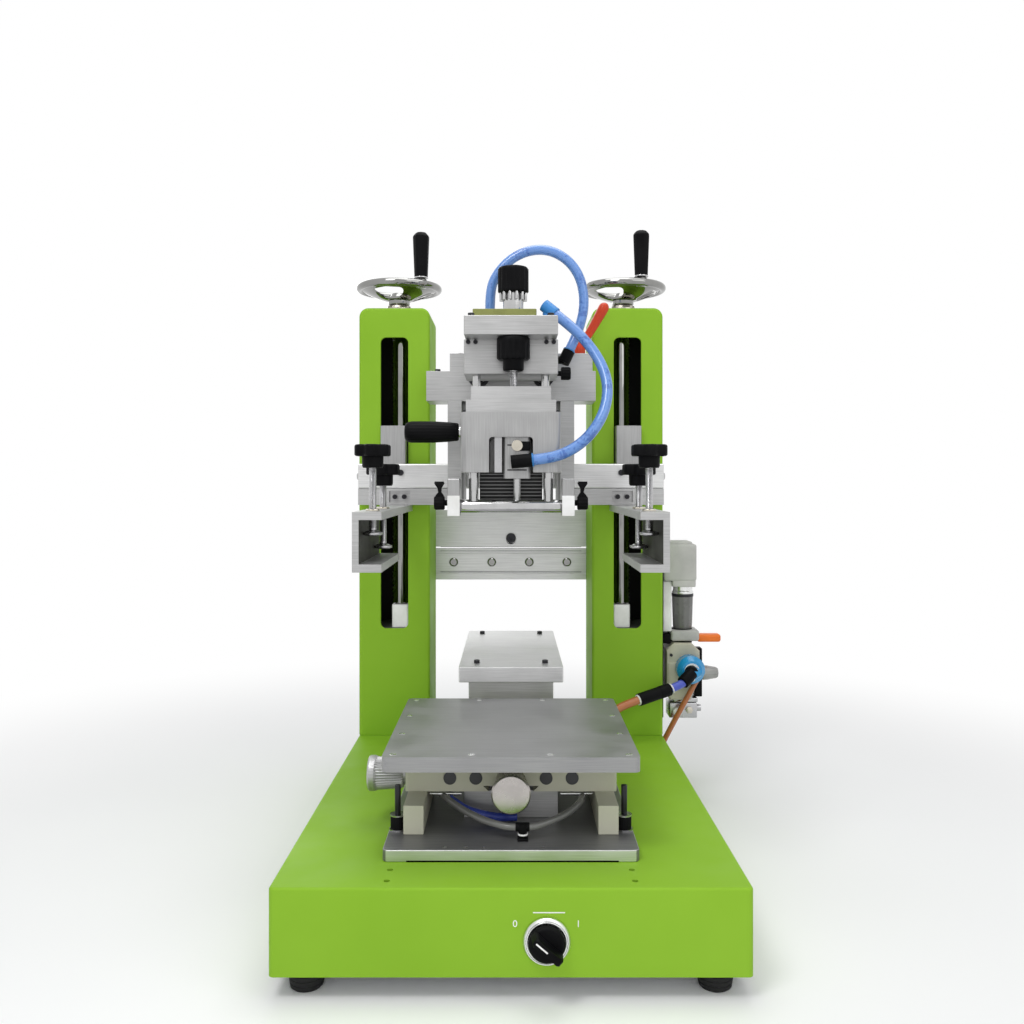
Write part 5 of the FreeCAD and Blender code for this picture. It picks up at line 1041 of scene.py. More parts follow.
@dataclass
class BaseBox:
    """The green sheet box: housing, bottom plate, feet and selector switch."""

    foot_radius: float = 12.5
    foot_height: float = 15.0
    bezel_radius: float = 14.8
    mark_drop: float = 0.06
    mark_line: tuple[float, float, float] = (13.6, 33.3, 55.0)
    mark_height: float = 4.2
    lean: float = 40.0

    def build(self) -> None:
        """Make every piece of the box."""
        dressed("base_housing", GREEN, 0.4)
        dressed("base_bottom_plate", ZINC, 0.3)
        self.make_feet()
        self.make_bezel()
        self.make_selector()
        self.make_marks()
        self.make_screws()

    def make_feet(self) -> None:
        """Four turned rubber feet with a ribbed side and a recessed washer below."""
        work = bmesh.new()
        washers = bmesh.new()
        for x, y in self.foot_places():
            tall, wide = self.foot_height, self.foot_radius
            low = wide - 2.0
            profile = [(0.0, 4.0), (5.0, 4.0), (5.6, 0.4), (6.4, 0.0), (low - 1.0, 0.0), (low, 1.0)]
            for rib in range(3):
                start = (0.22 + 0.22 * rib) * tall
                out = low + (wide - low) * start / tall
                profile += [(out, start), (out - 0.45, start + 0.5), (out + 0.1, start + 1.0)]
            profile += [(wide - 0.5, tall - 0.6), (wide - 1.0, tall), (0.0, tall)]
            merge(work, lathe(profile, Vector((x, y, 0.0)), Axis.Z.vector, 48))
            ring = tube(1.4, 4.6, 3.2, 3.95)
            merge(washers, lathe(ring, Vector((x, y, 0.0)), Axis.Z.vector, 32))
        put(work, "ribbed_feet", RUBBER, "root", ("rubber_feet",))
        put(washers, "foot_washers", ZINC, "root")

    def foot_places(self) -> list[tuple[float, float]]:
        """The middles of the four feet."""
        low, high = ends("rubber_feet")
        inset = self.foot_radius
        return [(x, y) for x in (low.x + inset, high.x - inset) for y in (low.y + inset, high.y - inset)]

    def switch(self) -> Vector:
        """The switch's middle on the front face."""
        middle = centre("selector_bezel")
        return Vector((middle.x, corner("base_housing", False).y, middle.z))

    def make_bezel(self) -> None:
        """The bright ring: a bevelled rim, a fine groove and a dished face."""
        wide = self.bezel_radius
        profile = [(3.2, -24.0), (11.0, -24.0), (11.0, 0.0), (wide, 0.0), (wide, 2.4), (wide - 1.2, 4.0),
                   (13.0, 4.0), (12.8, 3.7), (12.6, 4.0), (11.9, 4.0), (11.6, 3.4), (3.2, 3.4), (3.2, -24.0)]
        work = lathe(rounded_profile(profile, 0.25, 2), self.switch(), -Axis.Y.vector, 96)
        put(work, "switch_ring", RING, "root", ("selector_bezel",))
        nut = lathe(tube(11.05, 13.8, -2.1, -5.0), self.switch(), -Axis.Y.vector, 6)
        put(nut, "switch_nut", ZINC, "root")

    def make_selector(self) -> None:
        """The black turning knob: a skirt, a waisted grip bar and a white pointer."""
        at = self.switch() - Vector((0.0, 4.05, 0.0))
        skirt = [(0.0, 0.0), (11.3, 0.0), (11.3, 2.6), (10.2, 3.9), (9.4, 4.0), (0.0, 4.0)]
        work = lathe(rounded_profile(skirt, 0.4, 3), at, -Axis.Y.vector, 72)
        merge(work, bar(at, at + Vector((0, 11.5, 0)), 3.0))
        lean = Matrix.Rotation(math.radians(self.lean), 3, Axis.Y.vector)
        outline = []
        for share, half in ((-1.0, 1.9), (-0.86, 2.9), (-0.4, 2.5), (0.4, 2.5), (0.86, 2.9), (1.0, 1.9)):
            outline.append((share * 11.2, half))
        outline += [(x, -y) for x, y in reversed(outline)]
        grip = bmesh.new()
        rings = []
        for depth, share in ((3.0, 1.0), (9.0, 0.98), (12.0, 0.94), (12.8, 0.86)):
            ring = []
            for x, y in outline:
                spot = lean @ Vector((x * share, 0.0, y * share))
                ring.append(grip.verts.new(at + spot - Vector((0.0, depth, 0.0))))
            rings.append(ring)
        merge(work, closed(grip, rings))
        put(work, "selector_grip", BLACK, "selector", ("selector_knob",))
        tick = rounded_box((-0.5, -12.9, 0.0), (0.5, -12.6, 9.0), 0.1, 1)
        swing = Matrix.Rotation(math.radians(self.lean - 90.0), 4, Axis.Y.vector)
        bmesh.ops.transform(tick, matrix=Matrix.Translation(at) @ swing, verts=tick.verts)
        put(tick, "selector_pointer", NYLON, "selector")

    def make_marks(self) -> None:
        """The plain printed line over the switch and the numerals 0 and 1 beside it."""
        left, right, height = self.mark_line
        face = corner("base_housing", False).y
        line = rounded_box((left, face - self.mark_drop, height - 0.35), (right, face + 0.1, height + 0.35), 0.02,
                           1)
        put(line, "switch_line", NYLON, "root")
        spot = self.switch()
        for text, side in (("0", -1), ("1", 1)):
            at = (spot.x + side * 19.5, face - 0.02, spot.z + 10.0)
            place(numeral(text, at, self.mark_height, "numeral_" + text), "numeral_" + text, NYLON, "root")

    def make_screws(self) -> None:
        """Pan screws that hold the bottom plate from below."""
        screws = ScrewSet("bottom_plate_screws", Screw.BUTTON, "root", ZINC)
        low, high = ends("base_bottom_plate")
        for x in (low.x + 10, 0.0, high.x - 10):
            for y in (low.y + 50, 0.0, high.y - 50):
                if x or y:
                    screws.add((x, y, low.z), (0, 0, -1), 3.2)
        screws.build()


@dataclass
class Columns:
    """The two slotted columns with what stands still in and on them."""

    sides: tuple[int, int] = (-1, 1)
    centre_x: float = 115.0
    shaft_radius: float = 6.0
    screw_y: float = 142.0
    top: float = 492.0
    beam_screws: tuple[float, ...] = (-61.0, -20.5, 19.5, 59.5)
    beam_screw_height: float = 234.6

    def build(self) -> None:
        """Make the columns, bearings, shafts, the tie beam and the rest block."""
        for name in ("left_column", "right_column"):
            dressed(name, GREEN, 0.5)
        # Black back covers; their black also paints the shade inside the columns, seen through the slots.
        dressed("column_back_covers", BLACK_SHEET, 0.3)
        dressed("shaft_supports", PLATE, 0.4)
        dressed("shaft_caps", NYLON, 0.6)
        dressed("rear_tie_beam", PALE, 0.5)
        dressed("rear_rest_block", PALE, 0.6)
        self.make_bearings()
        self.make_shafts()
        self.make_lines_and_painted_shade()
        self.make_screws()

    def make_bearings(self) -> None:
        """The turned flange on each column's top, with its seal and grease groove."""
        work = bmesh.new()
        for side in self.sides:
            profile = [(7.2, -8.0), (11.0, -8.0), (11.0, 0.0), (15.0, 0.0), (15.0, 5.2), (12.6, 5.6), (12.0, 8.0),
                       (9.6, 8.0), (9.4, 7.2), (7.2, 7.2), (7.2, -8.0)]
            spot = Vector((side * self.centre_x, self.screw_y, self.top))
            merge(work, lathe(rounded_profile(profile, 0.4, 2), spot, Axis.Z.vector, 72))
        put(work, "flanged_bearings", NICKEL, "root", ("column_top_bearings",))

    def make_shafts(self) -> None:
        """The two ground guide shafts with bevelled feet."""
        low, high = ends("guide_shafts")
        work = bmesh.new()
        for x in (low.x + self.shaft_radius, high.x - self.shaft_radius):
            merge(work, bar((x, centre("guide_shafts").y, low.z), (x, centre("guide_shafts").y, high.z),
                            self.shaft_radius, 0.6, 64))
        put(work, "ground_guide_shafts", MIRROR, "root", ("guide_shafts",))

    def make_lines_and_painted_shade(self) -> None:
        """A dark strip in the joint between the tie beam's two halves, a fine line below it, and dark rings round the
        screws' heads; the strip and the rings are painted shade of the groove and of the screws' recesses.
        """
        front = corner("rear_tie_beam", False).y + 1.45
        work = bmesh.new()
        for depth, height, half in ((2.0, 252.4, 2.0), (-0.12, 246.5, 0.3), (-0.12, 224.0, 0.3)):
            merge(work, rounded_box((-75.2, front + depth, (height - half)),
                                    (75.2, front + (depth + 0.6), (height + half)), 0.05, 1))
        for x in self.beam_screws:
            merge(work, bar((x, front + 0.5, self.beam_screw_height), (x, front - 0.5, self.beam_screw_height), 5.7,
                            0.2, 40))
        put(work, "tie_beam_grooves", DARK_STEEL, "root")

    def make_screws(self) -> None:
        """Fasteners of the tie beam, bearings, covers and rest block."""
        black = ScrewSet("black_cap_screws", Screw.SOCKET, "root", DARK_STEEL)
        bright = ScrewSet("bright_screws", Screw.BUTTON, "root", ZINC)
        shiny = ScrewSet("beam_screws", Screw.BUTTON, "root", MIRROR)
        for side in self.sides:
            middle = Vector((side * self.centre_x, self.screw_y, self.top + 5.4))
            for step in range(3):
                angle = TURN * (step / 3 + 0.08)
                spot = middle + Vector((13.2 * math.cos(angle), 13.2 * math.sin(angle), -0.4))
                bright.add(tuple(spot), (0, 0, 1), 1.5)
            cover = corner("column_back_covers", True)
            for height in (90, 200, 330, 465):
                for shift in (-24, 24):
                    bright.add((side * self.centre_x + shift, cover.y, height), (0, 1, 0), 2.6)
        beam = corner("rear_tie_beam", False)
        rear = corner("rear_tie_beam", True)
        for x in self.beam_screws:
            shiny.add((x, beam.y + 0.9, self.beam_screw_height), (0, -1, 0), 5.0)
        black.add((0.0, beam.y + 1.2, 260.4), (0, -1, 0), 5.2)
        for x in (-130, -100, 100, 130):
            for height in (233, 270):
                black.add((x, rear.y, height), (0, 1, 0), 3.6)
        rest = corner("rear_rest_block", True)
        for x in (-30, 30):
            for y in (0.0, 160):
                black.add((x, y, rest.z - 0.1), (0, 0, 1), 2.6)
        black.build()
        bright.build()
        shiny.build()


@dataclass
class LiftDrive:
    """One column's lead screw, dished handwheel and turning crank grip."""

    side: int
    name: str
    wheel_x: float = 115.0
    screw_y: float = 142.0
    hub_foot: float = 500.3
    hub_radius: float = 11.0
    hub_height: float = 13.0
    rim_radius: float = 40.0
    rim_section: float = 3.8
    rim_height: float = 518.0
    window_middle: float = 24.5
    window_reach: float = 10.0
    window_half: float = math.radians(31.0)
    web_thickness: float = 1.3
    grip_radius: float = 8.5
    grip_foot: float = 7.0
    pitch: float = 4.0
    screw_radius: float = 7.0

    def build(self) -> None:
        """Make the wheel, the screw and the grip."""
        self.make_wheel()
        self.make_screw()
        self.make_grip()

    def middle(self) -> Vector:
        """The wheel's axis at the hub's foot."""
        return Vector((self.side * self.wheel_x, self.screw_y, self.hub_foot))

    def pin(self) -> Vector:
        """The crank pin's place at the rim's height."""
        grip = centre(self.name + "_crank_grip")
        return Vector((grip.x, grip.y, self.rim_height))

    def make_wheel(self) -> None:
        """A polished rim whose disc dishes down to the turned hub, with three windows in it."""
        work = self.rim()
        top = self.hub_height
        profile = [(7.1, 0.0), (9.4, 0.0), (self.hub_radius, 1.6), (self.hub_radius, top * 0.62), (8.4, top - 1.6),
                   (7.6, top), (5.2, top), (4.8, top - 1.2), (0.0, top - 1.2)]
        merge(work, lathe(rounded_profile(profile, 0.6, 3), self.middle(), Axis.Z.vector, 64))
        to_pin = self.pin() - self.middle()
        first = math.atan2(to_pin.y, to_pin.x)
        merge(work, self.dish(first))
        boss = [(0.0, -4.2), (5.0, -4.2), (6.0, -2.0), (6.0, 3.6), (4.6, 5.5), (3.0, 5.5), (3.0, 46.5), (0.0, 46.5)]
        merge(work, lathe(rounded_profile(boss, 0.4, 3), self.pin(), Axis.Z.vector, 40))
        put(work, self.name + "_dished_wheel", MIRROR, self.name + "_wheel", (self.name + "_handwheel",), 40.0)

    def rim(self) -> bmesh.types.BMesh:
        """The round rim, a little flattened on its inner side."""
        work = bmesh.new()
        around, section = 120, 20
        rings = []
        for index in range(around):
            angle = TURN * index / around
            out = Vector((math.cos(angle), math.sin(angle), 0.0))
            ring = []
            for step in range(section):
                turn = TURN * step / section
                reach = self.rim_section * (0.8 if math.cos(turn) < -0.5 else 1.0)
                spot = out * (self.rim_radius + reach * math.cos(turn))
                spot.z = self.rim_section * math.sin(turn)
                ring.append(work.verts.new(spot + Vector((self.side * self.wheel_x, self.screw_y, self.rim_height))))
            rings.append(ring)
        for index in range(around):
            lower, upper = rings[index], rings[(index + 1) % around]
            for step in range(section):
                after = (step + 1) % section
                work.faces.new((lower[step], upper[step], upper[after], lower[after]))
        return work

    def web_half(self, reach: float) -> float:
        """Half the angle that one web spans at a radius; the windows between webs have round corners."""
        away = abs(reach - self.window_middle) / self.window_reach
        if away >= 1.0:
            return TURN / 6
        return TURN / 6 - self.window_half * (1.0 - away ** 4) ** 0.25

    def dish(self, first: float) -> bmesh.types.BMesh:
        """The dished disc between hub and rim: three broad webs round three windows.

        Args:
            first: the way that one web points, in radians.

        Returns:
            The disc.
        """
        work = bmesh.new()
        start, end = self.hub_radius - 2.0, self.rim_radius
        rows, parts = 36, 14
        rise = self.rim_height - self.hub_foot - 6.0
        for web in range(3):
            middle = first + TURN * web / 3
            sheets = []
            for row in range(rows + 1):
                share = row / rows
                reach = start + (end - start) * share
                height = 6.0 + rise * (0.3 * share + 0.7 * share ** 1.7)
                half = self.web_half(reach)
                lines = []
                for lift in (-1, 1):
                    line = []
                    for part in range(parts + 1):
                        lean = 2 * part / parts - 1
                        angle = middle + half * lean
                        swell = self.web_thickness * (1.0 - 0.35 * abs(lean) ** 6)
                        spot = Vector((reach * math.cos(angle), reach * math.sin(angle), height + lift * swell))
                        line.append(work.verts.new(self.middle() + spot))
                    lines.append(line)
                sheets.append((lines, half < TURN / 6 - 1e-6))
            for (lower, open_low), (upper, open_high) in zip(sheets, sheets[1:]):
                for part in range(parts):
                    work.faces.new((lower[0][part], upper[0][part], upper[0][part + 1], lower[0][part + 1]))
                    work.faces.new((lower[1][part], lower[1][part + 1], upper[1][part + 1], upper[1][part]))
                if open_low or open_high:
                    work.faces.new((lower[0][0], lower[1][0], upper[1][0], upper[0][0]))
                    work.faces.new((lower[0][-1], upper[0][-1], upper[1][-1], lower[1][-1]))
            for lines, flip in ((sheets[0][0], True), (sheets[-1][0], False)):
                for part in range(parts):
                    ring = [lines[0][part], lines[0][part + 1], lines[1][part + 1], lines[1][part]]
                    work.faces.new(list(reversed(ring)) if flip else ring)
        bmesh.ops.remove_doubles(work, verts=work.verts, dist=1e-3)
        return work

    def make_screw(self) -> None:
        """The lead screw's thread between its plain ends."""
        low, high = ends(self.name + "_lead_screw")
        foot = Vector((self.side * self.wheel_x, self.screw_y, low.z))
        start, end = 14.0, self.top_of_thread() - low.z
        work = threaded(foot + Vector((0, 0, start)), Axis.Z.vector, self.screw_radius, end - start, self.pitch, 1.1)
        neck = self.screw_radius - 0.05
        merge(work, bar(foot, foot + Vector((0, 0, start)), neck))
        merge(work, bar(foot + Vector((0, 0, end)), foot + Vector((0, 0, high.z - low.z)), neck))
        put(work, self.name + "_threaded_screw", STEEL, self.name + "_wheel", (self.name + "_lead_screw",), 50.0)

    def top_of_thread(self) -> float:
        """The height where the thread runs out, below the column's top bearing."""
        return corner(self.name + "_column", True).z - 12.0

    def make_grip(self) -> None:
        """The tapered black grip: flat facets, a bevelled crown and a bright foot washer."""
        low, high = ends(self.name + "_crank_grip")
        spot = Vector((self.pin().x, self.pin().y, low.z))
        tall = high.z - low.z
        work = bmesh.new()
        facets = 8
        rings = []
        levels = ((self.grip_foot, 1.2), (self.grip_foot, 2.4), (self.grip_radius, tall - 5.0),
                  (self.grip_radius - 0.3, tall - 3.4), (self.grip_radius - 3.4, tall))
        for radius, height in levels:
            rings.append(ring_of(work, spot, Matrix.Identity(3), height, [radius] * facets, 0.3))
        closed(work, rings)
        bmesh.ops.bevel(work, geom=list(work.edges), offset=0.9, segments=3, affect="EDGES", profile=0.5)
        put(work, self.name + "_faceted_grip", BLACK, self.name + "_grip", (self.name + "_crank_grip",), 0.0)
        washer = lathe(rounded_profile(tube(3.1, self.grip_foot, 0.0, 1.1), 0.2, 2), spot, Axis.Z.vector, 40)
        put(washer, self.name + "_grip_washer", CHROME, self.name + "_grip")


@dataclass
class ClampArm:
    """One clamp arm: bar and channel, two threaded clamps with star knobs."""

    side: int
    name: str
    web: float = 113.0
    spindle: float = 3.0
    pad: float = 7.5
    pad_height: float = 4.0
    star: float = 14.4
    hub: float = 8.3
    hub_height: float = 9.0
    lobes: int = 6
    valley: float = 2.6

    def build(self) -> None:
        """Make the arm and its clamps."""
        arm = dressed(self.name + "_clamp_arm", ALUMINIUM, 0.6, (CHANNEL_SHADE,))
        # The channel's inner wall faces take the dark skin: painted shade inside the channel.
        for face in arm.data.polygons:
            if abs(abs(face.center.x) / MM - self.web) < 0.2:
                face.material_index = 1
        for place_name in ("front", "rear"):
            self.make_spindle(self.name + "_" + place_name)
            self.make_knob(self.name + "_" + place_name)
        self.make_bushes()
        self.make_screws()

    def make_spindle(self, clamp: str) -> None:
        """The threaded spindle with its swivel pad and the ball above it."""
        node = clamp + "_clamp_screw"
        low, high = ends(node)
        foot = foot_of(node)
        pad = [(0.0, 0.0), (5.4, 0.0), (6.2, 0.3), (self.pad, 1.0), (self.pad, 2.6), (6.0, 3.0),
               (4.4, self.pad_height), (0.0, self.pad_height)]
        work = lathe(rounded_profile(pad, 0.3, 2), foot, Axis.Z.vector, 56)
        ball = [(0.0, 3.6), (2.6, 3.9), (3.0, 5.0), (2.6, 6.6), (0.0, 7.0)]
        merge(work, lathe(rounded_profile(ball, 0.6, 3), foot, Axis.Z.vector, 32))
        merge(work, threaded(foot + Vector((0, 0, 6.2)), Axis.Z.vector, self.spindle, high.z - low.z - 6.2, 1.0,
                             0.45, 20))
        put(work, clamp + "_threaded_spindle", STEEL, clamp + "_screw", (node,), 50.0)

    def make_knob(self, clamp: str) -> None:
        """A moulded star knob: round hub, six soft lobes and a crown with a cap."""
        node = clamp + "_clamp_knob"
        low, high = ends(node)
        foot = foot_of(node)
        tall = high.z - low.z
        hub = [(3.1, 0.0), (self.hub - 1.0, 0.0), (self.hub - 0.2, 1.4), (self.hub, self.hub_height + 1.0),
               (3.1, self.hub_height + 1.0), (3.1, 0.0)]
        work = lathe(rounded_profile(hub, 0.5, 3), foot, Axis.Z.vector, 48)
        head = bmesh.new()
        steps = self.lobes * 16
        waves = [0.5 + 0.5 * math.cos(self.lobes * (TURN * step / steps)) for step in range(steps)]
        rings = []
        for height, shrink in ((self.hub_height, 1.2), (self.hub_height + 0.5, 0.35), (self.hub_height + 1.3, 0.0),
                               (tall - 1.6, 0.0), (tall - 0.7, 0.35), (tall - 0.15, 1.1), (tall, 2.2)):
            reaches = [self.star - self.valley * wave ** 1.6 - shrink for wave in waves]
            rings.append(ring_of(head, foot, Matrix.Identity(3), height, reaches))
        merge(work, closed(head, rings))
        put(work, clamp + "_star_knob", BLACK, clamp + "_knob", (node,), 60.0)
        cap = lathe(rounded_profile([(0.0, tall - 0.4), (5.0, tall - 0.4), (5.0, tall - 0.05), (4.4, tall),
                                     (0.0, tall)], 0.1, 2), foot, Axis.Z.vector, 40)
        put(cap, clamp + "_knob_cap", DARK_STEEL, clamp + "_knob")

    def make_bushes(self) -> None:
        """The pressed collars that guide each spindle through the channel's top."""
        work = bmesh.new()
        top = corner(self.name + "_clamp_arm", False).z
        for place_name in ("front", "rear"):
            middle = centre(self.name + "_" + place_name + "_clamp_screw")
            height = top + 45.0
            ring = [(3.3, height - 1.0), (5.4, height - 1.0), (5.4, height + 1.2), (4.8, height + 1.6),
                    (3.3, height + 1.6), (3.3, height - 1.0)]
            merge(work, lathe(rounded_profile(ring, 0.2, 2), Vector((middle.x, middle.y, 0.0)), Axis.Z.vector, 40))
        put(work, self.name + "_clamp_bushes", NICKEL, self.name + "_arm")

    def make_screws(self) -> None:
        """Cap screws that join the channel to the bar, from below and in front."""
        screws = ScrewSet(self.name + "_arm_screws", Screw.SOCKET, self.name + "_arm", DARK_STEEL)
        low, high = ends(self.name + "_clamp_arm")
        foot = low.z + 39.0
        for y in (82.0, 88.0):
            screws.add((self.side * 107.0, y - 3.0, foot), (0, 0, -1), 1.9)
        for x in (102.5, 111.5):
            screws.add((self.side * x, 78.1, high.z - 7.8), (0, -1, 0), 2.3)
        screws.build()


@dataclass
class Bridge:
    """What the sliders carry: sliders, cross beam, bearing block and its clamp lever."""

    rod_x: float = 30.0
    rod_height: float = 418.0
    hub: float = 9.0
    hub_height: float = 14.0

    def build(self) -> None:
        """Make the bridge and the lever."""
        dressed("lift_sliders", ALUMINIUM_UP, 0.6)
        dressed("cross_beam", PALE, 0.5)
        dressed("head_bearing_block", ALUMINIUM, 0.8)
        self.make_rings()
        self.make_strips()
        self.make_screws()
        self.make_lever()

    def make_rings(self) -> None:
        """Retaining rings round the stroke rods, front and rear of the bearing block."""
        work = bmesh.new()
        low, high = ends("head_bearing_block")
        for side in (-1, 1):
            for face, way in ((low.y, -1), (high.y, 1)):
                ring = [(6.4, -0.4), (10.0, -0.4), (10.0, 0.9), (9.4, 1.3), (7.2, 1.3), (6.4, 0.7), (6.4, -0.4)]
                spot = Vector((side * self.rod_x, face, self.rod_height))
                merge(work, lathe(rounded_profile(ring, 0.2, 2), spot, way * Axis.Y.vector, 56))
        put(work, "rod_seal_rings", DARK_STEEL, "lift")

    def make_strips(self) -> None:
        """Slim wear strips on the inner faces of the side plates."""
        work = bmesh.new()
        for side in (-1, 1):
            inner, outer = sorted((side * 42.7, side * 46.2))
            merge(work, rounded_box((inner, 62.0, 300.5), (outer, 76.0, 395.2), 0.4, 2))
        put(work, "wear_strips", ALUMINIUM_UP, "lift")

    def make_screws(self) -> None:
        """Black cap screws of the beam, the bearing block and the side plates."""
        screws = ScrewSet("bridge_screws", Screw.SOCKET, "lift", DARK_STEEL)
        beam = corner("cross_beam", False)
        for side in (-1, 1):
            for x in (106.0, 124.0):
                screws.add((side * x, beam.y + 0.1, 329.0), (0, -1, 0), 2.9)
            for y in (60.0, 82.0):
                screws.add((side * 69.0, y, 423.4), (0, 0, 1), 2.6)
        for x in (-48.0, 0.0, 40.0):
            screws.add((x, 71.0, 439.9), (0, 0, 1), 2.6)
        screws.build()
        ends = ScrewSet("beam_end_screws", Screw.BUTTON, "lift", CHROME)
        for side in (-1, 1):
            ends.add((side * 146.9, 85.0, 325.6), (side, 0, 0), 4.0)
        ends.build()

    def make_lever(self) -> None:
        """The orange lever: ribbed hub, swelling arm, rounded tip and a bright cap screw."""
        low = corner("clamp_lever", False)
        foot = Vector((low.x + self.hub, centre("clamp_lever").y, low.z + 4.0))
        hub = [(0.0, 0.0, 0.0), (self.hub - 0.6, 0.0, 0.0), (self.hub, 0.6, 0.6), (self.hub * 0.97, 8.0, 1.0),
               (self.hub * 0.93, 12.6, 0.8), (self.hub * 0.84, 13.8, 0.0), (3.0, self.hub_height, 0.0)]
        work = grooved(hub, foot, Axis.Z.vector, 18, 0.45, 4)
        high = corner("clamp_lever", True)
        start = foot + Vector((2.0, 0.0, 6.0))
        tip = Vector((high.x - 6.0, foot.y, high.z - 6.0))
        spots, radii = [], []
        for step in range(15):
            share = step / 14
            spots.append(start.lerp(tip, share) + Vector((0.0, 0.0, -1.6 * math.sin(share * math.pi))))
            radii.append((4.0 + 2.0 * share ** 1.3))
        for share, shrink in ((0.4, 0.92), (0.7, 0.71), (0.92, 0.39), (0.99, 0.12)):
            spots.append(tip + (tip - start).normalized() * share * 5.9)
            radii.append(6.0 * shrink)
        merge(work, swept(spots, radii, 28, 0.86))
        put(work, "orange_clamp_lever", ORANGE, "lever", ("clamp_lever",), 50.0)
        stud = bar((foot.x, foot.y, foot.z - 3.9), (foot.x, foot.y, foot.z + 0.5), 3.9)
        merge(stud, bar((foot.x, foot.y, foot.z + self.hub_height - 0.4),
                        (foot.x, foot.y, foot.z + self.hub_height + 0.9), 2.7))
        put(stud, "lever_stud", ZINC, "lever")


@dataclass
class PrintHead:
    """The travelling head: rods, blocks, cap plate, knobs, housing, cylinder and handle."""

    rod: float = 6.0
    upper_knob: float = 13.5
    lower_knob: float = 13.8
    flutes: int = 16
    flute: float = 0.9
    teeth: int = 12
    handle: float = 9.25

    def build(self) -> None:
        """Make the head from the rods down."""
        for node, ease in (("head_middle_block", 0.7), ("head_top_block", 0.7)):
            dressed(node, ALUMINIUM, ease)
        dressed("head_cap_plate", CAP, 0.8)
        dressed("head_housing", ALUMINIUM_UP, 0.6)
        self.make_rods()
        self.make_pressure_block()
        self.make_upper_knob()
        self.make_lower_knob()
        self.make_handle()
        self.make_cylinder()
        self.make_fittings()
        self.make_screws()

    def make_rods(self) -> None:
        """The two bright stroke rods with drilled, bevelled ends."""
        low, high = ends("stroke_rods")
        work = bmesh.new()
        for x in (low.x + self.rod, high.x - self.rod):
            profile = [(0.0, 0.0), (5.2, 0.0), (self.rod, 0.8), (self.rod, high.y - low.y - 0.8),
                       (5.2, high.y - low.y), (2.0, high.y - low.y), (1.4, high.y - low.y - 1.0),
                       (0.0, high.y - low.y - 1.4)]
            merge(work, lathe(profile, Vector((x, low.y, centre("stroke_rods").z)), Axis.Y.vector, 64))
        put(work, "bright_stroke_rods", CHROME, "carriage", ("stroke_rods",))

    def make_pressure_block(self) -> None:
        """The stepped block, with its two ground posts made anew."""
        dressed("pressure_block", ALUMINIUM, 0.6, dropped=lambda _, size: size.x < 10)
        work = bmesh.new()
        for side in (-1, 1):
            merge(work, bar((side * 29.5, -20.0, 385.0), (side * 29.5, -20.0, 427.0), 3.5, 0.5))
        put(work, "ground_posts", CHROME, "lower_head")

    def make_upper_knob(self) -> None:
        """The black fluted knob on a bright slotted collar."""
        low, high = ends("upper_knob")
        spot = foot_of("upper_knob")
        start = high.z - low.z - 23.0
        radius = self.upper_knob
        profile = [(3.0, start, 0.0), (radius - 1.4, start, 0.0), (radius, start + 1.2, 0.7),
                   (radius, start + 3.0, 1.0), (radius, start + 19.5, 1.0), (radius, start + 21.2, 0.6),
                   (radius - 1.3, start + 22.6, 0.0), (radius - 2.6, start + 23.0, 0.0), (8.0, start + 23.0, 0.0),
                   (7.6, start + 22.5, 0.0)]
        work = grooved(profile, spot, Axis.Z.vector, self.flutes, self.flute, 6)
        put(work, "fluted_upper_knob", BLACK, "cap_knob", ("upper_knob",), 50.0)
        collar = [(0.0, 0.0, 0.0), (3.9, 0.0, 0.0), (3.9, 10.0, 0.0), (8.6, 10.0, 0.0), (9.0, 10.5, 0.0),
                  (9.0, 13.5, 0.0), (8.9, start - 1.0, 0.0), (8.9, start, 0.0)]
        work = grooved(collar, spot, Axis.Z.vector, 12, 0.5, 6)
        for step in range(self.teeth):
            angle = TURN * (step + 0.5) / self.teeth
            spoke = spot + Vector((11.0 * math.cos(angle), 11.0 * math.sin(angle), start - 6.6))
            merge(work, bar(spoke, spoke + Vector((0.0, 0.0, 6.8)), 1.5, 0.3, 16))
        put(work, "toothed_collar", CHROME, "cap_knob")

    def make_lower_knob(self) -> None:
        """The pressure knob: black fluted head and neck, bright threaded screw."""
        low, high = ends("lower_knob")
        middle = centre("lower_knob")
        spot = Vector((middle.x, middle.y, 0.0))
        crown, neck, screw_top = 440.7, 421.7, 412.7
        radius = self.lower_knob
        profile = [(3.0, screw_top, 0.0), (8.0, screw_top, 0.0), (8.7, screw_top + 0.8, 0.0),
                   (8.7, neck - 0.5, 0.0), (9.2, neck, 0.0), (radius - 1.2, neck, 0.0), (radius, neck + 1.2, 0.8),
                   (radius, neck + 3, 1.0), (radius, crown - 6.2, 1.0), (radius, crown - 5.4, 0.0),
                   (radius, crown - 1.2, 0.0), (radius - 1.2, crown, 0.0), (3.4, crown, 0.0)]
        work = grooved(profile, spot, Axis.Z.vector, self.flutes, self.flute, 6)
        put(work, "fluted_pressure_knob", BLACK, "pressure_knob", ("lower_knob",), 50.0)
        screw = threaded(Vector((spot.x, spot.y, low.z)), Axis.Z.vector, 3.5, screw_top - low.z + 1.0, 1.25, 0.5)
        merge(screw, bar((spot.x, spot.y, crown - 1.0), (spot.x, spot.y, high.z), 3.4))
        put(screw, "pressure_screw", STEEL, "pressure_knob", (), 50.0)

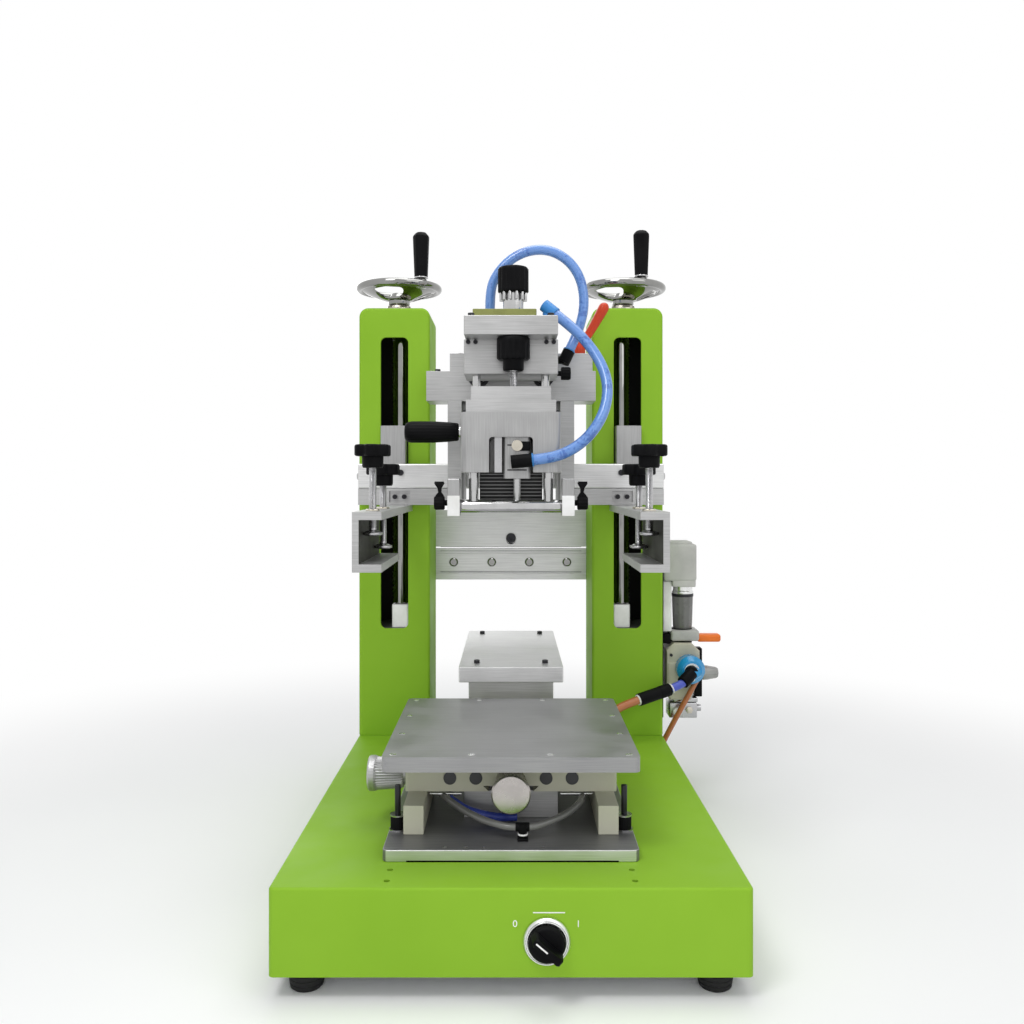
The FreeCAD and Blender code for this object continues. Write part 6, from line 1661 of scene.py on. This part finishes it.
    def make_handle(self) -> None:
        """The round black pull handle with its bright collar."""
        low, high = ends("pull_handle")
        middle = centre("pull_handle")
        face = Vector((high.x, middle.y, middle.z))
        reach = high.x - low.x
        radius = self.handle
        profile = [(radius - 2.6, 3.4, 0.0), (radius - 1.6, 4.4, 0.4), (radius - 0.8, 12.0, 1.0),
                   (radius, 26.0, 1.0), (radius, reach - 6.0, 1.0), (radius - 0.5, reach - 3.0, 0.5),
                   (radius - 1.8, reach - 0.9, 0.0), (radius - 3.6, reach, 0.0), (THINNEST, reach, 0.0)]
        work = grooved(profile, face, -Axis.X.vector, 20, 0.35, 4)
        put(work, "round_pull_handle", BLACK, "lower_head", ("pull_handle",), 50.0)
        neck = lathe(rounded_profile(disc(5.0, 0.0, 3.6), 0.4, 2), face, -Axis.X.vector, 40)
        put(neck, "handle_collar", CHROME, "lower_head")

    def make_cylinder(self) -> None:
        """The air cylinder: bright body and strip, black elbow, bright upper fitting."""
        def pick(middle: Vector, size: Vector) -> int:
            if size.z > 25:
                return 1 if size.x < 10 else 0
            return 2 if size.x > 10 else 3
        dressed("head_cylinder", ALUMINIUM_UP, 0.5, (STEEL, BLACK, NICKEL), pick)
        work = bmesh.new()
        for height in (329.5, 350.0):
            merge(work, rounded_box((-3.0, -54.25, height), (13.0, -53.6, (height + 1.1)), 0.1, 1))
        put(work, "cylinder_sensor_rails", DARK_STEEL, "lower_head")
        elbow = rounded_box((6.6, -57.2, 345.8), (15.6, -53.9, 353.4), 0.8)
        put(elbow, "cylinder_elbow", BLACK, "lower_head")

    def make_fittings(self) -> None:
        """The black push-in fittings on the head, each with a release ring."""
        dressed("hose_fittings", BLACK, 0.4, (BLUE,), lambda middle, _: int(middle.y < 10.0 and middle.z > 440.0))

    def make_screws(self) -> None:
        """Black cap screws in the gaps of the head, and the middle block's thumb screw."""
        carriage = ScrewSet("head_screws", Screw.SOCKET, "carriage", DARK_STEEL)
        for x in (-33.0, 33.0):
            for y in (-50.0, 22.0):
                carriage.add((x, y, 456.9), (0, 0, 1), 2.7)
        for x in (-36.3, -30.0, 30.0, 36.3):
            carriage.add((x, -29.9, 438.8), (0, -1, 0), 1.9)
        carriage.build()
        lower = ScrewSet("housing_screws", Screw.SOCKET, "lower_head", DARK_STEEL)
        for x in (-37.9, 37.9):
            for y in (-54.0, 9.0):
                lower.add((x, y, 377.4), (0, 0, 1), 1.7)
        lower.build()
        thumb = grooved([(THINNEST, 0.0, 0.0), (2.2, 0.0, 0.0), (2.2, 3.0, 0.0), (5.2, 3.0, 0.0), (5.6, 3.8, 1.0),
                         (5.6, 10.0, 1.0), (4.8, 11.2, 0.0), (THINNEST, 11.2, 0.0)], Vector((39.8, -22.0, 413.0)),
                        Axis.X.vector, 12, 0.6, 6)
        put(thumb, "block_thumb_screw", BLACK, "carriage", (), 50.0)


@dataclass
class Squeegee:
    """The holder under the housing: bright rods and bar, two end blocks and black thumb screws."""

    rod: float = 4.0
    piston: float = 3.0
    rib_pitch: float = 3.0
    ribs: int = 8

    def build(self) -> None:
        """Make the holder, its screws and the ribbed strip behind it."""
        self.make_holder()
        self.make_thumb_screws()
        self.make_ribbed_strip()

    def make_holder(self) -> None:
        """Chrome rods and bar between brushed blocks with paler feet."""
        dressed("squeegee_holder", ALUMINIUM_UP, 0.7, dropped=lambda _, size: size.x < 9.0 or size.z < 15)
        low, high = ends("squeegee_holder")
        y = centre("squeegee_holder").y
        work = bmesh.new()
        for x, radius, top in ((-31.0, self.rod, high.z), (31.0, self.rod, high.z), (5.0, self.piston, 340.0)):
            merge(work, bar((x, y, 296.0), (x, y, top), radius, 0.5))
        merge(work, bar((low.x + 1.0, y, 300.0), (high.x - 1.0, y, 300.0), 5.6, 0.6, 64))
        put(work, "bright_rods_and_bar", CHROME, "squeegee")
        feet = bmesh.new()
        for side in (-1, 1):
            merge(feet, rounded_box((side * 47.2 - 5.1, y - 10.15, 292.2), (side * 47.2 + 5.1, y - 9.4, 309.0), 0.3,
                                    2))
        put(feet, "pale_block_fronts", NYLON, "squeegee")

    def make_thumb_screws(self) -> None:
        """Two black thumb screws, each with a flared wing above its hub and a tail below."""
        outline = [(55.6, 299.6), (58.2, 297.6), (60.6, 299.4), (63.2, 302.2), (64.0, 306.0), (62.4, 309.4),
                   (60.4, 311.6), (61.2, 315.6), (63.6, 319.0), (63.4, 320.6), (56.2, 320.6), (55.4, 319.0),
                   (57.6, 315.6), (57.8, 311.6), (56.2, 309.4), (55.0, 306.0), (55.0, 302.0)]
        y = centre("thumb_screws").y
        work = bmesh.new()
        for side in (-1, 1):
            points = [(side * x, z) for x, z in outline]
            merge(work, extruded(points, -3.0, 3.0, 0.8, Vector((0.0, y, 0.0)), -Axis.Y.vector))
            merge(work, bar((side * 52.2, y, 302.8), (side * 56.0, y, 302.8), 2.4, 0.3, 32))
            hub = grooved([(THINNEST, 0.0, 0.0), (5.2, 0.0, 0.0), (5.9, 0.8, 1.0), (5.9, 7.4, 1.0), (5.0, 8.6, 0.0),
                           (THINNEST, 8.6, 0.0)], Vector((side * 55.2, y, 302.8)), side * Axis.X.vector, 12, 0.5, 6)
            merge(work, hub)
        put(work, "winged_thumb_screws", BLACK, "squeegee", ("thumb_screws",), 50.0)

    def make_ribbed_strip(self) -> None:
        """A comb of thin plates that hangs behind the rods, dark with painted shade."""
        top = corner("head_housing", False).z
        outline = [(-31.0, top)]
        foot = top - self.ribs * self.rib_pitch
        for rib in range(self.ribs):
            height = top - rib * self.rib_pitch
            outline += [(-32.2, height - 0.3 * self.rib_pitch), (-32.2, height - 0.6 * self.rib_pitch),
                        (-31.0, height - 0.9 * self.rib_pitch)]
        work = bmesh.new()
        rings = []
        for x in (-26.5, 26.5):
            rings.append([work.verts.new((x, y, z)) for y, z in [(-24.0, top), *outline, (-24.0, foot)]])
        closed(work, rings)
        put(work, "ribbed_strip", RIB_PAINTED_SHADE, "lower_head")


@dataclass(frozen=True)
class Route:
    """A hose's line by given points and its diameter, in millimetres, with its real length in metres."""

    name: str
    body: str
    points: tuple[Point, ...]
    length: float
    diameter: float
    finish: Finish

    def curve(self, node: str, pieces: tuple[bpy.types.Object, ...] = ()) -> bpy.types.Object:
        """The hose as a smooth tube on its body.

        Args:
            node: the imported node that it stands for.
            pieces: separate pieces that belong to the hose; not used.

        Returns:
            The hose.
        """
        data = bpy.data.curves.new(self.name, "CURVE")
        data.dimensions = "3D"
        spline = data.splines.new("NURBS")
        spline.points.add(len(self.points) - 1)
        for point, spot in zip(spline.points, self.points):
            point.co = (*(value * MM for value in spot), 1.0)
        spline.order_u = 3
        spline.use_endpoint_u = True
        data.resolution_u = 12
        data.bevel_depth = self.diameter * MM / 2
        data.bevel_resolution = 8
        data.use_fill_caps = True
        data.materials.append(self.finish.material())
        piece = bpy.data.objects.new(self.name, data)
        bpy.context.scene.collection.objects.link(piece)
        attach(piece, self.body)
        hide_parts(node)
        tuple(value * MM for value in self.points[0])
        LOG.info("%s on %s", self.name, self.body)
        return piece


ELBOW_HOSE = Route("elbow_hose", "carriage", (
    (17.0, -66.5, 338.0), (32.5, -67.0, 339.5), (48.5, -65.5, 345.5), (62.5, -61.5, 356.0),
    (73.5, -55.5, 370.5), (80.0, -48.5, 388.0), (80.5, -41.0, 406.0), (74.5, -33.5, 423.5),
    (64.0, -26.5, 440.0), (51.0, -21.0, 454.0), (37.5, -16.5, 465.5)), 0.1873, 9.0, HOSE)
ARCH_HOSE = Route("arch_hose", "carriage", (
    (-19.0, 24.0, 472.0), (-19.0, 24.0, 486.0), (-17.0, 26.0, 501.0), (-8.5, 26.0, 514.5),
    (4.0, 25.5, 525.0), (19.5, 25.0, 530.5), (35.5, 25.0, 530.0), (50.0, 25.0, 522.5),
    (60.5, 25.0, 510.0), (65.5, 24.5, 494.0), (66.0, 23.5, 477.5), (62.5, 22.0, 462.0),
    (57.5, 20.5, 449.0), (52.0, 18.5, 437.5)), 0.2025, 9.0, HOSE)
SUPPLY_TUBE = Route("supply_tube", "root", (
    (66.0, 40.0, 84.0), (78.5, 50.0, 93.5), (92.5, 60.5, 101.0), (107.5, 71.3, 107.0),
    (122.9, 77.95, 110.5)), 0.0742, 8.0, RED_TUBE)
REGULATOR_LINK = ((144.9, 87.45, 115.5), (155.9, 92.2, 118.0), (168.0, 96.5, 122.5), (178.0, 103.0, 127.5))


@dataclass
class Hoses:
    """The blue air hoses on the head and the red tube up to the air unit."""

    link_radius: float = 4.0

    def build(self) -> None:
        """Make the hoses and the rings where they enter their fittings."""
        ELBOW_HOSE.curve("air_hose_a")
        ARCH_HOSE.curve("air_hose_b")
        line = smooth_line([Vector(spot) for spot in REGULATOR_LINK])
        link = swept(line, [self.link_radius] * len(line), 32)
        piece = put(link, "regulator_link", BLUE_LINK, "root", (), 60.0)
        SUPPLY_TUBE.curve("supply_tubes", (piece,))
        self.make_release_rings()

    def make_release_rings(self) -> None:
        """A thin ring where each hose enters its fitting."""
        blue, pale = bmesh.new(), bmesh.new()
        for route in (ELBOW_HOSE, ARCH_HOSE):
            for end, neighbour in ((route.points[0], route.points[1]), (route.points[-1], route.points[-2])):
                merge(blue, self.ring(end, neighbour, route.diameter / 2))
        put(blue, "hose_release_rings", BLUE, "carriage")
        for points in (SUPPLY_TUBE.points, REGULATOR_LINK[1:]):
            for end, neighbour in ((points[0], points[1]), (points[-1], points[-2])):
                merge(pale, self.ring(end, neighbour, self.link_radius))
        put(pale, "tube_release_rings", NYLON, "root")

    def ring(self, end: Point, neighbour: Point, radius: float) -> bmesh.types.BMesh:
        """One ring round a hose's end, against its fitting."""
        spot = Vector(end)
        along = (Vector(neighbour) - spot).normalized()
        outline = [(radius + 0.1, 0.1), (radius + 1.1, 0.1), (radius + 1.1, 1.0), (radius + 0.7, 1.5),
                   (radius + 0.1, 1.5), (radius + 0.1, 0.1)]
        return lathe(outline, spot, along, 40)


@dataclass
class Table:
    """The work table: base plate, rails and nut, two cream stages, the top plate and the knobs."""

    front_radius: float = 13.5
    side_radius: float = 12.7
    flutes: int = 36
    hole_shade_radius: float = 4.6

    def build(self) -> None:
        """Make the table from its base plate up."""
        plate = dressed("table_base_plate", PLATE, 0.7, (PALE,))
        # Its front faces take the paler aluminium: a painted highlight on the plate's lit front edge.
        for face in plate.data.polygons:
            face.material_index = int(face.normal.y < -0.9)
        dressed("table_lower_stage", CREAM, 0.5, (ALUMINIUM,), lambda middle, size: 1 if size.x > 30 else 0)
        dressed("table_middle_stage", CREAM, 0.5, (DARK_STEEL,), lambda middle, size: 1 if size.x < 20 else 0)
        dressed("table_upper_stage", CREAM, 0.5)
        dressed("table_top_plate", PLATE_TOP, 0.8)
        self.make_knob("table_front_knob", "front_knob", Axis.Y.vector, self.front_radius)
        self.make_knob("table_side_knob", "side_knob", Axis.X.vector, self.side_radius)
        self.make_top_screws()
        self.make_stage_hole_shade()
        self.make_corner_rods()
        self.make_gap_shade()
        self.make_vacuum_tubes()

    def make_knob(self, node: str, body: str, axis: Vector, radius: float) -> None:
        """A bright knob: plain conical face ring, turned face and a knurled waist behind.

        Args:
            node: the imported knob.
            body: the body that it turns with.
            axis: the axis it lies along, pointing into the table.
            radius: the knob's radius.
        """
        low, high = ends(node)
        middle = centre(node)
        face = Vector((low.x, middle.y, middle.z)) if axis.x else Vector((middle.x, low.y, middle.z))
        length = (high.x - low.x) if axis.x else (high.y - low.y)
        head = 26.0 if axis.x else 28.0
        hub = min(head + 7.6, length - 1.0)
        profile = [(THINNEST, 0.6, 0.0), (radius - 2.0, 0.0, 0.0), (radius - 0.9, 0.3, 0.0), (radius, 1.4, 0.0),
                   (radius, 5.0, 0.0), (radius - 0.5, 6.0, 0.3), (radius - 0.9, 7.4, 1.0),
                   (radius - 2.2, head - 1.2, 1.0), (radius - 3.2, head, 0.0), (8.0, head, 0.0),
                   (7.6, hub - 0.3, 0.0), (4.0, hub, 0.0), (4.0, length - 0.6, 0.0), (3.4, length, 0.0),
                   (THINNEST, length, 0.0)]
        work = grooved(profile, face, axis, self.flutes, 0.75, 6)
        put(work, node + "_knurled", TURNED if not axis.x else ALUMINIUM, body, (node,), 30.0)

    def make_stage_hole_shade(self) -> None:
        """Four dark discs in the middle stage's front, painted shade of its round holes, and a bright guide bar under
        each side of it.
        """
        front = corner("table_middle_stage", False).y
        hole_shades = bmesh.new()
        for x in (-43.9, -25.3, 25.3, 43.9):
            outline = [(0.0, -1.0), (self.hole_shade_radius, -1.0), (self.hole_shade_radius, 0.12),
                       (self.hole_shade_radius - 0.3, 0.2), (0.0, 0.2)]
            merge(hole_shades, lathe(outline, Vector((x, front, 107.4)), -Axis.Y.vector, 40))
        put(hole_shades, "stage_plugs", GREY_DARK, "table_carriage")
        bars = bmesh.new()
        for side in (-1, 1):
            merge(bars, bar((side * 35.5, front + 1.5, 96.0), (side * 58.5, front + 1.5, 96.0), 1.2, 0.2, 24))
        put(bars, "guide_bars", RING, "table_carriage")

    def make_top_screws(self) -> None:
        """Countersunk screws in the top plate's twelve holes and the base plate's front edge."""
        low, high = ends("table_top_plate")
        screws = ScrewSet("top_plate_screws", Screw.SUNK, "table_top", RING)
        half = 78.5
        middle = (low + high) / 2
        for column in range(4):
            for row in range(4):
                if 0 < column < 3 and 0 < row < 3:
                    continue
                spot = (middle.x - half + column * half * 2 / 3, middle.y - half + row * half * 2 / 3, high.z + 0.02)
                screws.add(spot, (0, 0, 1), 2.3)
        screws.build()
        plate = corner("table_base_plate", True)
        front = corner("table_base_plate", False).y
        small = ScrewSet("base_plate_screws", Screw.SUNK, "root", STEEL)
        for x in (-44.0, -30.0, -18.0, 21.0):
            small.add((x, front + 5.0, plate.z - 0.02), (0, 0, 1), 1.4)
        small.build()

    def make_corner_rods(self) -> None:
        """Black stop rods in ribbed sleeves on bright washers at the base plate's corners."""
        top = corner("table_base_plate", True).z
        rods = bmesh.new()
        washers = bmesh.new()
        sleeves = bmesh.new()
        for x in (-79.0, 79.0):
            for y in (-172.0, -72.0):
                spot = Vector((x, y, top))
                ring = tube(2.6, 6.0, -0.2, 1.0)
                merge(washers, lathe(ring, spot, Axis.Z.vector, 40))
                upper = tube(2.2, 5.4, 9.8, 10.8)
                merge(washers, lathe(upper, spot, Axis.Z.vector, 40))
                profile = [(THINNEST, 0.8, 0.0), (5.1, 0.8, 0.6), (5.1, 9.4, 1.0), (4.6, 9.9, 0.0), (THINNEST, 9.9, 0.0)]
                merge(sleeves, grooved(profile, spot, Axis.Z.vector, 24, 0.3, 4))
                merge(rods, bar(spot + Vector((0.0, 0.0, 9.0)), spot + Vector((0.0, 0.0, 31.0)), 2.1, 0.4, 32))
        put(washers, "corner_washers", STEEL, "root")
        put(sleeves, "corner_sleeves", BLACK, "root", (), 50.0)
        put(rods, "corner_stop_rods", DARK_STEEL, "root")

    def make_gap_shade(self) -> None:
        """A black strip along the base plate's lower front edge, between its end pads: painted shade of the gap under
        the plate.
        """
        low, high = ends("table_base_plate")
        work = rounded_box((low.x + 16.0, low.y - 0.12, low.z + 0.02), (high.x - 14.0, low.y + 1.0, low.z + 1.1),
                           0.05, 1)
        put(work, "base_plate_gap", BLACK, "root")

    def make_vacuum_tubes(self) -> None:
        """The black tee in front of the nut, with a clear tube to each side and a blue one behind."""
        top = corner("table_base_plate", True).z
        tee = Vector((8.0, -192.0, top))
        work = bar(tuple(tee), (tee.x, tee.y, tee.z + 11.0), 2.9, 0.5, 32)
        merge(work, bar((tee.x - 5.0, tee.y + 1.0, tee.z + 8.4), (tee.x + 4.6, tee.y + 1.0, tee.z + 8.4), 3.0, 0.6,
                        32))
        merge(work, rounded_box((tee.x - 3.6, tee.y - 3.6, tee.z), (tee.x + 3.6, tee.y + 3.6, tee.z + 1.8), 0.6, 2))
        put(work, "vacuum_tee", BLACK, "root", (), 50.0)
        ring = tube(3.0, 3.5, 0.0, 1.0)
        clip = lathe(ring, tee + Vector((0.0, 0.0, 3.6)), Axis.Z.vector, 32)
        put(clip, "tee_clip", NYLON, "root")
        left = [(3.6, -191.0, 86.2), (-4.0, -190.0, 86.4), (-18.0, -183.0, 88.0), (-32.0, -172.0, 90.6),
                (-43.0, -160.0, 93.4), (-50.0, -149.0, 94.8)]
        right = [(12.0, -191.0, 86.2), (19.0, -190.0, 87.0), (31.0, -184.0, 89.4), (42.0, -174.0, 91.6),
                 (49.0, -162.0, 93.6), (52.0, -149.0, 94.8)]
        tubes = bmesh.new()
        for spots in (left, right):
            line = smooth_line([Vector(spot) for spot in spots])
            merge(tubes, swept(line, [2.4] * len(line), 20))
        put(tubes, "clear_vacuum_tubes", SMOKE, "root", (), 60.0)
        back = smooth_line([Vector(spot) for spot in ((-44.0, -153.0, 93.0), (-38.0, -156.0, 90.0),
                                                      (-31.0, -158.5, 86.8), (-20.0, -160.0, 84.0),
                                                      (-8.0, -160.0, 82.2), (4.0, -158.0, 81.6))])
        blue = swept(back, [2.9] * len(back), 20)
        put(blue, "blue_table_tube", BLUE_DEEP, "root", (), 60.0)


def smooth_line(spots: list[Vector], steps: int = 6) -> list[Vector]:
    """A smooth line through given spots, for short fixed tubes.

    Args:
        spots: the spots in order.
        steps: points between one spot and the next.

    Returns:
        The line, from the first spot to the last.
    """
    line = []
    padded = [spots[0] * 2 - spots[1], *spots, spots[-1] * 2 - spots[-2]]
    for before, start, end, after in zip(padded, padded[1:], padded[2:], padded[3:]):
        for step in range(steps):
            t = step / steps
            line.append(0.5 * ((2 * start) + (end - before) * t + (2 * before - 5 * start + 4 * end - after) * t ** 2
                               + (3 * start - before - 3 * end + after) * t ** 3))
    line.append(spots[-1].copy())
    return line


@dataclass
class AirUnit:
    """The air unit on the right column: plate, filter with bowl, regulator, collar and valve."""

    side: float = 154.0
    y: float = 142.0
    bowl: float = 10.8

    def build(self) -> None:
        """Make the unit from its plate out."""
        dressed("air_plate", BLACK, 0.6)
        self.make_pale_plate()
        self.make_filter()
        self.make_regulator()
        self.make_valve()
        self.make_fittings()
        self.make_screws()

    def block(self, x: tuple[float, float], depth: float, z: tuple[float, float], ease: float) -> bmesh.types.BMesh:
        """A rounded block of the unit, in millimetres from the side plate and the floor."""
        return rounded_box((self.side + x[0], self.y - depth / 2, z[0]),
                           (self.side + x[1], self.y + depth / 2, z[1]), ease, 3)

    def make_pale_plate(self) -> None:
        """The pale guard left of the bowl."""
        work = self.block((0.4, 9.4), 24.0, (168.0, 219.0), 1.2)
        put(work, "pale_bowl_guard", NYLON, "root")

    def make_filter(self) -> None:
        """The grey filter head with a lid, a clear band with its dark line and the ribbed smoky bowl."""
        work = self.block((0.2, 34.0), 34.0, (219.6, 257.0), 2.4)
        merge(work, self.block((9.4, 33.2), 32.0, (213.6, 222.0), 1.2))
        merge(work, self.block((2.0, 30.0), 29.0, (255.0, 259.5), 1.6))
        put(work, "filter_head", GREY, "root", ("air_unit",))
        middle = Vector((self.side + 22.4, self.y, 0.0))
        band = rounded_profile([(0.0, 205.6), (self.bowl + 0.1, 205.6), (self.bowl + 0.1, 208.0),
                                (self.bowl - 0.9, 209.0), (self.bowl - 0.4, 214.4), (0.0, 214.4)], 0.4, 2)
        put(lathe(band, middle, Axis.Z.vector, 56), "clear_band", RING, "root")
        line = rounded_profile(disc(self.bowl + 0.3, 202.6, 205.8), 0.5, 2)
        put(lathe(line, middle, Axis.Z.vector, 56), "bowl_ring", DARK_STEEL, "root")
        profile = [(THINNEST, 169.4, 0.0), (self.bowl - 2.0, 169.4, 0.0), (self.bowl - 1.2, 170.6, 0.6),
                   (self.bowl - 0.8, 174.0, 1.0), (self.bowl, 200.0, 1.0), (self.bowl, 203.4, 0.0),
                   (THINNEST, 203.4, 0.0)]
        bowl = grooved(profile, middle, Axis.Z.vector, 12, 0.35, 8)
        put(bowl, "smoky_bowl", SMOKE, "root", (), 60.0)

    def make_regulator(self) -> None:
        """The beige body with cut corners and a narrower foot, its neck, the orange slide and the side knob."""
        outline = [(37.0, 119.0), (37.0, 149.0), (29.0, 156.8), (11.0, 156.8), (3.4, 150.0), (3.4, 106.0),
                   (7.0, 99.5), (28.0, 99.5), (33.0, 112.0)]
        spots = [(self.side + x, z) for x, z in reversed(outline)]
        work = extruded(spots, -16.0, 16.5, 1.4, Vector((0.0, self.y, 0.0)), -Axis.Y.vector)
        merge(work, self.block((4.4, 14.4), 34.4, (112.0, 138.0), 1.6))
        put(work, "regulator_body", BEIGE, "root")
        neck = self.block((8.6, 37.4), 27.0, (158.2, 169.4), 2.6)
        put(neck, "regulator_collar", GREY, "root")
        inner = rounded_profile(disc(11.0, 155.0, 170.0), 0.5, 2)
        middle = Vector((self.side + 21.0, self.y, 0.0))
        dark = lathe(inner, middle, Axis.Z.vector, 48)
        merge(dark, self.block((0.4, 8.8), 22.0, (155.4, 165.6), 1.0))
        merge(dark, self.block((34.0, 41.6), 12.0, (100.4, 150.0), 1.0))
        put(dark, "regulator_neck", BLACK, "root")
        tab = self.block((36.6, 60.8), 13.0, (156.2, 164.0), 2.4)
        put(tab, "orange_slide", TAB, "root")
        knob = [(THINNEST, 0.0, 0.0), (7.0, 0.0, 0.0), (7.6, 1.0, 0.0), (7.4, 5.0, 0.6), (6.6, 9.0, 1.0),
                (5.8, 14.4, 1.0), (4.6, 16.4, 0.0), (2.6, 17.0, 0.0), (THINNEST, 17.2, 0.0)]
        dial = grooved(knob, Vector((self.side + 42.0, self.y, 124.0)), Axis.X.vector, 16, 0.3, 6)
        merge(dial, bar((self.side + 34.0, self.y, 124.0), (self.side + 43.0, self.y, 124.0), 6.4))
        put(dial, "grey_side_knob", CLEAR, "root", (), 50.0)

    def make_valve(self) -> None:
        """The bright drain valve below, with a round face, a brass hexagon and a top flange."""
        work = self.block((7.0, 35.4), 23.0, (80.0, 95.6), 1.2)
        merge(work, self.block((11.0, 35.8), 24.4, (96.2, 100.4), 0.8))
        merge(work, bar((self.side + 35.0, self.y, 88.0), (self.side + 41.0, self.y, 88.0), 3.6))
        put(work, "bright_valve", STEEL, "root")
        front = self.y - 11.5
        face = bar((self.side + 15.0, front + 1.0, 86.4), (self.side + 15.0, front - 2.2, 86.4), 4.4)
        put(face, "valve_face", NYLON, "root")
        nut = bar((self.side + 27.0, front + 1.0, 88.6), (self.side + 27.0, front - 3.0, 88.6), 3.8, 0.4, 6)
        put(nut, "valve_hexagon", NICKEL, "root")

    def make_fittings(self) -> None:
        """Blue collar with a pale nose, black elbow and union, and the base's own fitting."""
        dressed("air_fittings", BLUE_BRIGHT, 0.5, (BLACK,), lambda middle,
                size: 0 if middle.x > 160 and size.z > 20 else 1)
        nose = [(0.0, 0.0), (7.6, 0.0), (7.2, 1.3), (0.0, 1.6)]
        put(lathe(nose, Vector((180.0, 109.1, 132.0)), -Axis.Y.vector, 48), "collar_nose", NYLON, "root")
        elbow = bar((168.4, 97.0, 122.8), (179.4, 104.6, 131.0), 6.3, 0.8)
        merge(elbow, bar((179.0, 110.0, 131.6), (179.0, 102.6, 130.6), 6.6, 1.2))
        merge(elbow, bar((143.6, 86.9, 115.2), (154.6, 91.6, 117.7), 6.2, 0.8))
        merge(elbow, bar((149.6, 126.2, 51.6), (152.8, 126.2, 51.6), 4.4, 0.6))
        put(elbow, "elbow_sleeves", BLACK, "root", (), 60.0)
        drain = smooth_line([Vector(spot) for spot in ((190.0, 120.0, 124.5), (184.0, 119.0, 116.0),
                                                       (174.5, 118.4, 99.5), (164.5, 119.5, 80.5),
                                                       (157.0, 122.5, 64.5), (151.0, 127.0, 50.0))])
        tube = swept(drain, [2.0 + min(step / 8, 1.0) * 0.7 for step in range(len(drain))], 20)
        put(tube, "drain_tube", RED_TUBE, "root", (), 60.0)

    def make_screws(self) -> None:
        """Small screws of the plate and the regulator."""
        screws = ScrewSet("air_unit_screws", Screw.SOCKET, "root", DARK_STEEL)
        for x, height in ((8.0, 145.0), (32.0, 117.0)):
            screws.add((self.side + x, self.y - 16.6, height), (0, -1, 0), 1.5)
        screws.build()


def main() -> None:
    """Build the studio and every sub-assembly."""
    logging.basicConfig(level=logging.INFO, format="%(name)s: %(message)s")
    Studio().build()
    assemblies = [BaseBox(), Columns(), Bridge(), PrintHead(), Squeegee(), Hoses(), Table(), AirUnit()]
    for side, name in ((-1, "left"), (1, "right")):
        assemblies += [LiftDrive(side, name), ClampArm(side, name)]
    for assembly in assemblies:
        assembly.build()


if __name__ == "__main__":
    main()
